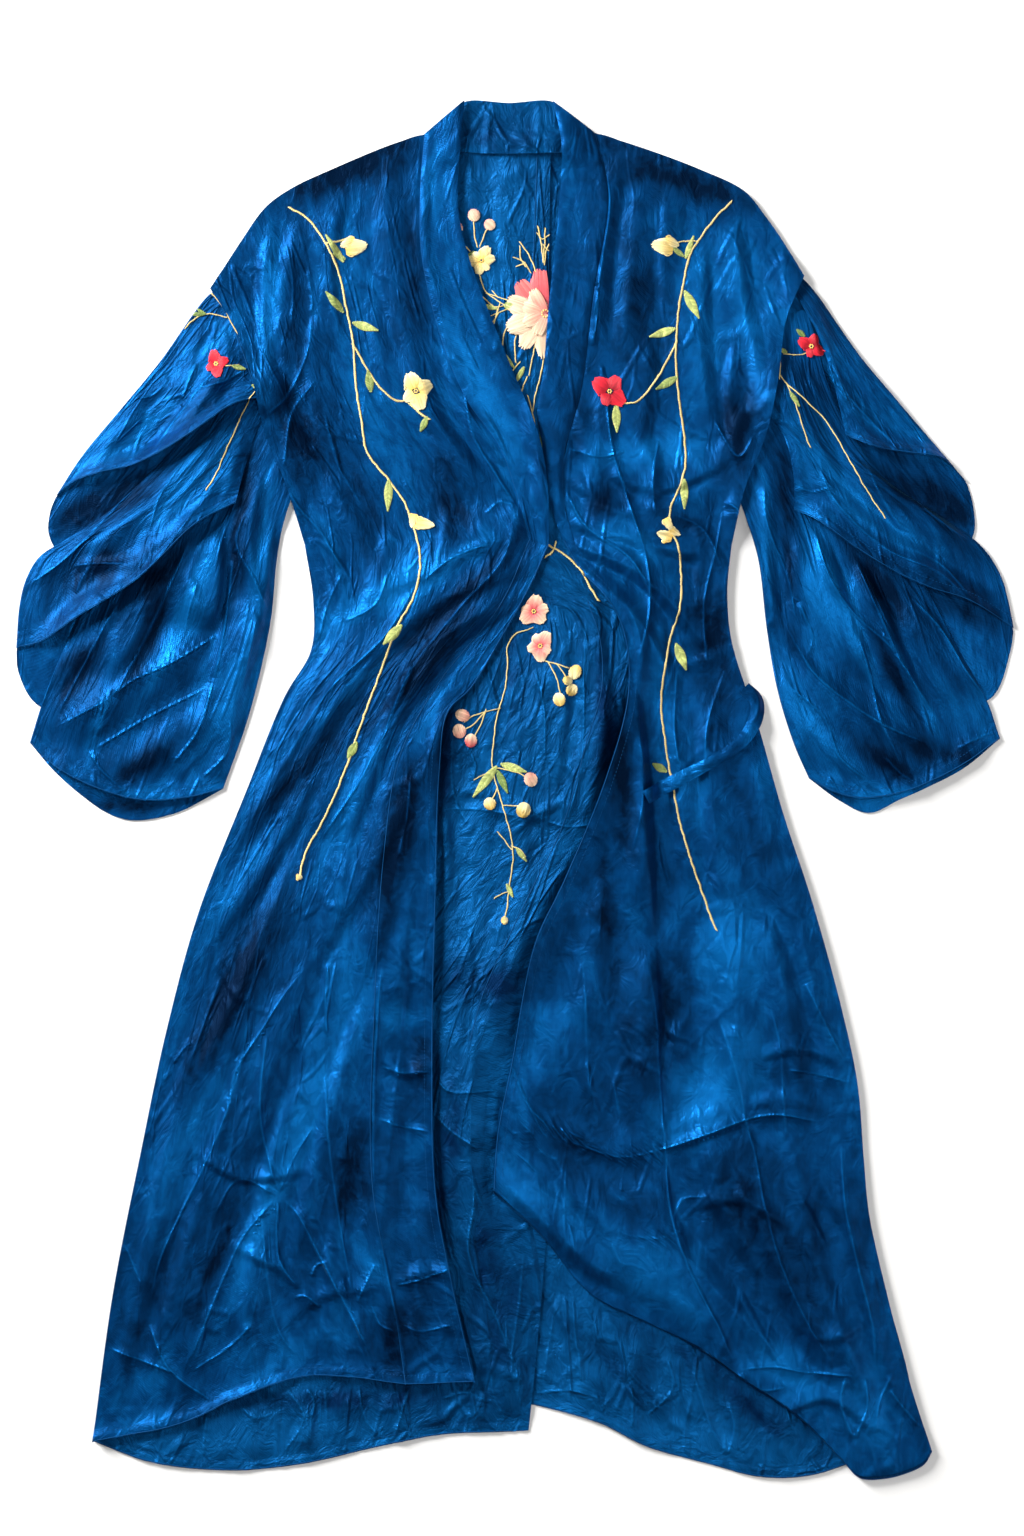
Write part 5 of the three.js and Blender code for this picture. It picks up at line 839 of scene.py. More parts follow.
def crease_field(rows, x, y):
    """Millimetres to the left of the nearest pressed crease, and how crisp the crease is there."""
    side, crisp, nearest = np.zeros(x.shape), np.zeros(x.shape), np.full(x.shape, CREASE_REACH)
    for strength, *places in rows:
        line = curve_points(list(zip(places[::2], places[1::2])), even(CREASE_STEPS), 240)
        low, high = line.min(0) - CREASE_REACH, line.max(0) + CREASE_REACH
        near = (x > low[0]) & (x < high[0]) & (y > low[1]) & (y < high[1])
        if not near.any():
            continue
        along = np.diff(line, axis=0)
        from_start = np.stack([x[near], y[near]], -1)[:, None] - line[:-1]
        part = np.clip((from_start * along).sum(-1) / (along ** 2).sum(-1), 0, 1)
        gap = from_start - part[..., None] * along
        best = np.hypot(gap[..., 0], gap[..., 1]).argmin(1)
        each = np.arange(len(best))
        gap, along = gap[each, best], along[best]
        away = np.hypot(gap[:, 0], gap[:, 1])
        left = np.sign(along[:, 0] * gap[:, 1] - along[:, 1] * gap[:, 0])
        share = (best + part[each, best]) / CREASE_STEPS
        power = strength * smooth_step(share, 0, 0.15) * smooth_step(1 - share, 0, 0.15)
        power *= 0.8 + 0.3 * soft_noise(share * 6, np.full(share.shape, places[0] + 0.5), 77)
        closer = away < nearest[near]
        side[near] = np.where(closer, away * left, side[near])
        crisp[near] = np.where(closer, power * np.exp(-(away / CREASE_FALL) ** 2), crisp[near])
        nearest[near] = np.minimum(away, nearest[near])
    return np.stack([side, crisp, np.zeros(x.shape)], -1)


def fold_lift(folds, x, y):
    """The ridges of a table of folds: rows are three points, height, half width and lean."""
    lift = np.zeros(x.shape)
    for x1, y1, x2, y2, x3, y3, height, width, lean in folds:
        line = curve_points(((x1, y1), (x2, y2), (x3, y3)), even(36), 72)
        reach = width * 1.5
        low, high = line.min(0) - reach, line.max(0) + reach
        near = (x > low[0]) & (x < high[0]) & (y > low[1]) & (y < high[1])
        if not near.any():
            continue
        px, py = x[near], y[near]
        a, b = line[:-1], line[1:]
        along = b - a
        size = (along ** 2).sum(1)
        rel = np.stack([px[:, None] - a[None, :, 0], py[:, None] - a[None, :, 1]], axis=-1)
        part = np.clip((rel * along).sum(-1) / size, 0, 1)
        away = rel - part[..., None] * along
        distance = np.hypot(away[..., 0], away[..., 1])
        k = distance.argmin(1)
        rows = np.arange(len(px))
        share = (k + part[rows, k]) / len(along)
        side = np.sign(along[k, 0] * rel[rows, k, 1] - along[k, 1] * rel[rows, k, 0])
        half = width * (1 + side * lean) * (0.75 + 0.5 * np.sin(math.pi * share) ** 0.5)
        across = np.clip(distance[rows, k] / half, 0, 1)
        round_top = 0.5 + 0.5 * np.cos(math.pi * across)
        fade = smooth_step(share, -0.06, 0.26) * smooth_step(1 - share, -0.06, 0.34)
        ridge = height * fade * (0.25 * round_top + 0.75 * (1 - across))
        if width < NARROW_FOLD:
            lift[near] += ridge
        else:
            lift[near] = np.cbrt(lift[near] ** 3 + ridge ** 3)
    return lift


# Pieces

LAID = {}


def sizes():
    return bpy.context.scene.robe_sizes


def colours():
    return bpy.context.scene.robe_colours


def linked(name, mesh):
    piece = bpy.data.objects.new(name, mesh)
    bpy.context.scene.collection.objects.link(piece)
    return piece


def wall(name, under, over, cloth, material):
    """A closed wall between two skins of one grid, with the cloth's own metres as its UV map."""
    rows, columns = over.shape[:2]
    count = rows * columns
    points = np.vstack([over.reshape(-1, 3), under.reshape(-1, 3)])
    points = (points + (SHIFT_X, SHIFT_Y, 0)) / 1000
    index = np.arange(count).reshape(rows, columns)
    top = np.stack([index[:-1, :-1], index[1:, :-1], index[1:, 1:], index[:-1, 1:]], -1).reshape(-1, 4)
    rim = np.concatenate([index[0], index[1:, -1], index[-1, -2::-1], index[-2:0:-1, 0]])
    ahead = np.roll(rim, -1)
    side = np.stack([rim, ahead, ahead + count, rim + count], -1)
    faces = np.vstack([top, top[:, ::-1] + count, side])
    a, b, c, d = (points[faces[:, k]] for k in range(4))
    volume = (a * np.cross(b, c)).sum() + (a * np.cross(c, d)).sum()
    if volume < 0:
        faces = faces[:, ::-1]
    mesh = bpy.data.meshes.new(name)
    mesh.from_pydata(points.tolist(), [], faces.tolist())
    mesh.polygons.foreach_set("use_smooth", np.ones(len(faces), bool))
    edge = np.empty(len(mesh.loops), np.int32)
    mesh.loops.foreach_get("edge_index", edge)
    sharp = np.zeros(len(mesh.edges), bool)
    sharp[edge[-4 * len(side):]] = True
    mesh.attributes.new("sharp_edge", "BOOLEAN", "EDGE").data.foreach_set("value", sharp)
    flat = np.tile(cloth.reshape(-1, 2) / 1000, (2, 1))
    layer = mesh.uv_layers.new(name="cloth")
    layer.data.foreach_set("uv", flat[faces.ravel()].astype(np.float32).ravel())
    # Painted light and shade for each point, which the silk material turns into darker and brighter colour
    painted_light = painted_light_at(over[..., 0], over[..., 1]).ravel()
    mesh.attributes.new("painted_light", "FLOAT", "POINT").data.foreach_set("value", np.tile(painted_light, 2))
    for kind, label in enumerate(("crease_down", "crease_across")):
        rows = [row[1:] for row in CREASES.get(name, ()) if row[0] == kind]
        field = crease_field(rows, over[..., 0], over[..., 1]).reshape(-1, 3)
        layer = mesh.attributes.new(label, "FLOAT_VECTOR", "POINT")
        layer.data.foreach_set("vector", np.tile(field, (2, 1)).ravel())
    mesh.materials.append(material)
    return linked(name, mesh)


def painted_light_at(x, y):
    """Painted light and shade at a place, from 0 for the deepest painted shade to 1 for the brightest
    painted highlight: soft patches, each with its own direction.
    """
    total = np.full(x.shape, 0.5)
    for px, py, long, short, angle, amount in PAINTED_LIGHT_PATCHES:
        turn = math.radians(angle)
        a = ((x - px) * math.cos(turn) + (y - py) * math.sin(turn)) / long
        b = ((y - py) * math.cos(turn) - (x - px) * math.sin(turn)) / short
        total += amount * np.exp(-(a * a + b * b) * 1.1)
    return np.clip(total, 0.0, 1.0)


def cloth_place(grid, width, length, across=None):
    """Each grid point's place on the flat cloth, in millimetres."""
    rows, columns = grid.shape[:2]
    u = even(columns - 1) if across is None else np.asarray(across)
    return np.stack(np.broadcast_arrays(u[None, :] * width, even(rows - 1)[:, None] * length), -1)


def from_edges(grid):
    """Distances from a grid's left, right, top and bottom edges."""
    across = np.linalg.norm(np.diff(grid[..., :2], axis=1), axis=-1)
    down = np.linalg.norm(np.diff(grid[..., :2], axis=0), axis=-1)
    left = np.pad(across.cumsum(1), ((0, 0), (1, 0)))
    top = np.pad(down.cumsum(0), ((1, 0), (0, 0)))
    return left, left[:, -1:] - left, top, top[-1:] - top


def area_of(grid):
    """The area of a plane grid in square metres."""
    p, q = grid[:-1, :-1, :2] - grid[1:, 1:, :2], grid[:-1, 1:, :2] - grid[1:, :-1, :2]
    return float(np.abs(p[..., 0] * q[..., 1] - p[..., 1] * q[..., 0]).sum() / 2e6)


def span_of(grid):
    """The widest and longest measures of a plane grid in metres."""
    left, _, top, _ = from_edges(grid)
    return float(left[:, -1].max() / 1000), float(top[-1].max() / 1000)


def crumpled(cloth, seed, soft, crisp):
    """Broad folds that run down the cloth, and facets with creases pressed across them."""
    s, t = cloth[..., 0], cloth[..., 1]
    broad = soft_noise((s + soft_noise(s / 120, t / 170, seed + 1) * 22) / 70, t / 300, seed + 2) * 2.4
    falls = facet_noise(s / 46, t / 190, seed + 3) * 1.9
    slanted = facet_noise((s + 0.5 * t) / 58, (t - 0.45 * s) / 150, seed + 4) * 2.0
    other = facet_noise((s - 0.7 * t) / 52, (t + 0.5 * s) / 104, seed + 5) * 1.7
    patch = smooth_step(soft_noise(s / 120, t / 140, seed + 6), -0.25, 0.5)
    small = facet_noise((s + 0.5 * t) / 24, (t - 0.5 * s) / 36, seed + 8) * 0.45
    tiny = facet_noise((s - 0.4 * t) / 13, (t + 0.2 * s) / 22, seed + 9) * 0.2
    return soft * broad + crisp * (falls + (0.45 + 0.55 * patch) * (slanted + other)
                                   + (0.3 + 0.7 * patch) * (small + tiny))


# The highest place that cloth may reach, inside the frame's box and its allowance
HIGHEST_CLOTH = 32.5


def floored(lift):
    """A lift that never goes below the sheet it rests on, without a hard corner."""
    return 0.5 * (lift + np.sqrt(lift * lift + 0.6))


def rested(grid, lift, reach=5):
    """The underside of a sheet laid on the pile, raised by its own folds."""
    x, y = grid[..., 0], grid[..., 1]
    rest = LAID["pile"].top(x, y, reach)
    rest = rest + sizes().gap * 1000 * smooth_step(rest, 0, 0.3)
    room = HIGHEST_CLOTH - rest
    raised = floored(lift) * sizes().fold_strength
    return np.dstack([x, y, rest + raised / (1 + (raised / room) ** 6) ** (1 / 6)])


def hem_lift(away, along, seed):
    """The sewn strip at a hem: a double fold with a line of stitches drawn in, and small puckers."""
    strip = 0.75 * (1 - smooth_step(away, 7.5, 9.5)) - 0.6 * np.exp(-((away - 8.4) / 1.3) ** 2)
    pucker = soft_noise(along / 8, away / 14, seed) * 0.8 * (1 - smooth_step(away, 5, 22))
    return strip + pucker


def moved_up(skin, height):
    raised = skin.copy()
    raised[..., 2] += height
    return raised


def laid_sheet(name, grid, cloth, lift, material, thick=None, reach=5):
    """A sheet in one layer: its object, with its upper skin kept for what is laid along it."""
    under = rested(grid, lift, reach)
    over = moved_up(under, thick or sizes().wall * 1000)
    LAID["pile"].add(over)
    LAID[name] = over
    return wall(name, under, over, cloth, material)


def lower_layer(grid, lift):
    """The lower layer of a folded sheet, its two skins."""
    under = rested(grid, lift, 3)
    over = moved_up(under, sizes().wall * 1000)
    LAID["pile"].add(over)
    return under, over


def folded_sheet(name, lower, grid, cloth, lower_cloth, lift, material):
    """A folded sheet: its lower layer, the round fold along the first columns and its upper layer."""
    thick = sizes().wall * 1000
    lower_under, lower_over = lower
    under = rested(grid, lift + 0.7, 5)
    over = moved_up(under, thick)
    edge = lower_under[:, 0]
    radius = np.maximum(over[:, 0, 2] - edge[:, 2], 2.4 * thick) / 2
    inward = grid[:, 1] - grid[:, 0]
    inward = inward / np.linalg.norm(inward, axis=-1, keepdims=True)
    middle = np.column_stack([edge[:, :2] + inward * radius[:, None], edge[:, 2] + radius])

    def arc(size):
        points = []
        for angle in np.radians([-90, -60, -30, 0, 30, 60, 90]):
            plan = middle[:, :2] - inward * (size * math.cos(angle))[:, None]
            points.append(np.column_stack([plan, middle[:, 2] + size * math.sin(angle)]))
        return np.stack(points, 1)

    outer = np.concatenate([lower_under[:, :0:-1], arc(radius), over[:, 1:]], 1)
    inner = np.concatenate([lower_over[:, :0:-1], arc(radius - thick), under[:, 1:]], 1)
    turn = np.stack(np.broadcast_arrays(np.linspace(-4, 4, 7)[None], cloth[:, :1, 1]), -1)
    turn[..., 0] += cloth[:, :1, 0]
    flat = np.concatenate([lower_cloth[:, :0:-1], turn, cloth[:, 1:]], 1)
    LAID["pile"].add(over)
    LAID["pile"].add(outer[:, lower_under.shape[1] - 1:])
    LAID[name] = over
    return wall(name, inner, outer, flat, material)


def settle(piece, node, grid, layers=1):
    """Hides the frame's part that a finished sheet stands for and hangs the sheet on the root; its width and
    length are measured but not used.
    """
    wide, long = span_of(grid)
    wide *= layers
    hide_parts(node)
    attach(piece, "root")
    return piece


# Materials

def node(tree, kind, inputs=None, **settings):
    """A new node with its settings, and its inputs set or linked."""
    made = tree.nodes.new(kind)
    for key, value in settings.items():
        setattr(made, key, value)
    for key, value in (inputs or {}).items():
        if isinstance(value, bpy.types.NodeSocket):
            tree.links.new(value, made.inputs[key])
        else:
            made.inputs[key].default_value = value
    return made


def new_material(name):
    material = bpy.data.materials.new(name)
    material.use_nodes = True
    tree = material.node_tree
    tree.nodes.clear()
    shader = node(tree, "ShaderNodeBsdfPrincipled")
    out = node(tree, "ShaderNodeOutputMaterial", {"Surface": shader.outputs[0]})
    out.location, shader.location = (500, 0), (200, 0)
    return material, tree, shader


def turned_noise(tree, where, angle, stretch_x, stretch_y, scale, detail=3.0, rough=0.5, warp=0.0):
    """Noise drawn out along one direction of the cloth."""
    mapped = node(tree, "ShaderNodeMapping", {
        "Vector": where, "Rotation": (0, 0, math.radians(angle)), "Scale": (stretch_x, stretch_y, 1)})
    return node(tree, "ShaderNodeTexNoise", {
        "Vector": mapped.outputs[0], "Scale": scale, "Detail": detail, "Roughness": rough,
        "Distortion": warp}, noise_dimensions="2D").outputs[0]


def ranged(tree, value, low, high, out_low, out_high, smooth=True):
    return node(tree, "ShaderNodeMapRange", {
        "Value": value, "From Min": low, "From Max": high, "To Min": out_low, "To Max": out_high},
        interpolation_type="SMOOTHSTEP" if smooth else "LINEAR").outputs[0]


def sum_of(tree, *values):
    total = values[0]
    for value in values[1:]:
        total = node(tree, "ShaderNodeMath", {0: total, 1: value}, operation="ADD").outputs[0]
    return total


def times(tree, value, factor):
    return node(tree, "ShaderNodeMath", {0: value, 1: factor}, operation="MULTIPLY").outputs[0]


def crease_net(tree, where, angle, stretch_x, stretch_y, scale, width, warp=0.25):
    """Straight creases that meet at points: 1 on a crease and 0 off it."""
    place = node(tree, "ShaderNodeMapping", {
        "Vector": where, "Rotation": (0, 0, math.radians(angle)),
        "Scale": (stretch_x, stretch_y, 1)}).outputs[0]
    shift = node(tree, "ShaderNodeTexNoise", {"Vector": place, "Scale": scale * 0.8, "Detail": 1.0})
    moved = node(tree, "ShaderNodeVectorMath", {
        0: shift.outputs["Color"], 1: (-0.5, -0.5, -0.5)}, operation="ADD").outputs[0]
    put = node(tree, "ShaderNodeVectorMath", {0: moved, 1: (warp / scale,) * 3, 2: place},
               operation="MULTIPLY_ADD").outputs[0]
    edge = node(tree, "ShaderNodeTexVoronoi", {"Vector": put, "Scale": scale},
                feature="DISTANCE_TO_EDGE").outputs["Distance"]
    return ranged(tree, edge, 0.0, width, 1.0, 0.0)


def pressed_creases(tree):
    """The sharp crest and the soft shoulders of the creases that two vertex attributes hold."""
    crests, shoulders = [], []
    for label in ("crease_down", "crease_across"):
        field = node(tree, "ShaderNodeSeparateXYZ", {
            0: node(tree, "ShaderNodeAttribute", attribute_name=label).outputs["Vector"]})
        away = node(tree, "ShaderNodeMath", {0: field.outputs[0]}, operation="ABSOLUTE").outputs[0]
        crests.append(times(tree, ranged(tree, away, 0.0, 2.2, 1.0, 0.0, False), field.outputs[1]))
        shoulders.append(field.outputs[1])
    return sum_of(tree, *crests), sum_of(tree, *shoulders)


def blend(tree, factor, first, second):
    """A colour between two others."""
    mix = node(tree, "ShaderNodeMix", data_type="RGBA", blend_type="MIX")
    for key, value in ((0, factor), (6, first), (7, second)):
        if isinstance(value, bpy.types.NodeSocket):
            tree.links.new(value, mix.inputs[key])
        else:
            mix.inputs[key].default_value = value
    return mix.outputs[2]


def silk(name, shade_to_highlight_colours, metal, rough, crumple):
    """Silk satin: a twill weave with uneven slubs, pressed creases, painted light and shade in patches, and
    a painted highlight along the creases' crests.
    """
    material, tree, shader = new_material(name)
    where = node(tree, "ShaderNodeUVMap", uv_map="cloth").outputs[0]
    painted_light = node(tree, "ShaderNodeAttribute", attribute_name="painted_light").outputs["Fac"]
    patches = turned_noise(tree, where, 12, 1.0, 0.35, 12, 4, 0.5, 0.3)
    mottle = turned_noise(tree, where, -25, 1.0, 0.7, 60, 4, 0.6, 0.3)
    slubs = turned_noise(tree, where, 2, 14, 420, 1.0, 3, 0.65)
    threads = turned_noise(tree, where, 0, 700, 18, 1.0, 2, 0.6)
    twill = node(tree, "ShaderNodeTexWave", {
        "Vector": node(tree, "ShaderNodeMapping", {
            "Vector": where, "Rotation": (0, 0, math.radians(52))}).outputs[0],
        "Scale": 190.0, "Distortion": 1.2, "Detail": 2.0, "Detail Scale": 2.0}).outputs[1]
    falls = crease_net(tree, where, 4, 1.0, 0.16, 21, 0.09, 0.5)
    creases = crease_net(tree, where, -38, 1.0, 0.4, 17, 0.05)
    nips = crease_net(tree, where, 33, 1.0, 0.45, 29, 0.07)
    fine = turned_noise(tree, where, 20, 1.0, 0.6, 120, 4, 0.55)
    crinkle = turned_noise(tree, where, 30, 1.0, 0.7, 52, 5, 0.6, 0.5)
    worn = ranged(tree, turned_noise(tree, where, 70, 1, 1, 14, 2, 0.5), 0.46, 0.6, 0.0, 1.0)
    frayed = ranged(tree, turned_noise(tree, where, 10, 1, 0.5, 26, 2, 0.5), 0.44, 0.6, 0.0, 1.0)
    crest, shoulder = pressed_creases(tree)
    # The tone adds the painted light and shade of the vertex attribute, a painted highlight along each
    # pressed crease's crest, and random patches and mottle
    tone = sum_of(tree, painted_light, times(tree, crest, 0.5), ranged(tree, patches, 0.3, 0.7, -0.1, 0.1),
                  ranged(tree, mottle, 0.3, 0.7, -0.11, 0.11))
    # The ramp runs from the painted shade colour through the satin's own colour to the painted highlight
    # colour
    ramp = node(tree, "ShaderNodeValToRGB", {"Fac": tone})
    stops = ramp.color_ramp.elements
    stops[0].position, stops[0].color = 0.08, shade_to_highlight_colours[0]
    stops[1].position, stops[1].color = 0.98, shade_to_highlight_colours[2]
    stops.new(0.5).color = shade_to_highlight_colours[1]
    thread_tone = ranged(tree, sum_of(tree, times(tree, slubs, 0.5), times(tree, threads, 0.5)),
                         0.36, 0.66, 0.95, 1.05)
    twill_tone = ranged(tree, twill, 0.0, 1.0, 0.95, 1.04)
    tinted = node(tree, "ShaderNodeVectorMath", {0: ramp.outputs[0],
                  "Scale": times(tree, thread_tone, twill_tone)}, operation="SCALE").outputs[0]
    tree.links.new(tinted, shader.inputs["Base Color"])
    gloss = ranged(tree, tone, 0.1, 0.9, rough + 0.06, rough - 0.04)
    tree.links.new(gloss, shader.inputs["Roughness"])
    pressed = times(tree, sum_of(tree, creases, times(tree, nips, 0.6)), worn)
    relief = sum_of(tree, times(tree, times(tree, falls, frayed), 0.35), pressed, times(tree, fine, 0.3),
                    times(tree, crinkle, 2.3))
    pinched = node(tree, "ShaderNodeBump", {
        "Height": sum_of(tree, crest, times(tree, shoulder, 1.3)), "Strength": 1.0, "Distance": 0.0017})
    soft = node(tree, "ShaderNodeBump", {"Height": relief, "Strength": 1.0, "Distance": crumple,
                                         "Normal": pinched.outputs[0]})
    weave = node(tree, "ShaderNodeBump", {
        "Height": sum_of(tree, times(tree, twill, 0.8), slubs, threads), "Strength": 0.7,
        "Distance": 0.0001, "Normal": soft.outputs[0]})
    tree.links.new(weave.outputs[0], shader.inputs["Normal"])
    tangent = node(tree, "ShaderNodeTangent", direction_type="UV_MAP", uv_map="cloth")
    tree.links.new(tangent.outputs[0], shader.inputs["Tangent"])
    for key, value in (("Metallic", metal), ("Anisotropic", 0.08), ("Specular IOR Level", 0.2),
                       ("Specular Tint", (0.1, 0.45, 1.0, 1.0)), ("Sheen Weight", 0.05),
                       ("Sheen Roughness", 0.35), ("Sheen Tint", (0.1, 0.5, 1.0, 1.0))):
        shader.inputs[key].default_value = value
    return material


def thread(name, colour, far, rough=0.5, gleam=0.4):
    """Silk embroidery thread, paler or deeper from stitch to stitch, with a fine twist along it."""
    material, tree, shader = new_material(name)
    tone = node(tree, "ShaderNodeAttribute", attribute_name="tone").outputs["Fac"]
    shade = node(tree, "ShaderNodeAttribute", attribute_name="shade").outputs["Fac"]
    where = node(tree, "ShaderNodeTexCoord").outputs["Object"]
    fuzz = node(tree, "ShaderNodeTexNoise", {
        "Vector": where, "Scale": 1400.0, "Detail": 2.0, "Roughness": 0.6}).outputs[0]
    wear = node(tree, "ShaderNodeTexNoise", {
        "Vector": where, "Scale": 90.0, "Detail": 3.0, "Roughness": 0.6}).outputs[0]
    base = blend(tree, tone, colour, far)
    light = times(tree, ranged(tree, shade, 0.0, 1.0, 0.74, 1.12, False),
                  ranged(tree, sum_of(tree, times(tree, fuzz, 0.5), times(tree, wear, 0.5)),
                         0.3, 0.7, 0.86, 1.1))
    tree.links.new(node(tree, "ShaderNodeVectorMath", {0: base, "Scale": light},
                        operation="SCALE").outputs[0], shader.inputs["Base Color"])
    tree.links.new(ranged(tree, fuzz, 0.3, 0.7, rough - 0.08, rough + 0.1), shader.inputs["Roughness"])
    bump = node(tree, "ShaderNodeBump", {"Height": fuzz, "Strength": 0.6, "Distance": 0.00015})
    tree.links.new(bump.outputs[0], shader.inputs["Normal"])
    for key, value in (("Specular IOR Level", gleam), ("Sheen Weight", gleam / 2), ("Sheen Roughness", 0.4),
                       ("Sheen Tint", far)):
        shader.inputs[key].default_value = value
    return material


def make_materials():
    """The finishes of the robe, made once."""
    if "materials" in LAID:
        return LAID["materials"]
    shades = colours()
    LAID["materials"] = {
        "silk": silk("silk_satin", (tuple(shades.silk_painted_shade), tuple(shades.silk), tuple(shades.silk_painted_highlight)),
                     0.5, 0.43, 0.0009),
        "silk_inside": silk("silk_wrong_side", (tuple(shades.inside_painted_shade), tuple(shades.inside),
                                                tuple(shades.inside_painted_highlight)), 0.4, 0.46, 0.0019),
        "thread_gold": thread("thread_gold", tuple(shades.stems), tuple(shades.stems)),
        "thread_leaf": thread("thread_leaf", tuple(shades.leaves), tuple(shades.leaf_tips)),
        "thread_cream": thread("thread_cream", tuple(shades.petal_hearts), tuple(shades.petals)),
        "thread_pink": thread("thread_pink", tuple(shades.pink_hearts), tuple(shades.pink_edges)),
        "thread_red": thread("thread_red", tuple(shades.red_hearts), tuple(shades.red_petals)),
        "thread_seam": thread("thread_seam", tuple(shades.seams), tuple(shades.seams), 0.5, 0.06),
    }
    return LAID["materials"]


# Trees that repeat stitches along paths

def new_tree(name, sockets):
    tree = bpy.data.node_groups.new(name, "GeometryNodeTree")
    tree.interface.new_socket("Geometry", in_out="OUTPUT", socket_type="NodeSocketGeometry")
    tree.interface.new_socket("Geometry", in_out="INPUT", socket_type="NodeSocketGeometry")
    for label, kind, value in sockets:
        made = tree.interface.new_socket(label, in_out="INPUT", socket_type=kind)
        if value is not None:
            made.default_value = value
    return tree, node(tree, "NodeGroupInput").outputs


def ended(tree, geometry, material):
    """Realizes what a tree has made and gives it its material."""
    smooth = node(tree, "GeometryNodeSetShadeSmooth", {"Geometry": geometry})
    real = node(tree, "GeometryNodeRealizeInstances", {"Geometry": smooth.outputs[0]})
    dressed = node(tree, "GeometryNodeSetMaterial", {"Geometry": real.outputs[0], "Material": material})
    node(tree, "NodeGroupOutput", {"Geometry": dressed.outputs[0]})
    return tree


def thread_tree():
    """A round thread along each line."""
    tree, given = new_tree("Threads", (
        ("Thickness", "NodeSocketFloat", 0.001), ("Sides", "NodeSocketInt", 5),
        ("Material", "NodeSocketMaterial", None)))
    lines = node(tree, "GeometryNodeMeshToCurve", {"Mesh": given["Geometry"]})
    half = node(tree, "ShaderNodeMath", {0: given["Thickness"], 1: 0.5}, operation="MULTIPLY")
    ring = node(tree, "GeometryNodeCurvePrimitiveCircle", {
        "Resolution": given["Sides"], "Radius": half.outputs[0]})
    tube = node(tree, "GeometryNodeCurveToMesh", {
        "Curve": lines.outputs[0], "Profile Curve": ring.outputs[0], "Fill Caps": True})
    return ended(tree, tube.outputs[0], given["Material"])


def stitch_tree():
    """Short slanted stitches, one after another along each line."""
    tree, given = new_tree("Stitches", (
        ("Pitch", "NodeSocketFloat", 0.003), ("Length", "NodeSocketFloat", 0.004),
        ("Thickness", "NodeSocketFloat", 0.001), ("Slant", "NodeSocketFloat", 0.2),
        ("Seed", "NodeSocketInt", 1), ("Material", "NodeSocketMaterial", None)))
    lines = node(tree, "GeometryNodeMeshToCurve", {"Mesh": given["Geometry"]})
    points = node(tree, "GeometryNodeCurveToPoints", {
        "Curve": lines.outputs[0], "Length": given["Pitch"]}, mode="LENGTH")
    aim = node(tree, "FunctionNodeAlignRotationToVector", {"Vector": points.outputs["Tangent"]},
               axis="X")
    stray = node(tree, "FunctionNodeRandomValue", {
        "Min": (-0.05, -0.12, -0.1), "Max": (0.05, 0.12, 0.1), "Seed": given["Seed"]},
        data_type="FLOAT_VECTOR")
    slant = node(tree, "ShaderNodeCombineXYZ", {"Z": given["Slant"]})
    turn = node(tree, "ShaderNodeVectorMath", {0: stray.outputs[0], 1: slant.outputs[0]}, operation="ADD")
    turned = node(tree, "FunctionNodeRotateRotation", {
        "Rotation": aim.outputs[0],
        "Rotate By": node(tree, "FunctionNodeEulerToRotation", {0: turn.outputs[0]}).outputs[0]},
        rotation_space="LOCAL")
    bead = node(tree, "GeometryNodeMeshUVSphere", {"Segments": 6, "Rings": 4, "Radius": 0.5})
    size = node(tree, "ShaderNodeCombineXYZ", {
        "X": given["Length"], "Y": given["Thickness"], "Z": given["Thickness"]})
    vary = node(tree, "FunctionNodeRandomValue", {
        "Min": (0.85, 0.85, 0.85), "Max": (1.15, 1.1, 1.1), "Seed": given["Seed"]},
        data_type="FLOAT_VECTOR")
    scale = node(tree, "ShaderNodeVectorMath", {0: size.outputs[0], 1: vary.outputs[0]},
                 operation="MULTIPLY")
    stitches = node(tree, "GeometryNodeInstanceOnPoints", {
        "Points": points.outputs["Points"], "Instance": bead.outputs["Mesh"],
        "Rotation": turned.outputs[0], "Scale": scale.outputs[0]})
    return ended(tree, stitches.outputs[0], given["Material"])


def knot_tree():
    """A small round knot on each point."""
    tree, given = new_tree("Knots", (
        ("Size", "NodeSocketFloat", 0.002), ("Seed", "NodeSocketInt", 3),
        ("Material", "NodeSocketMaterial", None)))
    points = node(tree, "GeometryNodeMeshToPoints", {"Mesh": given["Geometry"]})
    bead = node(tree, "GeometryNodeMeshUVSphere", {"Segments": 7, "Rings": 5, "Radius": 0.5})
    vary = node(tree, "FunctionNodeRandomValue", {
        "Min": (0.8, 0.8, 0.6), "Max": (1.15, 1.15, 0.85), "Seed": given["Seed"]},
        data_type="FLOAT_VECTOR")
    scale = node(tree, "ShaderNodeVectorMath", {0: vary.outputs[0], "Scale": given["Size"]},
                 operation="SCALE")
    knots = node(tree, "GeometryNodeInstanceOnPoints", {
        "Points": points.outputs[0], "Instance": bead.outputs["Mesh"], "Scale": scale.outputs[0]})
    return ended(tree, knots.outputs[0], given["Material"])


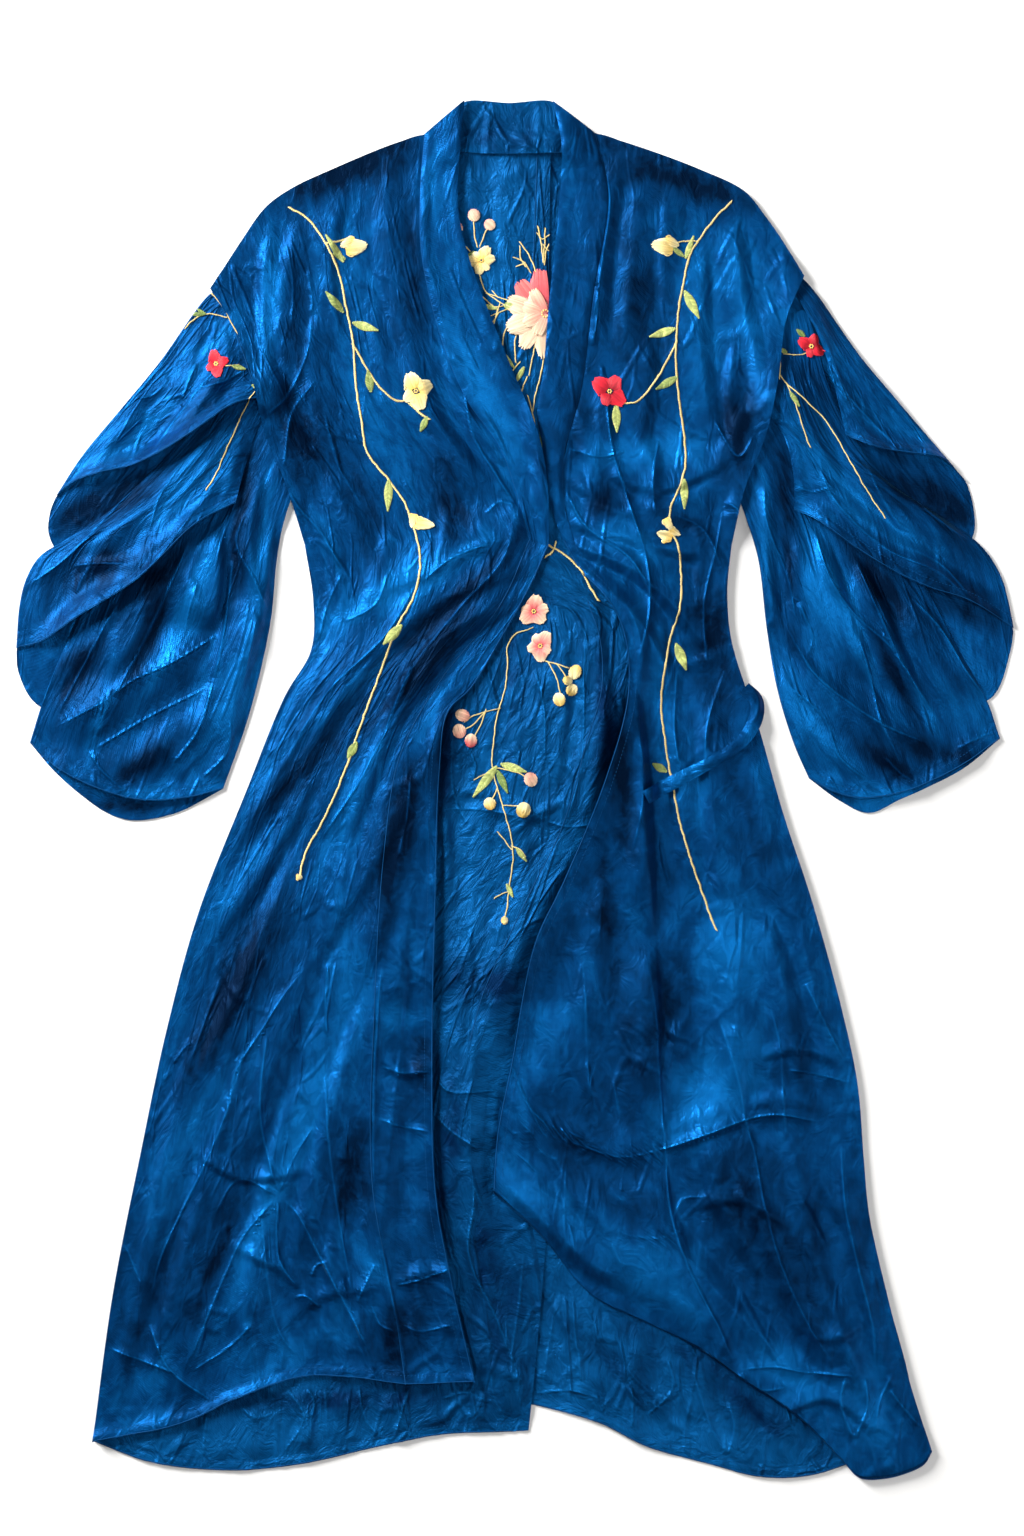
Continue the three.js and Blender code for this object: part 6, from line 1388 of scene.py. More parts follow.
def grown(name, lines, build, **values):
    """Runs a tree over lines of points and returns the plain mesh piece that it makes."""
    points, edges, tone, shade = [], [], [], []
    for line, line_tone, line_shade in lines:
        first = len(points)
        points.extend(map(tuple, line))
        edges.extend((first + k, first + k + 1) for k in range(len(line) - 1))
        tone.extend(line_tone)
        shade.extend([line_shade] * len(line))
    mesh = bpy.data.meshes.new(name + "_lines")
    mesh.from_pydata(points, edges, [])
    for label, numbers in (("tone", tone), ("shade", shade)):
        mesh.attributes.new(label, "FLOAT", "POINT").data.foreach_set("value", numbers)
    carrier = linked(name + "_lines", mesh)
    tree = build()
    modifier = carrier.modifiers.new("Sewing", "NODES")
    modifier.node_group = tree
    labels = {item.name: item.identifier for item in tree.interface.items_tree
              if item.item_type == "SOCKET" and item.in_out == "INPUT"}
    for label, value in values.items():
        modifier[labels[label.capitalize()]] = value
    graph = bpy.context.evaluated_depsgraph_get()
    made = bpy.data.meshes.new_from_object(carrier.evaluated_get(graph), preserve_all_data_layers=True,
                                           depsgraph=graph)
    made.name = name
    carrier.modifiers.clear()
    bpy.data.objects.remove(carrier)
    bpy.data.meshes.remove(mesh)
    bpy.data.node_groups.remove(tree)
    if not made.polygons:
        raise RuntimeError(f"{name}: the tree made no faces")
    piece = linked(name, made)
    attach(piece, "root")
    return piece


# What a user may change

def length_of_part(label, what, default, low, high):
    return bpy.props.FloatProperty(name=label, description=what, default=default, min=low, max=high,
                                   unit="LENGTH", precision=5)


class RobeSizes(bpy.types.PropertyGroup):
    """Sizes of the cloth, the sewing and the embroidery."""
    wall: length_of_part("Cloth", "Thickness of the cloth's wall", 0.0007, 0.0003, 0.002)
    collar_wall: length_of_part(
        "Collar band", "Thickness of the folded collar band", 0.0026, 0.0008, 0.004)
    gap: length_of_part(
        "Gap", "Clear space between pieces that lie on each other", 0.0002, 0.0001, 0.001)
    cell: length_of_part("Cell", "Size of the cells that the cloth is made of", 0.0034, 0.002, 0.02)
    stem: length_of_part("Stem thread", "Thickness of the couched stem cord", 0.0017, 0.0005, 0.004)
    petal_thread: length_of_part(
        "Petal thread", "Thickness of the satin stitch threads", 0.00125, 0.0004, 0.003)
    hem_pitch: length_of_part(
        "Hem stitches", "Distance from one hem stitch to the next", 0.0034, 0.002, 0.02)
    hem_width: length_of_part(
        "Hem width", "Distance of the hem's stitches from its edge", 0.008, 0.003, 0.03)
    fold_strength: bpy.props.FloatProperty(
        name="Fold height", description="Factor on the height of every fold", default=1.0, min=0.0, max=1.5)


def colour_of(label, what, value):
    return bpy.props.FloatVectorProperty(name=label, description=what, subtype="COLOR", size=4,
                                         min=0.0, max=1.0, default=(*value, 1.0))


class RobeColours(bpy.types.PropertyGroup):
    """Colours of the silk with its painted shade and painted highlight, the threads and the floor."""
    silk: colour_of("Silk", "The satin's face", (0.0005, 0.038, 0.142))
    # Silk, deep and Silk, bright are the colours of painted shade and painted highlight on the satin's face
    silk_painted_shade: colour_of("Silk, deep", "The satin's face where its sheen lies away", (0.0001, 0.0043, 0.02))
    silk_painted_highlight: colour_of("Silk, bright", "The satin's face where its sheen shows", (0.002, 0.11, 0.36))
    inside: colour_of("Inside", "The satin's wrong side", (0.0007, 0.048, 0.162))
    # Inside, deep and Inside, bright are the colours of painted shade and painted highlight on the wrong
    # side
    inside_painted_shade: colour_of("Inside, deep", "Deeper patches of the wrong side", (0.0002, 0.011, 0.05))
    inside_painted_highlight: colour_of("Inside, bright", "Brighter patches of the wrong side", (0.0025, 0.1, 0.32))
    seams: colour_of("Seams", "Sewing thread", (0.003, 0.062, 0.2))
    stems: colour_of("Stems", "Couched gold-cream cord", (0.72, 0.58, 0.24))
    leaves: colour_of("Leaves", "Olive green at a leaf's base", (0.16, 0.25, 0.06))
    leaf_tips: colour_of("Leaf tips", "Yellow-green at a leaf's tip", (0.55, 0.6, 0.2))
    petal_hearts: colour_of("Cream flower hearts", "Yellow at a cream petal's base", (0.82, 0.55, 0.12))
    petals: colour_of("Cream petals", "Pale yellow at a petal's edge", (0.93, 0.84, 0.5))
    pink_hearts: colour_of("Pink flower hearts", "Pink at a petal's base", (0.74, 0.07, 0.11))
    pink_edges: colour_of("Pink petals", "Cream pink at a petal's edge", (0.94, 0.72, 0.5))
    red_hearts: colour_of("Red flower hearts", "Deep red at a petal's base", (0.42, 0.004, 0.02))
    red_petals: colour_of("Red petals", "Bright red at a petal's edge", (0.82, 0.025, 0.05))
    floor: colour_of("Floor", "The pale floor", (0.9, 0.9, 0.9))


# The cloth of each piece, across and down, in millimetres
BACK_RIGHT_CLOTH, BACK_LEFT_CLOTH, COLLAR_BACK_CLOTH = (380, 1215), (420, 1245), (118, 50)
SLEEVE_BACK_CLOTH, SLEEVE_FRONT_CLOTH = (-240, 250), (240, 250)
FRONT_LEFT_CLOTH, TIE_CLOTH = (380, 1240), (14, 190)

# The back: how much of its relief what lies on it presses out, and the pleat's height, reach and run
PRESSED_OUT = 0.94
PLEAT_HEIGHT, PLEAT_REACH, LAP_REACH = 6.5, 46, 12
PLEAT_TOP, PLEAT_FULL, PLEAT_FADING, PLEAT_BOTTOM = 190, 120, -340, -475

def cells_over(length, cell=None):
    return max(6, round(length / ((cell or sizes().cell) * 1000)))


def cover_at(x, y):
    return sampled(LAID["cover"], x, y)


def front_outline(shoulder, side_above, side_below, edge, edge_below, hem, hem_strip):
    parts = [curve_points(table, even(40)) for table in (
        shoulder, edge, edge_below, backwards(joined(hem, hem_strip)),
        backwards(side_below), backwards(side_above))]
    return np.vstack(parts)


def lay_back():
    LAID["pile"] = Pile()
    material = make_materials()["silk_inside"]
    left_front = front_outline(SHOULDER_LEFT, SIDE_LEFT_ABOVE, SIDE_LEFT_BELOW, COLLAR_EDGE_LEFT,
                               SKIRT_EDGE_LEFT, HEM_FRONT_LEFT, HEM_STRIP_LEFT)
    right_front = front_outline(backwards(SHOULDER_RIGHT), SIDE_RIGHT_ABOVE, SIDE_RIGHT_BELOW,
                                COLLAR_EDGE_RIGHT, SKIRT_EDGE_RIGHT, backwards(HEM_FRONT_RIGHT),
                                backwards(HEM_STRIP_RIGHT))
    LAID["cover"] = cover_of((left_front, right_front))
    LAID["left_cover"] = cover_of((left_front,))
    side = tuple(SIDE_RIGHT_BELOW[:-1]) + (HEM_BACK_RIGHT[-1],)
    coarse = sizes().cell * 1.6
    across = even(cells_over(400, coarse))
    waist = (BACK_EDGE_RIGHT_BELOW[0], SIDE_RIGHT_BELOW[0])
    grid = below(
        stretch(joined(BACK_NECK_RIGHT, SHOULDER_RIGHT), waist, BACK_EDGE_RIGHT_ABOVE, SIDE_RIGHT_ABOVE,
                across, even(cells_over(385, coarse))),
        stretch(waist, HEM_BACK_RIGHT, BACK_EDGE_RIGHT_BELOW, side, across,
                to_hem(cells_over(830, coarse), 830)))
    cloth = cloth_place(grid, *BACK_RIGHT_CLOTH)
    x, y = grid[..., 0], grid[..., 1]
    shown = 1 - PRESSED_OUT * cover_at(x, y)
    hem = smooth_step(y, -700, -560)
    lift = 1.0 + fold_lift(FOLDS_BACK_RIGHT, x, y) + 1.5 * crumpled(cloth, 11, 0.4, 0.8)
    lift *= shown * (0.65 + 0.35 * (1 - hem))
    lift += hem_lift(from_edges(grid)[3], cloth[..., 0], 12) * shown
    piece = laid_sheet("back_right_cloth", grid, cloth, lift, material)
    settle(piece, "back_right", grid)

    across = even(cells_over(330))
    chest, skirt = even(cells_over(385)), to_hem(cells_over(860), 860)
    waist = (SIDE_LEFT_BELOW[0], PLEAT_CREST_BELOW[0])
    lap_waist = (PLEAT_CREST_BELOW[0], BACK_LAP_BELOW[0])
    lap = even(6)
    left = below(
        stretch(joined(SHOULDER_LEFT, BACK_NECK_LEFT), waist, SIDE_LEFT_ABOVE, PLEAT_CREST_ABOVE,
                across, chest),
        stretch(waist, HEM_BACK_LEFT[:-1] + (PLEAT_CREST_BELOW[-1],), SIDE_LEFT_BELOW[:-1]
                + (HEM_BACK_LEFT[0],), PLEAT_CREST_BELOW, across, skirt))
    right = below(
        stretch((PLEAT_CREST_ABOVE[0], BACK_LAP_ABOVE[0]), lap_waist, PLEAT_CREST_ABOVE, BACK_LAP_ABOVE,
                lap, chest),
        stretch(lap_waist, (PLEAT_CREST_BELOW[-1], BACK_LAP_BELOW[-1]), PLEAT_CREST_BELOW,
                BACK_LAP_BELOW, lap, skirt))
    grid = beside(left, right)
    shares = np.concatenate([across * 0.94, 0.94 + 0.06 * lap[1:]])
    cloth = cloth_place(grid, *BACK_LEFT_CLOTH, shares)
    x, y = grid[..., 0], grid[..., 1]
    shown = 1 - PRESSED_OUT * cover_at(x, y)
    crest = left[:, -1]
    away = np.hypot(x - crest[:, None, 0], y - crest[:, None, 1])
    on_left = np.arange(grid.shape[1])[None, :] < len(across)
    fade = smooth_step(PLEAT_TOP - y, 0, PLEAT_TOP - PLEAT_FULL) * smooth_step(y, PLEAT_BOTTOM, PLEAT_FADING)
    pleat = PLEAT_HEIGHT * fade * np.where(
        on_left, 1 - smooth_step(away, 0, PLEAT_REACH), 1 - smooth_step(away, 0, LAP_REACH))
    neck = smooth_step(y, 300, 420)
    folds = 1.0 + fold_lift(FOLDS_BACK_LEFT, x, y) + (1.5 - 0.9 * neck) * crumpled(cloth, 31, 0.4, 0.8)
    lift = np.maximum(folds * shown * 0.8 + 0.75 * pleat, pleat)
    lift += hem_lift(from_edges(grid)[3], cloth[..., 0], 32) * shown
    piece = laid_sheet("back_left_cloth", grid, cloth, lift, material)
    settle(piece, "back_left", grid)
    LAID["crest"] = crest

    grid = stretch(COLLAR_BACK_TOP, COLLAR_BACK_SEAM, (COLLAR_BACK_TOP[0], COLLAR_BACK_SEAM[0]),
                   (COLLAR_BACK_TOP[-1], COLLAR_BACK_SEAM[-1]), even(46), even(20))
    cloth = cloth_place(grid, *COLLAR_BACK_CLOTH)
    lift = 0.5 + 0.5 * soft_noise(cloth[..., 0] / 21, cloth[..., 1] / 60, 41)
    lift += 1.2 * facet_noise(cloth[..., 0] / 34, cloth[..., 1] / 90, 42)
    piece = laid_sheet("collar_back_cloth", grid, cloth, lift, material, sizes().collar_wall * 1000, 3)
    settle(piece, "collar_back", grid)


# The sleeves

def tier_grid(top, outer, hem, inner):
    """One layer of a fall, its columns closest at the outer fold."""
    upper = top or (outer[0], inner[0])
    inside = tuple(inner[:-1]) + (hem[-1],) if inner else (upper[-1], hem[-1])
    shares = np.linspace(0, 1, 58) ** 1.15
    down = to_hem(58, 250)
    return stretch(upper, hem, outer, inside, shares, down)


# Each fall, from the outermost: its back and front outlines, its folds and how far its rim stands off
TIERS = (
    ("sleeve_left_tier_1", (LEFT_TIER_1_TOP, LEFT_TIER_1_OUTER, LEFT_TIER_1_BACK_HEM, None),
     (LEFT_TIER_1_TOP, LEFT_TIER_1_OUTER, LEFT_TIER_1_FRONT_HEM, None), FOLDS_SLEEVE_LEFT_1, 12.0),
    ("sleeve_left_tier_2", (None, LEFT_TIER_2_OUTER, LEFT_TIER_2_BACK_HEM, LEFT_TIER_2_INNER),
     (None, LEFT_TIER_2_OUTER, LEFT_TIER_2_FRONT_HEM, LEFT_TIER_2_INNER), FOLDS_SLEEVE_LEFT_2, 11.0),
    ("sleeve_left_tier_3", (LEFT_TIER_3_TOP, LEFT_TIER_3_OUTER, LEFT_TIER_3_BACK_HEM, LEFT_TIER_3_INNER),
     (LEFT_TIER_3_TOP, LEFT_TIER_3_OUTER, LEFT_TIER_3_FRONT_HEM, LEFT_TIER_3_INNER),
     FOLDS_SLEEVE_LEFT_3, 5.0),
    ("sleeve_right_tier_1", (RIGHT_TIER_1_BACK_TOP, RIGHT_TIER_1_OUTER, RIGHT_TIER_1_BACK_HEM, None),
     (None, RIGHT_TIER_1_OUTER, RIGHT_TIER_1_FRONT_HEM, RIGHT_TIER_1_INNER), FOLDS_SLEEVE_RIGHT_1, 12.0),
    ("sleeve_right_tier_2", (RIGHT_TIER_2_TOP, RIGHT_TIER_2_OUTER, RIGHT_TIER_2_BACK_HEM,
                             RIGHT_TIER_2_INNER),
     (RIGHT_TIER_2_TOP, RIGHT_TIER_2_OUTER, RIGHT_TIER_2_FRONT_HEM, RIGHT_TIER_2_INNER),
     FOLDS_SLEEVE_RIGHT_2, 11.0),
    ("sleeve_right_tier_3", (RIGHT_TIER_3_TOP, RIGHT_TIER_3_OUTER, RIGHT_TIER_3_BACK_HEM,
                             RIGHT_TIER_3_INNER),
     (RIGHT_TIER_3_TOP, RIGHT_TIER_3_OUTER, RIGHT_TIER_3_FRONT_HEM, RIGHT_TIER_3_INNER),
     FOLDS_SLEEVE_RIGHT_3, 5.0),
)


def lay_sleeves():
    material = make_materials()["silk"]
    lowers = []
    for k, (name, back, _, _, _) in enumerate(TIERS):
        grid = tier_grid(*back)
        cloth = cloth_place(grid, *SLEEVE_BACK_CLOTH)
        left, right, top, bottom = from_edges(grid)
        lift = 0.5 * crumpled(cloth, 50 + k, 0.5, 0.7) * smooth_step(left, 2, 20)
        lowers.append((lower_layer(grid, lift), cloth, area_of(grid)))
    for k in reversed(range(len(TIERS))):
        name, _, front, folds, free = TIERS[k]
        lower, lower_cloth, lower_area = lowers[k]
        grid = tier_grid(*front)
        cloth = cloth_place(grid, *SLEEVE_FRONT_CLOTH)
        x, y = grid[..., 0], grid[..., 1]
        left, right, top, bottom = from_edges(grid)
        from_body = smooth_step(top, 0, 40)
        fan = soft_noise(cloth[..., 0] / 40, cloth[..., 1] / 300, 70 + k) * 1.6
        fan += facet_noise(cloth[..., 0] / 40 + 0.4, cloth[..., 1] / 160, 80 + k) * 1.4
        lift = fold_lift(folds, x, y) + fan + 0.65 * crumpled(cloth, 60 + k, 0.4, 0.9)
        lift *= (0.35 + 0.65 * smooth_step(left, 4, 34)) * (0.5 + 0.5 * from_body)
        rim = (1 - smooth_step(bottom, 0, 30)) * smooth_step(left, 8, 46) * smooth_step(right, 0, 40)
        lift += rim * (free - 0.4 * lift) + hem_lift(bottom, cloth[..., 0], 90 + k)
        piece = folded_sheet(name + "_cloth", lower, grid, cloth, lower_cloth, lift, material)
        settle(piece, name, grid, layers=2)


# The fronts and the collar: where the collar bands end, and how deep the right front's hem is turned
# under at its corner and at its side
BAND_END, TURN_AT_CORNER, TURN_AT_SIDE = 225, 14, 90

def front_grid(shoulder, side_above, side_below, seam, edge, fold_below, edge_below, hem, hem_strip):
    """A front from shoulder to hem, its collar and edge strip in the last columns."""
    across, strip = even(cells_over(290)), even(cells_over(44))
    chest, skirt = even(cells_over(385)), to_hem(cells_over(850), 850)
    waist, waist_strip = (side_below[0], fold_below[0]), (fold_below[0], edge_below[0])
    return below(
        beside(stretch(shoulder, waist, side_above, seam, across, chest),
               stretch((seam[0], edge[0]), waist_strip, seam, edge, strip, chest)),
        beside(stretch(waist, hem, side_below, fold_below, across, skirt),
               stretch(waist_strip, hem_strip, fold_below, edge_below, strip, skirt)),
    ), len(across) - 1, len(chest) - 1


def front_lift(grid, cloth, folds, seed, columns, soften):
    """A front's folds, calmer at its side, its shoulder and under the collar band."""
    x, y = grid[..., 0], grid[..., 1]
    left, right, top, bottom = from_edges(grid)
    band = np.arange(grid.shape[1])[None, :] >= columns
    calm = 0.85 + 0.35 * smooth_step(-y, -330, 60)
    lift = fold_lift(folds, x, y) + calm * crumpled(cloth, seed, 0.8, 1.0)
    lift *= 0.3 + 0.7 * smooth_step(left, 3, 36)
    lift *= 0.5 + 0.5 * smooth_step(top, 0, 40)
    on_band = np.where(band & (y > BAND_END), soften, 1.0)
    return 2.0 + lift * on_band


def collar_band(name, node, strip, cloth, side):
    """The collar's folded band, along the front's own points and above them."""
    left, right, top, bottom = from_edges(strip)
    thick = sizes().collar_wall * 1000
    roll = 1 - smooth_step(np.minimum(left, right), 0, 3.5)
    soft = 0.5 * soft_noise(cloth[..., 0] / 16, cloth[..., 1] / 120, side) + 0.5
    along = facet_noise(cloth[..., 0] / 16, cloth[..., 1] / 150, side + 1) * 0.7
    puff = (soft + along) * smooth_step(np.minimum(left, right), 0, 8) * 0.9
    taper = smooth_step(bottom, 0, 60)
    under = moved_up(strip, sizes().gap * 1000)
    over = under.copy()
    over[..., 2] += 0.5 + (thick - 0.5) * taper * (1 - 0.6 * roll) + puff * taper
    LAID["pile"].add(over)
    LAID[name] = over
    piece = wall(name, under, over, cloth, make_materials()["silk"])
    settle(piece, node, strip)


def lay_right_front():
    grid, columns, waist = front_grid(
        backwards(SHOULDER_RIGHT), SIDE_RIGHT_ABOVE, SIDE_RIGHT_BELOW, COLLAR_SEAM_RIGHT,
        COLLAR_EDGE_RIGHT, SKIRT_FOLD_RIGHT, SKIRT_EDGE_RIGHT, backwards(HEM_FRONT_RIGHT),
        backwards(HEM_STRIP_RIGHT))
    cloth = grid[..., :2] * (1, -1)
    lift = front_lift(grid, cloth, FOLDS_FRONT_RIGHT, 101, columns, 0.5)
    lift *= 1 - 0.65 * sampled(LAID["left_cover"], grid[..., 0], grid[..., 1])
    from_hem = grid[::-1].transpose(1, 0, 2)
    hem_cloth = cloth[::-1].transpose(1, 0, 2)
    hem_lift = lift[::-1].T
    share = np.linspace(0, 1, from_hem.shape[0])
    depth = TURN_AT_CORNER + (TURN_AT_SIDE - TURN_AT_CORNER) * share
    inward = from_hem[:, 1] - from_hem[:, 0]
    inward /= np.linalg.norm(inward, axis=-1, keepdims=True)
    steps = even(18)
    turn = from_hem[:, :1] + inward[:, None] * (depth[:, None] * steps)[..., None]
    turn_cloth = np.stack([np.broadcast_to(hem_cloth[:, :1, 0], turn.shape[:2]),
                           hem_cloth[:, :1, 1] + depth[:, None] * steps], -1)
    lower = lower_layer(turn, 0.4 * crumpled(turn_cloth, 120, 0.4, 0.8))
    piece = folded_sheet("front_right_cloth", lower, from_hem, hem_cloth, turn_cloth, hem_lift,
                         make_materials()["silk"])
    settle(piece, "front_right", grid)
    top = LAID["front_right_cloth"].transpose(1, 0, 2)[::-1]
    LAID["front_right_grid"] = top
    strip, place = top[:waist + 1, columns:], cloth[:waist + 1, columns:]
    collar_band("collar_right_cloth", "collar_right", strip, place, 131)


def lay_left_front():
    grid, columns, waist = front_grid(
        SHOULDER_LEFT, SIDE_LEFT_ABOVE, SIDE_LEFT_BELOW, COLLAR_SEAM_LEFT, COLLAR_EDGE_LEFT,
        SKIRT_FOLD_LEFT, SKIRT_EDGE_LEFT, HEM_FRONT_LEFT, HEM_STRIP_LEFT)
    cloth = cloth_place(grid, *FRONT_LEFT_CLOTH)
    lift = front_lift(grid, cloth, FOLDS_FRONT_LEFT, 141, columns, 0.5)
    _, right, _, bottom = from_edges(grid)
    lift += 3.0 * (1 - smooth_step(bottom, 0, 18)) + hem_lift(bottom, cloth[..., 0], 142)
    piece = laid_sheet("front_left_cloth", grid, cloth, lift, make_materials()["silk"])
    settle(piece, "front_left", grid)
    top = LAID["front_left_cloth"]
    LAID["front_left_grid"] = top
    strip, place = top[:waist + 1, columns:], cloth[:waist + 1, columns:]
    collar_band("collar_left_cloth", "collar_left", strip, place, 151)


def lay_tie():
    count = 74
    line = curve_points(TIE, even(count))
    along = np.gradient(line, axis=0)
    along /= np.linalg.norm(along, axis=1, keepdims=True)
    side = np.column_stack([-along[:, 1], along[:, 0]])
    offsets = np.linspace(-0.5, 0.5, 7)
    width = 12.5 + 1.2 * np.sin(np.linspace(0, 9, count + 1))
    grid = line[:, None] + side[:, None] * (offsets[None, :] * width[:, None])[..., None]
    cloth = cloth_place(grid, *TIE_CLOTH)
    hump = 1.2 * np.cos(offsets * math.pi)[None, :] + 0.8
    lift = hump + 0.9 * soft_noise(cloth[..., 0] / 9, cloth[..., 1] / 16, 161)
    piece = laid_sheet("tie_cloth", grid, cloth, lift, make_materials()["silk"], 1.2, 3)
    settle(piece, "tie", grid)


# Sewing: seams, hems and their stitches

class Ground:
    """Finds the top of laid pieces under a place on the surface."""

    def __init__(self, *names):
        points, faces = [], []
        for name in names:
            mesh = bpy.data.objects[name].data
            first = len(points)
            points.extend(v.co.copy() for v in mesh.vertices)
            faces.extend([first + v for v in face.vertices] for face in mesh.polygons)
        self.tree = BVHTree.FromPolygons(points, faces)

    def at(self, x, y, above=0.0):
        """The top's point in metres, this many millimetres above it, or None beside the pieces."""
        place = Vector(((x + SHIFT_X) / 1000, (y + SHIFT_Y) / 1000, 0.2))
        hit = self.tree.ray_cast(place, Vector((0, 0, -1)))[0]
        return None if hit is None else (hit.x, hit.y, hit.z + above / 1000)

    def along(self, line, above=0.0):
        """A line of plane points put on the top, cut where it leaves the pieces."""
        runs, run = [], []
        for x, y in line:
            point = self.at(x, y, above)
            if point is None:
                if len(run) > 2:
                    runs.append(run)
                run = []
            else:
                run.append(point)
        if len(run) > 2:
            runs.append(run)
        return runs


def drawn(table, spacing=2.5):
    return curve_points(table, even(max(4, round(length_of(table) / spacing))))


def moved_in(line, distance):
    """A plane line moved sideways, to its left where the distance is above 0."""
    along = np.gradient(line, axis=0)
    along /= np.linalg.norm(along, axis=1, keepdims=True)
    return line + np.column_stack([-along[:, 1], along[:, 0]]) * distance


HEMS = (
    ("front_left_cloth", joined(HEM_FRONT_LEFT, HEM_STRIP_LEFT), 1),
    ("front_left_cloth", SKIRT_EDGE_LEFT, -1),
    ("front_right_cloth", SKIRT_EDGE_RIGHT, 1),
    ("back_left_cloth", HEM_BACK_LEFT[:-1] + (PLEAT_CREST_BELOW[-1],), 1),
    ("back_right_cloth", HEM_BACK_RIGHT, 1),
    ("sleeve_left_tier_1_cloth", LEFT_TIER_1_FRONT_HEM, 1),
    ("sleeve_left_tier_2_cloth", LEFT_TIER_2_FRONT_HEM, 1),
    ("sleeve_left_tier_3_cloth", LEFT_TIER_3_FRONT_HEM, 1),
    ("sleeve_right_tier_1_cloth", RIGHT_TIER_1_FRONT_HEM, -1),
    ("sleeve_right_tier_2_cloth", RIGHT_TIER_2_FRONT_HEM, -1),
    ("sleeve_right_tier_3_cloth", RIGHT_TIER_3_FRONT_HEM, -1),
)
SEAMS = (
    ("front_left_cloth", COLLAR_SEAM_LEFT), ("front_right_cloth", COLLAR_SEAM_RIGHT),
    ("front_left_cloth", SKIRT_FOLD_LEFT), ("collar_back_cloth", COLLAR_BACK_SEAM),
    ("back_left_cloth", CENTRE_SEAM), ("sleeve_left_tier_1_cloth", ARMHOLE_LEFT),
    ("sleeve_right_tier_1_cloth", ARMHOLE_RIGHT), ("back_left_cloth", BAND_SEAM),
)


def sew_edges():
    material = make_materials()["thread_seam"]
    stitches, ridges = [], []
    for name, table, side in HEMS:
        ground = Ground(name)
        line = drawn(table)
        for run in ground.along(moved_in(line, side * sizes().hem_width * 1000), 0.1):
            stitches.append((run, [0.5] * len(run), 0.6))
        for run in ground.along(moved_in(line, side * 1.0), 0.15):
            ridges.append((run, [0.5] * len(run), 0.5))
    for name, table in SEAMS:
        ground = Ground(name)
        for run in ground.along(drawn(table), 0.05):
            ridges.append((run, [0.4] * len(run), 0.35))
    sewn = grown("hem_stitches", stitches, stitch_tree, pitch=sizes().hem_pitch, length=0.0024,
                 thickness=0.00055, slant=0.12, seed=5, material=material)
    piped = grown("seam_ridges", ridges, thread_tree, thickness=0.0008, sides=4, material=material)


# Embroidery

def round_threads(ground, x, y, angle, length, width, height, seed):
    """Satin stitches side by side over a small round berry or bud."""
    rng = np.random.default_rng(seed)
    turn = math.radians(angle)
    count = max(6, round(width / 0.9))
    lines = []
    for t in np.linspace(-1, 1, count):
        half = length / 2 * math.sqrt(1 - 0.88 * t * t) * rng.uniform(0.97, 1.02)
        points, tone = [], []
        for s in np.linspace(-1, 1, 6):
            ahead, aside = s * half, t * width / 2
            rise = height * math.sqrt(max(0.0, 1 - 0.9 * s * s)) * (1 - 0.55 * t * t) + 0.3
            point = ground.at(x + math.cos(turn) * ahead - math.sin(turn) * aside,
                              y + math.sin(turn) * ahead + math.cos(turn) * aside, rise)
            if point is not None:
                points.append(point)
                tone.append(min(1.0, max(0.0, 0.5 + 0.5 * s + rng.uniform(-0.08, 0.08))))
        if len(points) == 6:
            lines.append((points, tone, float(rng.uniform(0, 1))))
    return lines


def domed_threads(ground, x, y, angle, length, width, height, count, taper, seed, notch=0.0, start=0.0,
                  base=0.0):
    """Satin stitches side by side from a petal's base to its rounded edge, over a padded dome."""
    rng = np.random.default_rng(seed)
    turn = math.radians(angle)
    ahead, aside = (math.cos(turn), math.sin(turn)), (-math.sin(turn), math.cos(turn))
    lines = []
    for k in range(count):
        t = -1 + 2 * k / max(1, count - 1)
        reach = length * (math.sqrt(max(0.0, 1 - 0.86 * t * t)) - notch * max(0.0, 1 - 5 * t * t))
        reach *= rng.uniform(0.95, 1.03)
        points, tone = [], []
        for s in np.linspace(0, 1, 6):
            away = start + (reach - start) * s
            spread = t * width / 2 * (taper + (1 - taper) * math.sin(math.pi * min(1.0, 0.12 + 0.62 * s)))
            px = x + ahead[0] * away + aside[0] * spread
            py = y + ahead[1] * away + aside[1] * spread
            rise = height * math.sin(math.pi * (0.08 + 0.84 * s)) ** 0.7 * (1 - 0.6 * t * t) + 0.25 + base
            point = ground.at(px, py, rise)
            if point is not None:
                points.append(point)
                tone.append(min(1.0, max(0.0, s + rng.uniform(-0.08, 0.08))))
        if len(points) == 6:
            lines.append((points, tone, float(rng.uniform(0, 1))))
    return lines


def leaf_threads(ground, x1, y1, x2, y2, width, tone, seed):
    """Slanted stitches from both edges of a leaf to its middle rib."""
    rng = np.random.default_rng(seed)
    length = math.hypot(x2 - x1, y2 - y1)
    ahead = ((x2 - x1) / length, (y2 - y1) / length)
    aside = (-ahead[1], ahead[0])
    lines = []
    count = max(6, round(length / 1.15))
    for k in range(count):
        s = (k + 0.5) / count
        half = width / 2 * math.sin(math.pi * s ** 0.75) * (1.15 - 0.5 * s) + 0.3
        for side in (-1, 1):
            points = []
            for q in np.linspace(0, 1, 4):
                away = length * s + q * half * 0.75
                px = x1 + ahead[0] * away + aside[0] * half * q * side
                py = y1 + ahead[1] * away + aside[1] * half * q * side
                point = ground.at(px, py, 0.25 + 0.75 * math.sin(math.pi * (0.25 + 0.7 * q)))
                if point is not None:
                    points.append(point)
            if len(points) == 4:
                mix = min(1.0, max(0.0, {0: 0.75, 1: 0.35, 2: 0.0}[tone] + rng.uniform(-0.2, 0.25)))
                lines.append((points, [mix] * 4, float(rng.uniform(0, 1))))
    return lines


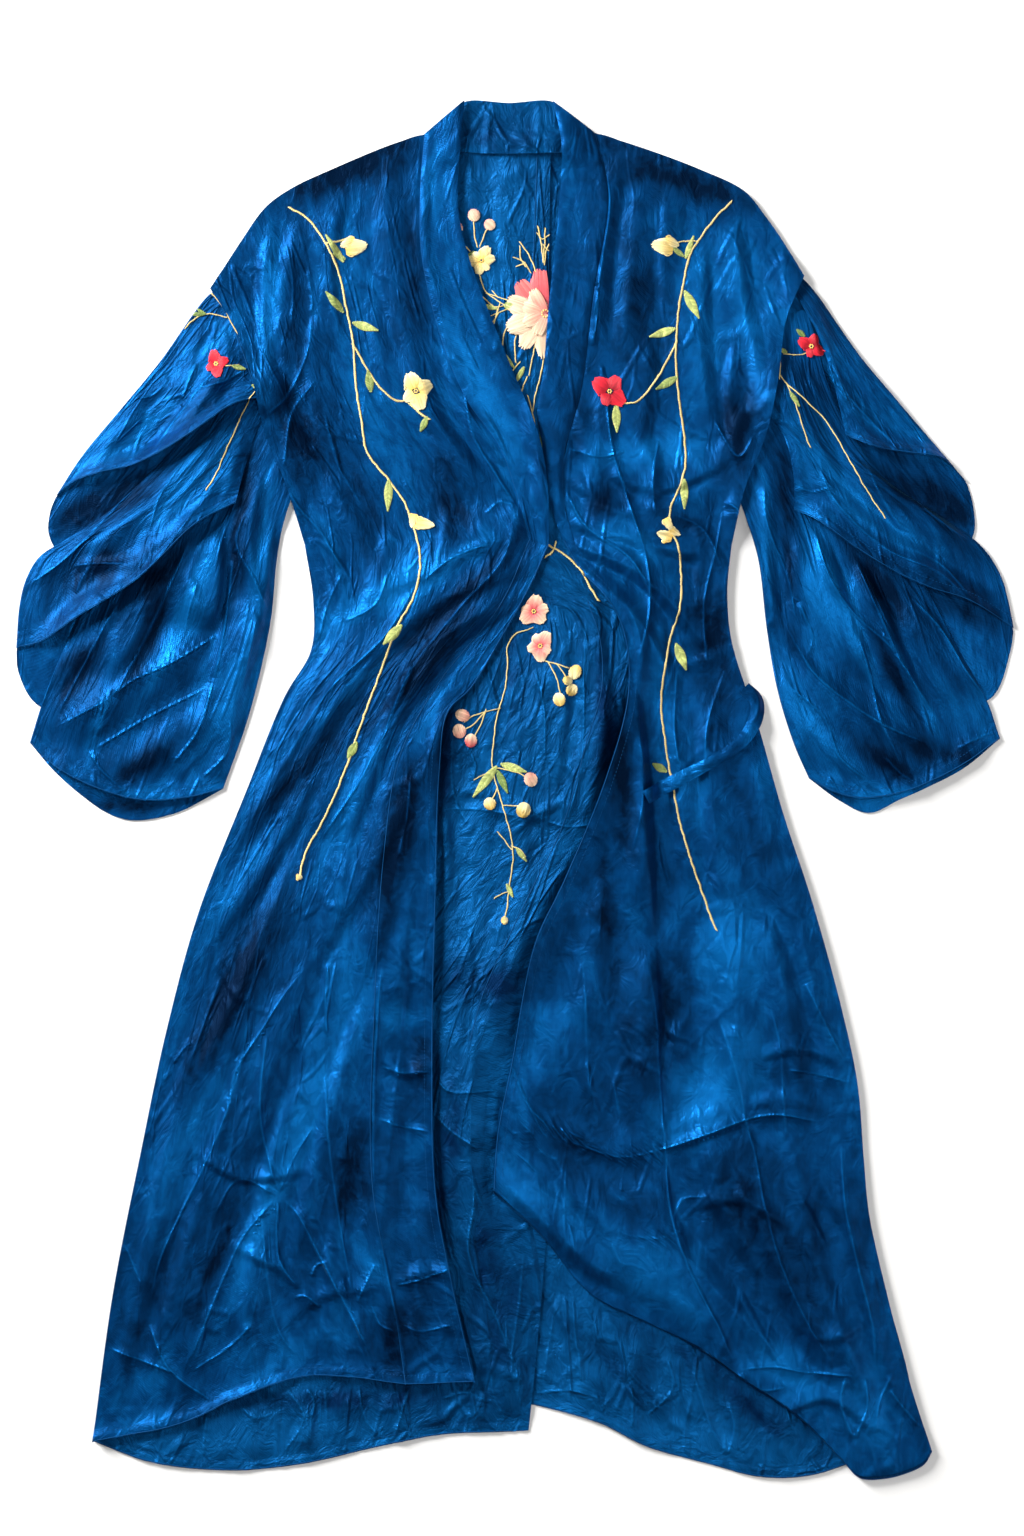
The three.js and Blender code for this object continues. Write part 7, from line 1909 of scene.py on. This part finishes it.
GROUNDS = {
    "front_left": ("front_left_cloth",),
    "front_right": ("front_right_cloth",),
    "sleeve_left": ("sleeve_left_tier_1_cloth", "sleeve_left_tier_2_cloth"),
    "sleeve_right": ("sleeve_right_tier_1_cloth", "sleeve_right_tier_2_cloth"),
    "neck": ("back_left_cloth",),
    "centre": ("back_left_cloth",),
    "crossing": ("front_right_cloth", "collar_right_cloth", "back_left_cloth"),
}


def embroider(place):
    """The vines, leaves, buds and flowers of one panel."""
    ground = Ground(*GROUNDS[place])
    finish = make_materials()
    fine = place in ("neck", "centre", "sleeve_left", "sleeve_right")
    stems = []
    rng = np.random.default_rng(len(place))
    for number, table in enumerate(STEMS.get(place, ())):
        line = drawn(table, 1.8)
        wander = np.column_stack([soft_noise(np.arange(len(line)) / 4.0, np.full(len(line), number + 0.5), k)
                                  for k in (7, 8)]) * 0.55
        for run in ground.along(line + wander, 0.55):
            stems.append((run, [0.5] * len(run), float(rng.uniform(0.4, 1))))
    thick = sizes().stem * (0.62 if fine else 1.0)
    if stems:
        piece = grown(f"stems_{place}", stems, stitch_tree, pitch=thick * 1.1, length=thick * 2.5,
                      thickness=thick * 0.8, slant=0.5, seed=11, material=finish["thread_gold"])
    leaves = []
    for k, (x1, y1, x2, y2, width, tone) in enumerate(LEAVES.get(place, ())):
        leaves += leaf_threads(ground, x1, y1, x2, y2, width, tone, 300 + k)
    if leaves:
        piece = grown(f"leaves_{place}", leaves, thread_tree, thickness=sizes().petal_thread * 0.95,
                      sides=5, material=finish["thread_leaf"])
    petals = {"thread_cream": [], "thread_pink": [], "thread_red": []}
    hearts = []
    berries = place in ("neck", "centre")
    for k, (x, y, length, width, angle, tone) in enumerate(BUDS.get(place, ())):
        slot = {0: "thread_cream", 1: "thread_pink", 2: "thread_pink", 3: "thread_leaf"}[tone]
        turn = math.radians(angle)
        bx, by = x - math.cos(turn) * length / 2, y + math.sin(turn) * length / 2
        if berries:
            made = round_threads(ground, x, y, -angle, length * 0.95, width, 2.0, 400 + k)
        else:
            made = domed_threads(ground, bx, by, -angle, length, width, 1.8,
                                 max(6, round(width / 0.95)), 0.35, 400 + k)
        if tone == 1:
            made = [(line, [0.45 + 0.5 * v for v in tones], s) for line, tones, s in made]
        petals.setdefault(slot, []).extend(made)
    for k, (x, y, count, length, width, turn, tone) in enumerate(FLOWERS.get(place, ())):
        slot = {0: "thread_cream", 2: "thread_pink", 4: "thread_red"}[tone]
        for p in range(count):
            angle = turn + 360 * p / count + 11 * math.sin(3.7 * p + 2 * k)
            size = 1 + 0.17 * math.sin(2.3 * p + 1.3 * k)
            petals[slot] += domed_threads(
                ground, x, y, angle, length * size, width * size, 1.7, max(8, round(width / 0.95)),
                0.2, 500 + 20 * k + p, notch=0.08, start=length * 0.16)
        for p in range(6):
            turn_by = math.radians(60 * p)
            point = ground.at(x + 1.6 * math.cos(turn_by), y + 1.6 * math.sin(turn_by), 2.0)
            if point is not None:
                hearts.append(([point], [0.1], 0.6))
    if place == "neck":
        for k, (x, y, angle, length, width, height, base, low, high) in enumerate(BLOSSOM):
            made = domed_threads(ground, x, y, angle, length, width, height, max(10, round(width / 0.95)),
                                 0.35, 700 + k, notch=0.05, base=base)
            petals["thread_pink"] += [(line, [low + (high - low) * v for v in tones], s)
                                      for line, tones, s in made]
        for p in range(9):
            turn_by = math.radians(40 * p)
            point = ground.at(29 + 3.4 * math.cos(turn_by), 453 + 3.4 * math.sin(turn_by), 5.4)
            if point is not None:
                hearts.append(([point], [0.2], 0.9))
    for slot, lines in petals.items():
        if lines:
            piece = grown(f"{slot[7:]}_petals_{place}", lines, thread_tree, sides=5,
                          thickness=sizes().petal_thread, material=finish[slot])
    if hearts:
        piece = grown(f"knots_{place}", hearts, knot_tree, size=0.0019, seed=3,
                      material=finish["thread_cream"])


# The stage

FLOOR_HALF, FLOOR_DEPTH = 4.0, 0.0004
CAMERA_LENS, CAMERA_PLACE = 100.0, (-0.00285, 0.0207, 4.065)
# Each lamp: its place and size in metres and its power in watts
LAMPS = (
    ("key_softbox", (-2.3, 1.9, 1.5), (1.0, 1.6), 285.0),
    ("fill_softbox", (2.4, -0.9, 1.6), (1.2, 2.2), 24.0),
    ("top_softbox", (0.2, 0.3, 3.4), (0.9, 0.9), 34.0),
)


def set_stage():
    shades = colours()
    mesh = bpy.data.meshes.new("stage_floor")
    mesh.from_pydata([(FLOOR_HALF * x, FLOOR_HALF * y, -FLOOR_DEPTH)
                      for x, y in ((-1, -1), (1, -1), (1, 1), (-1, 1))], [], [(0, 1, 2, 3)])
    material, tree, shader = new_material("pale_floor")
    where = node(tree, "ShaderNodeTexCoord").outputs["Object"]
    grain = node(tree, "ShaderNodeTexNoise", {"Vector": where, "Scale": 3.0, "Detail": 2.0}).outputs[0]
    pale = tuple(shades.floor)
    tint = blend(tree, ranged(tree, grain, 0.3, 0.7, 0.0, 1.0), pale,
                 tuple(0.99 * c for c in pale[:3]) + (1,))
    tree.links.new(tint, shader.inputs["Base Color"])
    shader.inputs["Roughness"].default_value = 0.9
    shader.inputs["Specular IOR Level"].default_value = 0.1
    mesh.materials.append(material)
    linked("stage_floor", mesh)

    scene = bpy.context.scene
    world = bpy.data.worlds.new("pale_room")
    world.use_nodes = True
    ground = world.node_tree.nodes["Background"]
    ground.inputs["Color"].default_value = (0.93, 0.96, 1.0, 1.0)
    ground.inputs["Strength"].default_value = 0.13
    scene.world = world
    scene.view_settings.view_transform = "Standard"
    scene.view_settings.look = "None"
    scene.view_settings.exposure = 0.0
    for name, place, size, power in LAMPS:
        lamp = bpy.data.lights.new(name, "AREA")
        lamp.shape = "RECTANGLE"
        lamp.size, lamp.size_y = size
        lamp.energy = power
        lamp.color = (1.0, 0.985, 0.96)
        light = bpy.data.objects.new(name, lamp)
        light.location = place
        light.rotation_euler = (Vector((0, 0, 0)) - Vector(place)).to_track_quat("-Z", "Y").to_euler()
        scene.collection.objects.link(light)
    lens = bpy.data.cameras.new("studio_camera")
    lens.lens = CAMERA_LENS
    lens.sensor_width = 36.0
    lens.sensor_fit = "AUTO"
    lens.clip_end = 30.0
    camera = bpy.data.objects.new("studio_camera", lens)
    camera.location = CAMERA_PLACE
    scene.collection.objects.link(camera)
    scene.camera = camera


# Operators and the panel

class ROBE_OT_lay_back(bpy.types.Operator):
    """Lay both halves of the back and the collar behind the neck"""
    bl_idname = "robe.lay_back"
    bl_label = "Lay the Back"

    def execute(self, context):
        lay_back()
        return {"FINISHED"}


class ROBE_OT_lay_sleeves(bpy.types.Operator):
    """Lay the three falls of each sleeve, one inside the other"""
    bl_idname = "robe.lay_sleeves"
    bl_label = "Lay the Sleeves"

    def execute(self, context):
        lay_sleeves()
        return {"FINISHED"}


class ROBE_OT_lay_right_front(bpy.types.Operator):
    """Lay the right front with its turned-under hem and its collar band"""
    bl_idname = "robe.lay_right_front"
    bl_label = "Lay the Right Front"

    def execute(self, context):
        lay_right_front()
        return {"FINISHED"}


class ROBE_OT_lay_left_front(bpy.types.Operator):
    """Lay the left front over the right one, with its collar band"""
    bl_idname = "robe.lay_left_front"
    bl_label = "Lay the Left Front"

    def execute(self, context):
        lay_left_front()
        return {"FINISHED"}


class ROBE_OT_lay_tie(bpy.types.Operator):
    """Lay the narrow tie across the right front"""
    bl_idname = "robe.lay_tie"
    bl_label = "Lay the Tie"

    def execute(self, context):
        lay_tie()
        return {"FINISHED"}


class ROBE_OT_sew_edges(bpy.types.Operator):
    """Sew the seams, the rolled hems and their stitches"""
    bl_idname = "robe.sew_edges"
    bl_label = "Sew Seams and Hems"

    def execute(self, context):
        sew_edges()
        return {"FINISHED"}


class ROBE_OT_embroider(bpy.types.Operator):
    """Embroider the vines, leaves, buds and flowers"""
    bl_idname = "robe.embroider"
    bl_label = "Embroider"

    def execute(self, context):
        for place in GROUNDS:
            embroider(place)
        return {"FINISHED"}


class ROBE_OT_set_stage(bpy.types.Operator):
    """Set the pale floor, the soft lights and the camera"""
    bl_idname = "robe.set_stage"
    bl_label = "Set the Stage"

    def execute(self, context):
        set_stage()
        return {"FINISHED"}


STEPS = (ROBE_OT_set_stage, ROBE_OT_lay_back, ROBE_OT_lay_sleeves, ROBE_OT_lay_right_front,
         ROBE_OT_lay_left_front, ROBE_OT_lay_tie, ROBE_OT_sew_edges, ROBE_OT_embroider)


class ROBE_PT_panel(bpy.types.Panel):
    """The robe's sizes, colours and steps"""
    bl_idname = "ROBE_PT_panel"
    bl_label = "Kimono"
    bl_space_type = "VIEW_3D"
    bl_region_type = "UI"
    bl_category = "Kimono"

    def draw(self, context):
        for group in (context.scene.robe_sizes, context.scene.robe_colours):
            box = self.layout.box()
            for key in group.bl_rna.properties.keys():
                if key not in ("rna_type", "name"):
                    box.prop(group, key)
        for step in STEPS:
            self.layout.operator(step.bl_idname)


CLASSES = (RobeSizes, RobeColours, *STEPS, ROBE_PT_panel)


def register():
    for item in CLASSES:
        bpy.utils.register_class(item)
    bpy.types.Scene.robe_sizes = bpy.props.PointerProperty(type=RobeSizes)
    bpy.types.Scene.robe_colours = bpy.props.PointerProperty(type=RobeColours)


def unregister():
    del bpy.types.Scene.robe_colours
    del bpy.types.Scene.robe_sizes
    for item in reversed(CLASSES):
        bpy.utils.unregister_class(item)


def main():
    register()
    for step in STEPS:
        group, call = step.bl_idname.split(".")
        getattr(getattr(bpy.ops, group), call)()


if __name__ == "__main__":
    main()
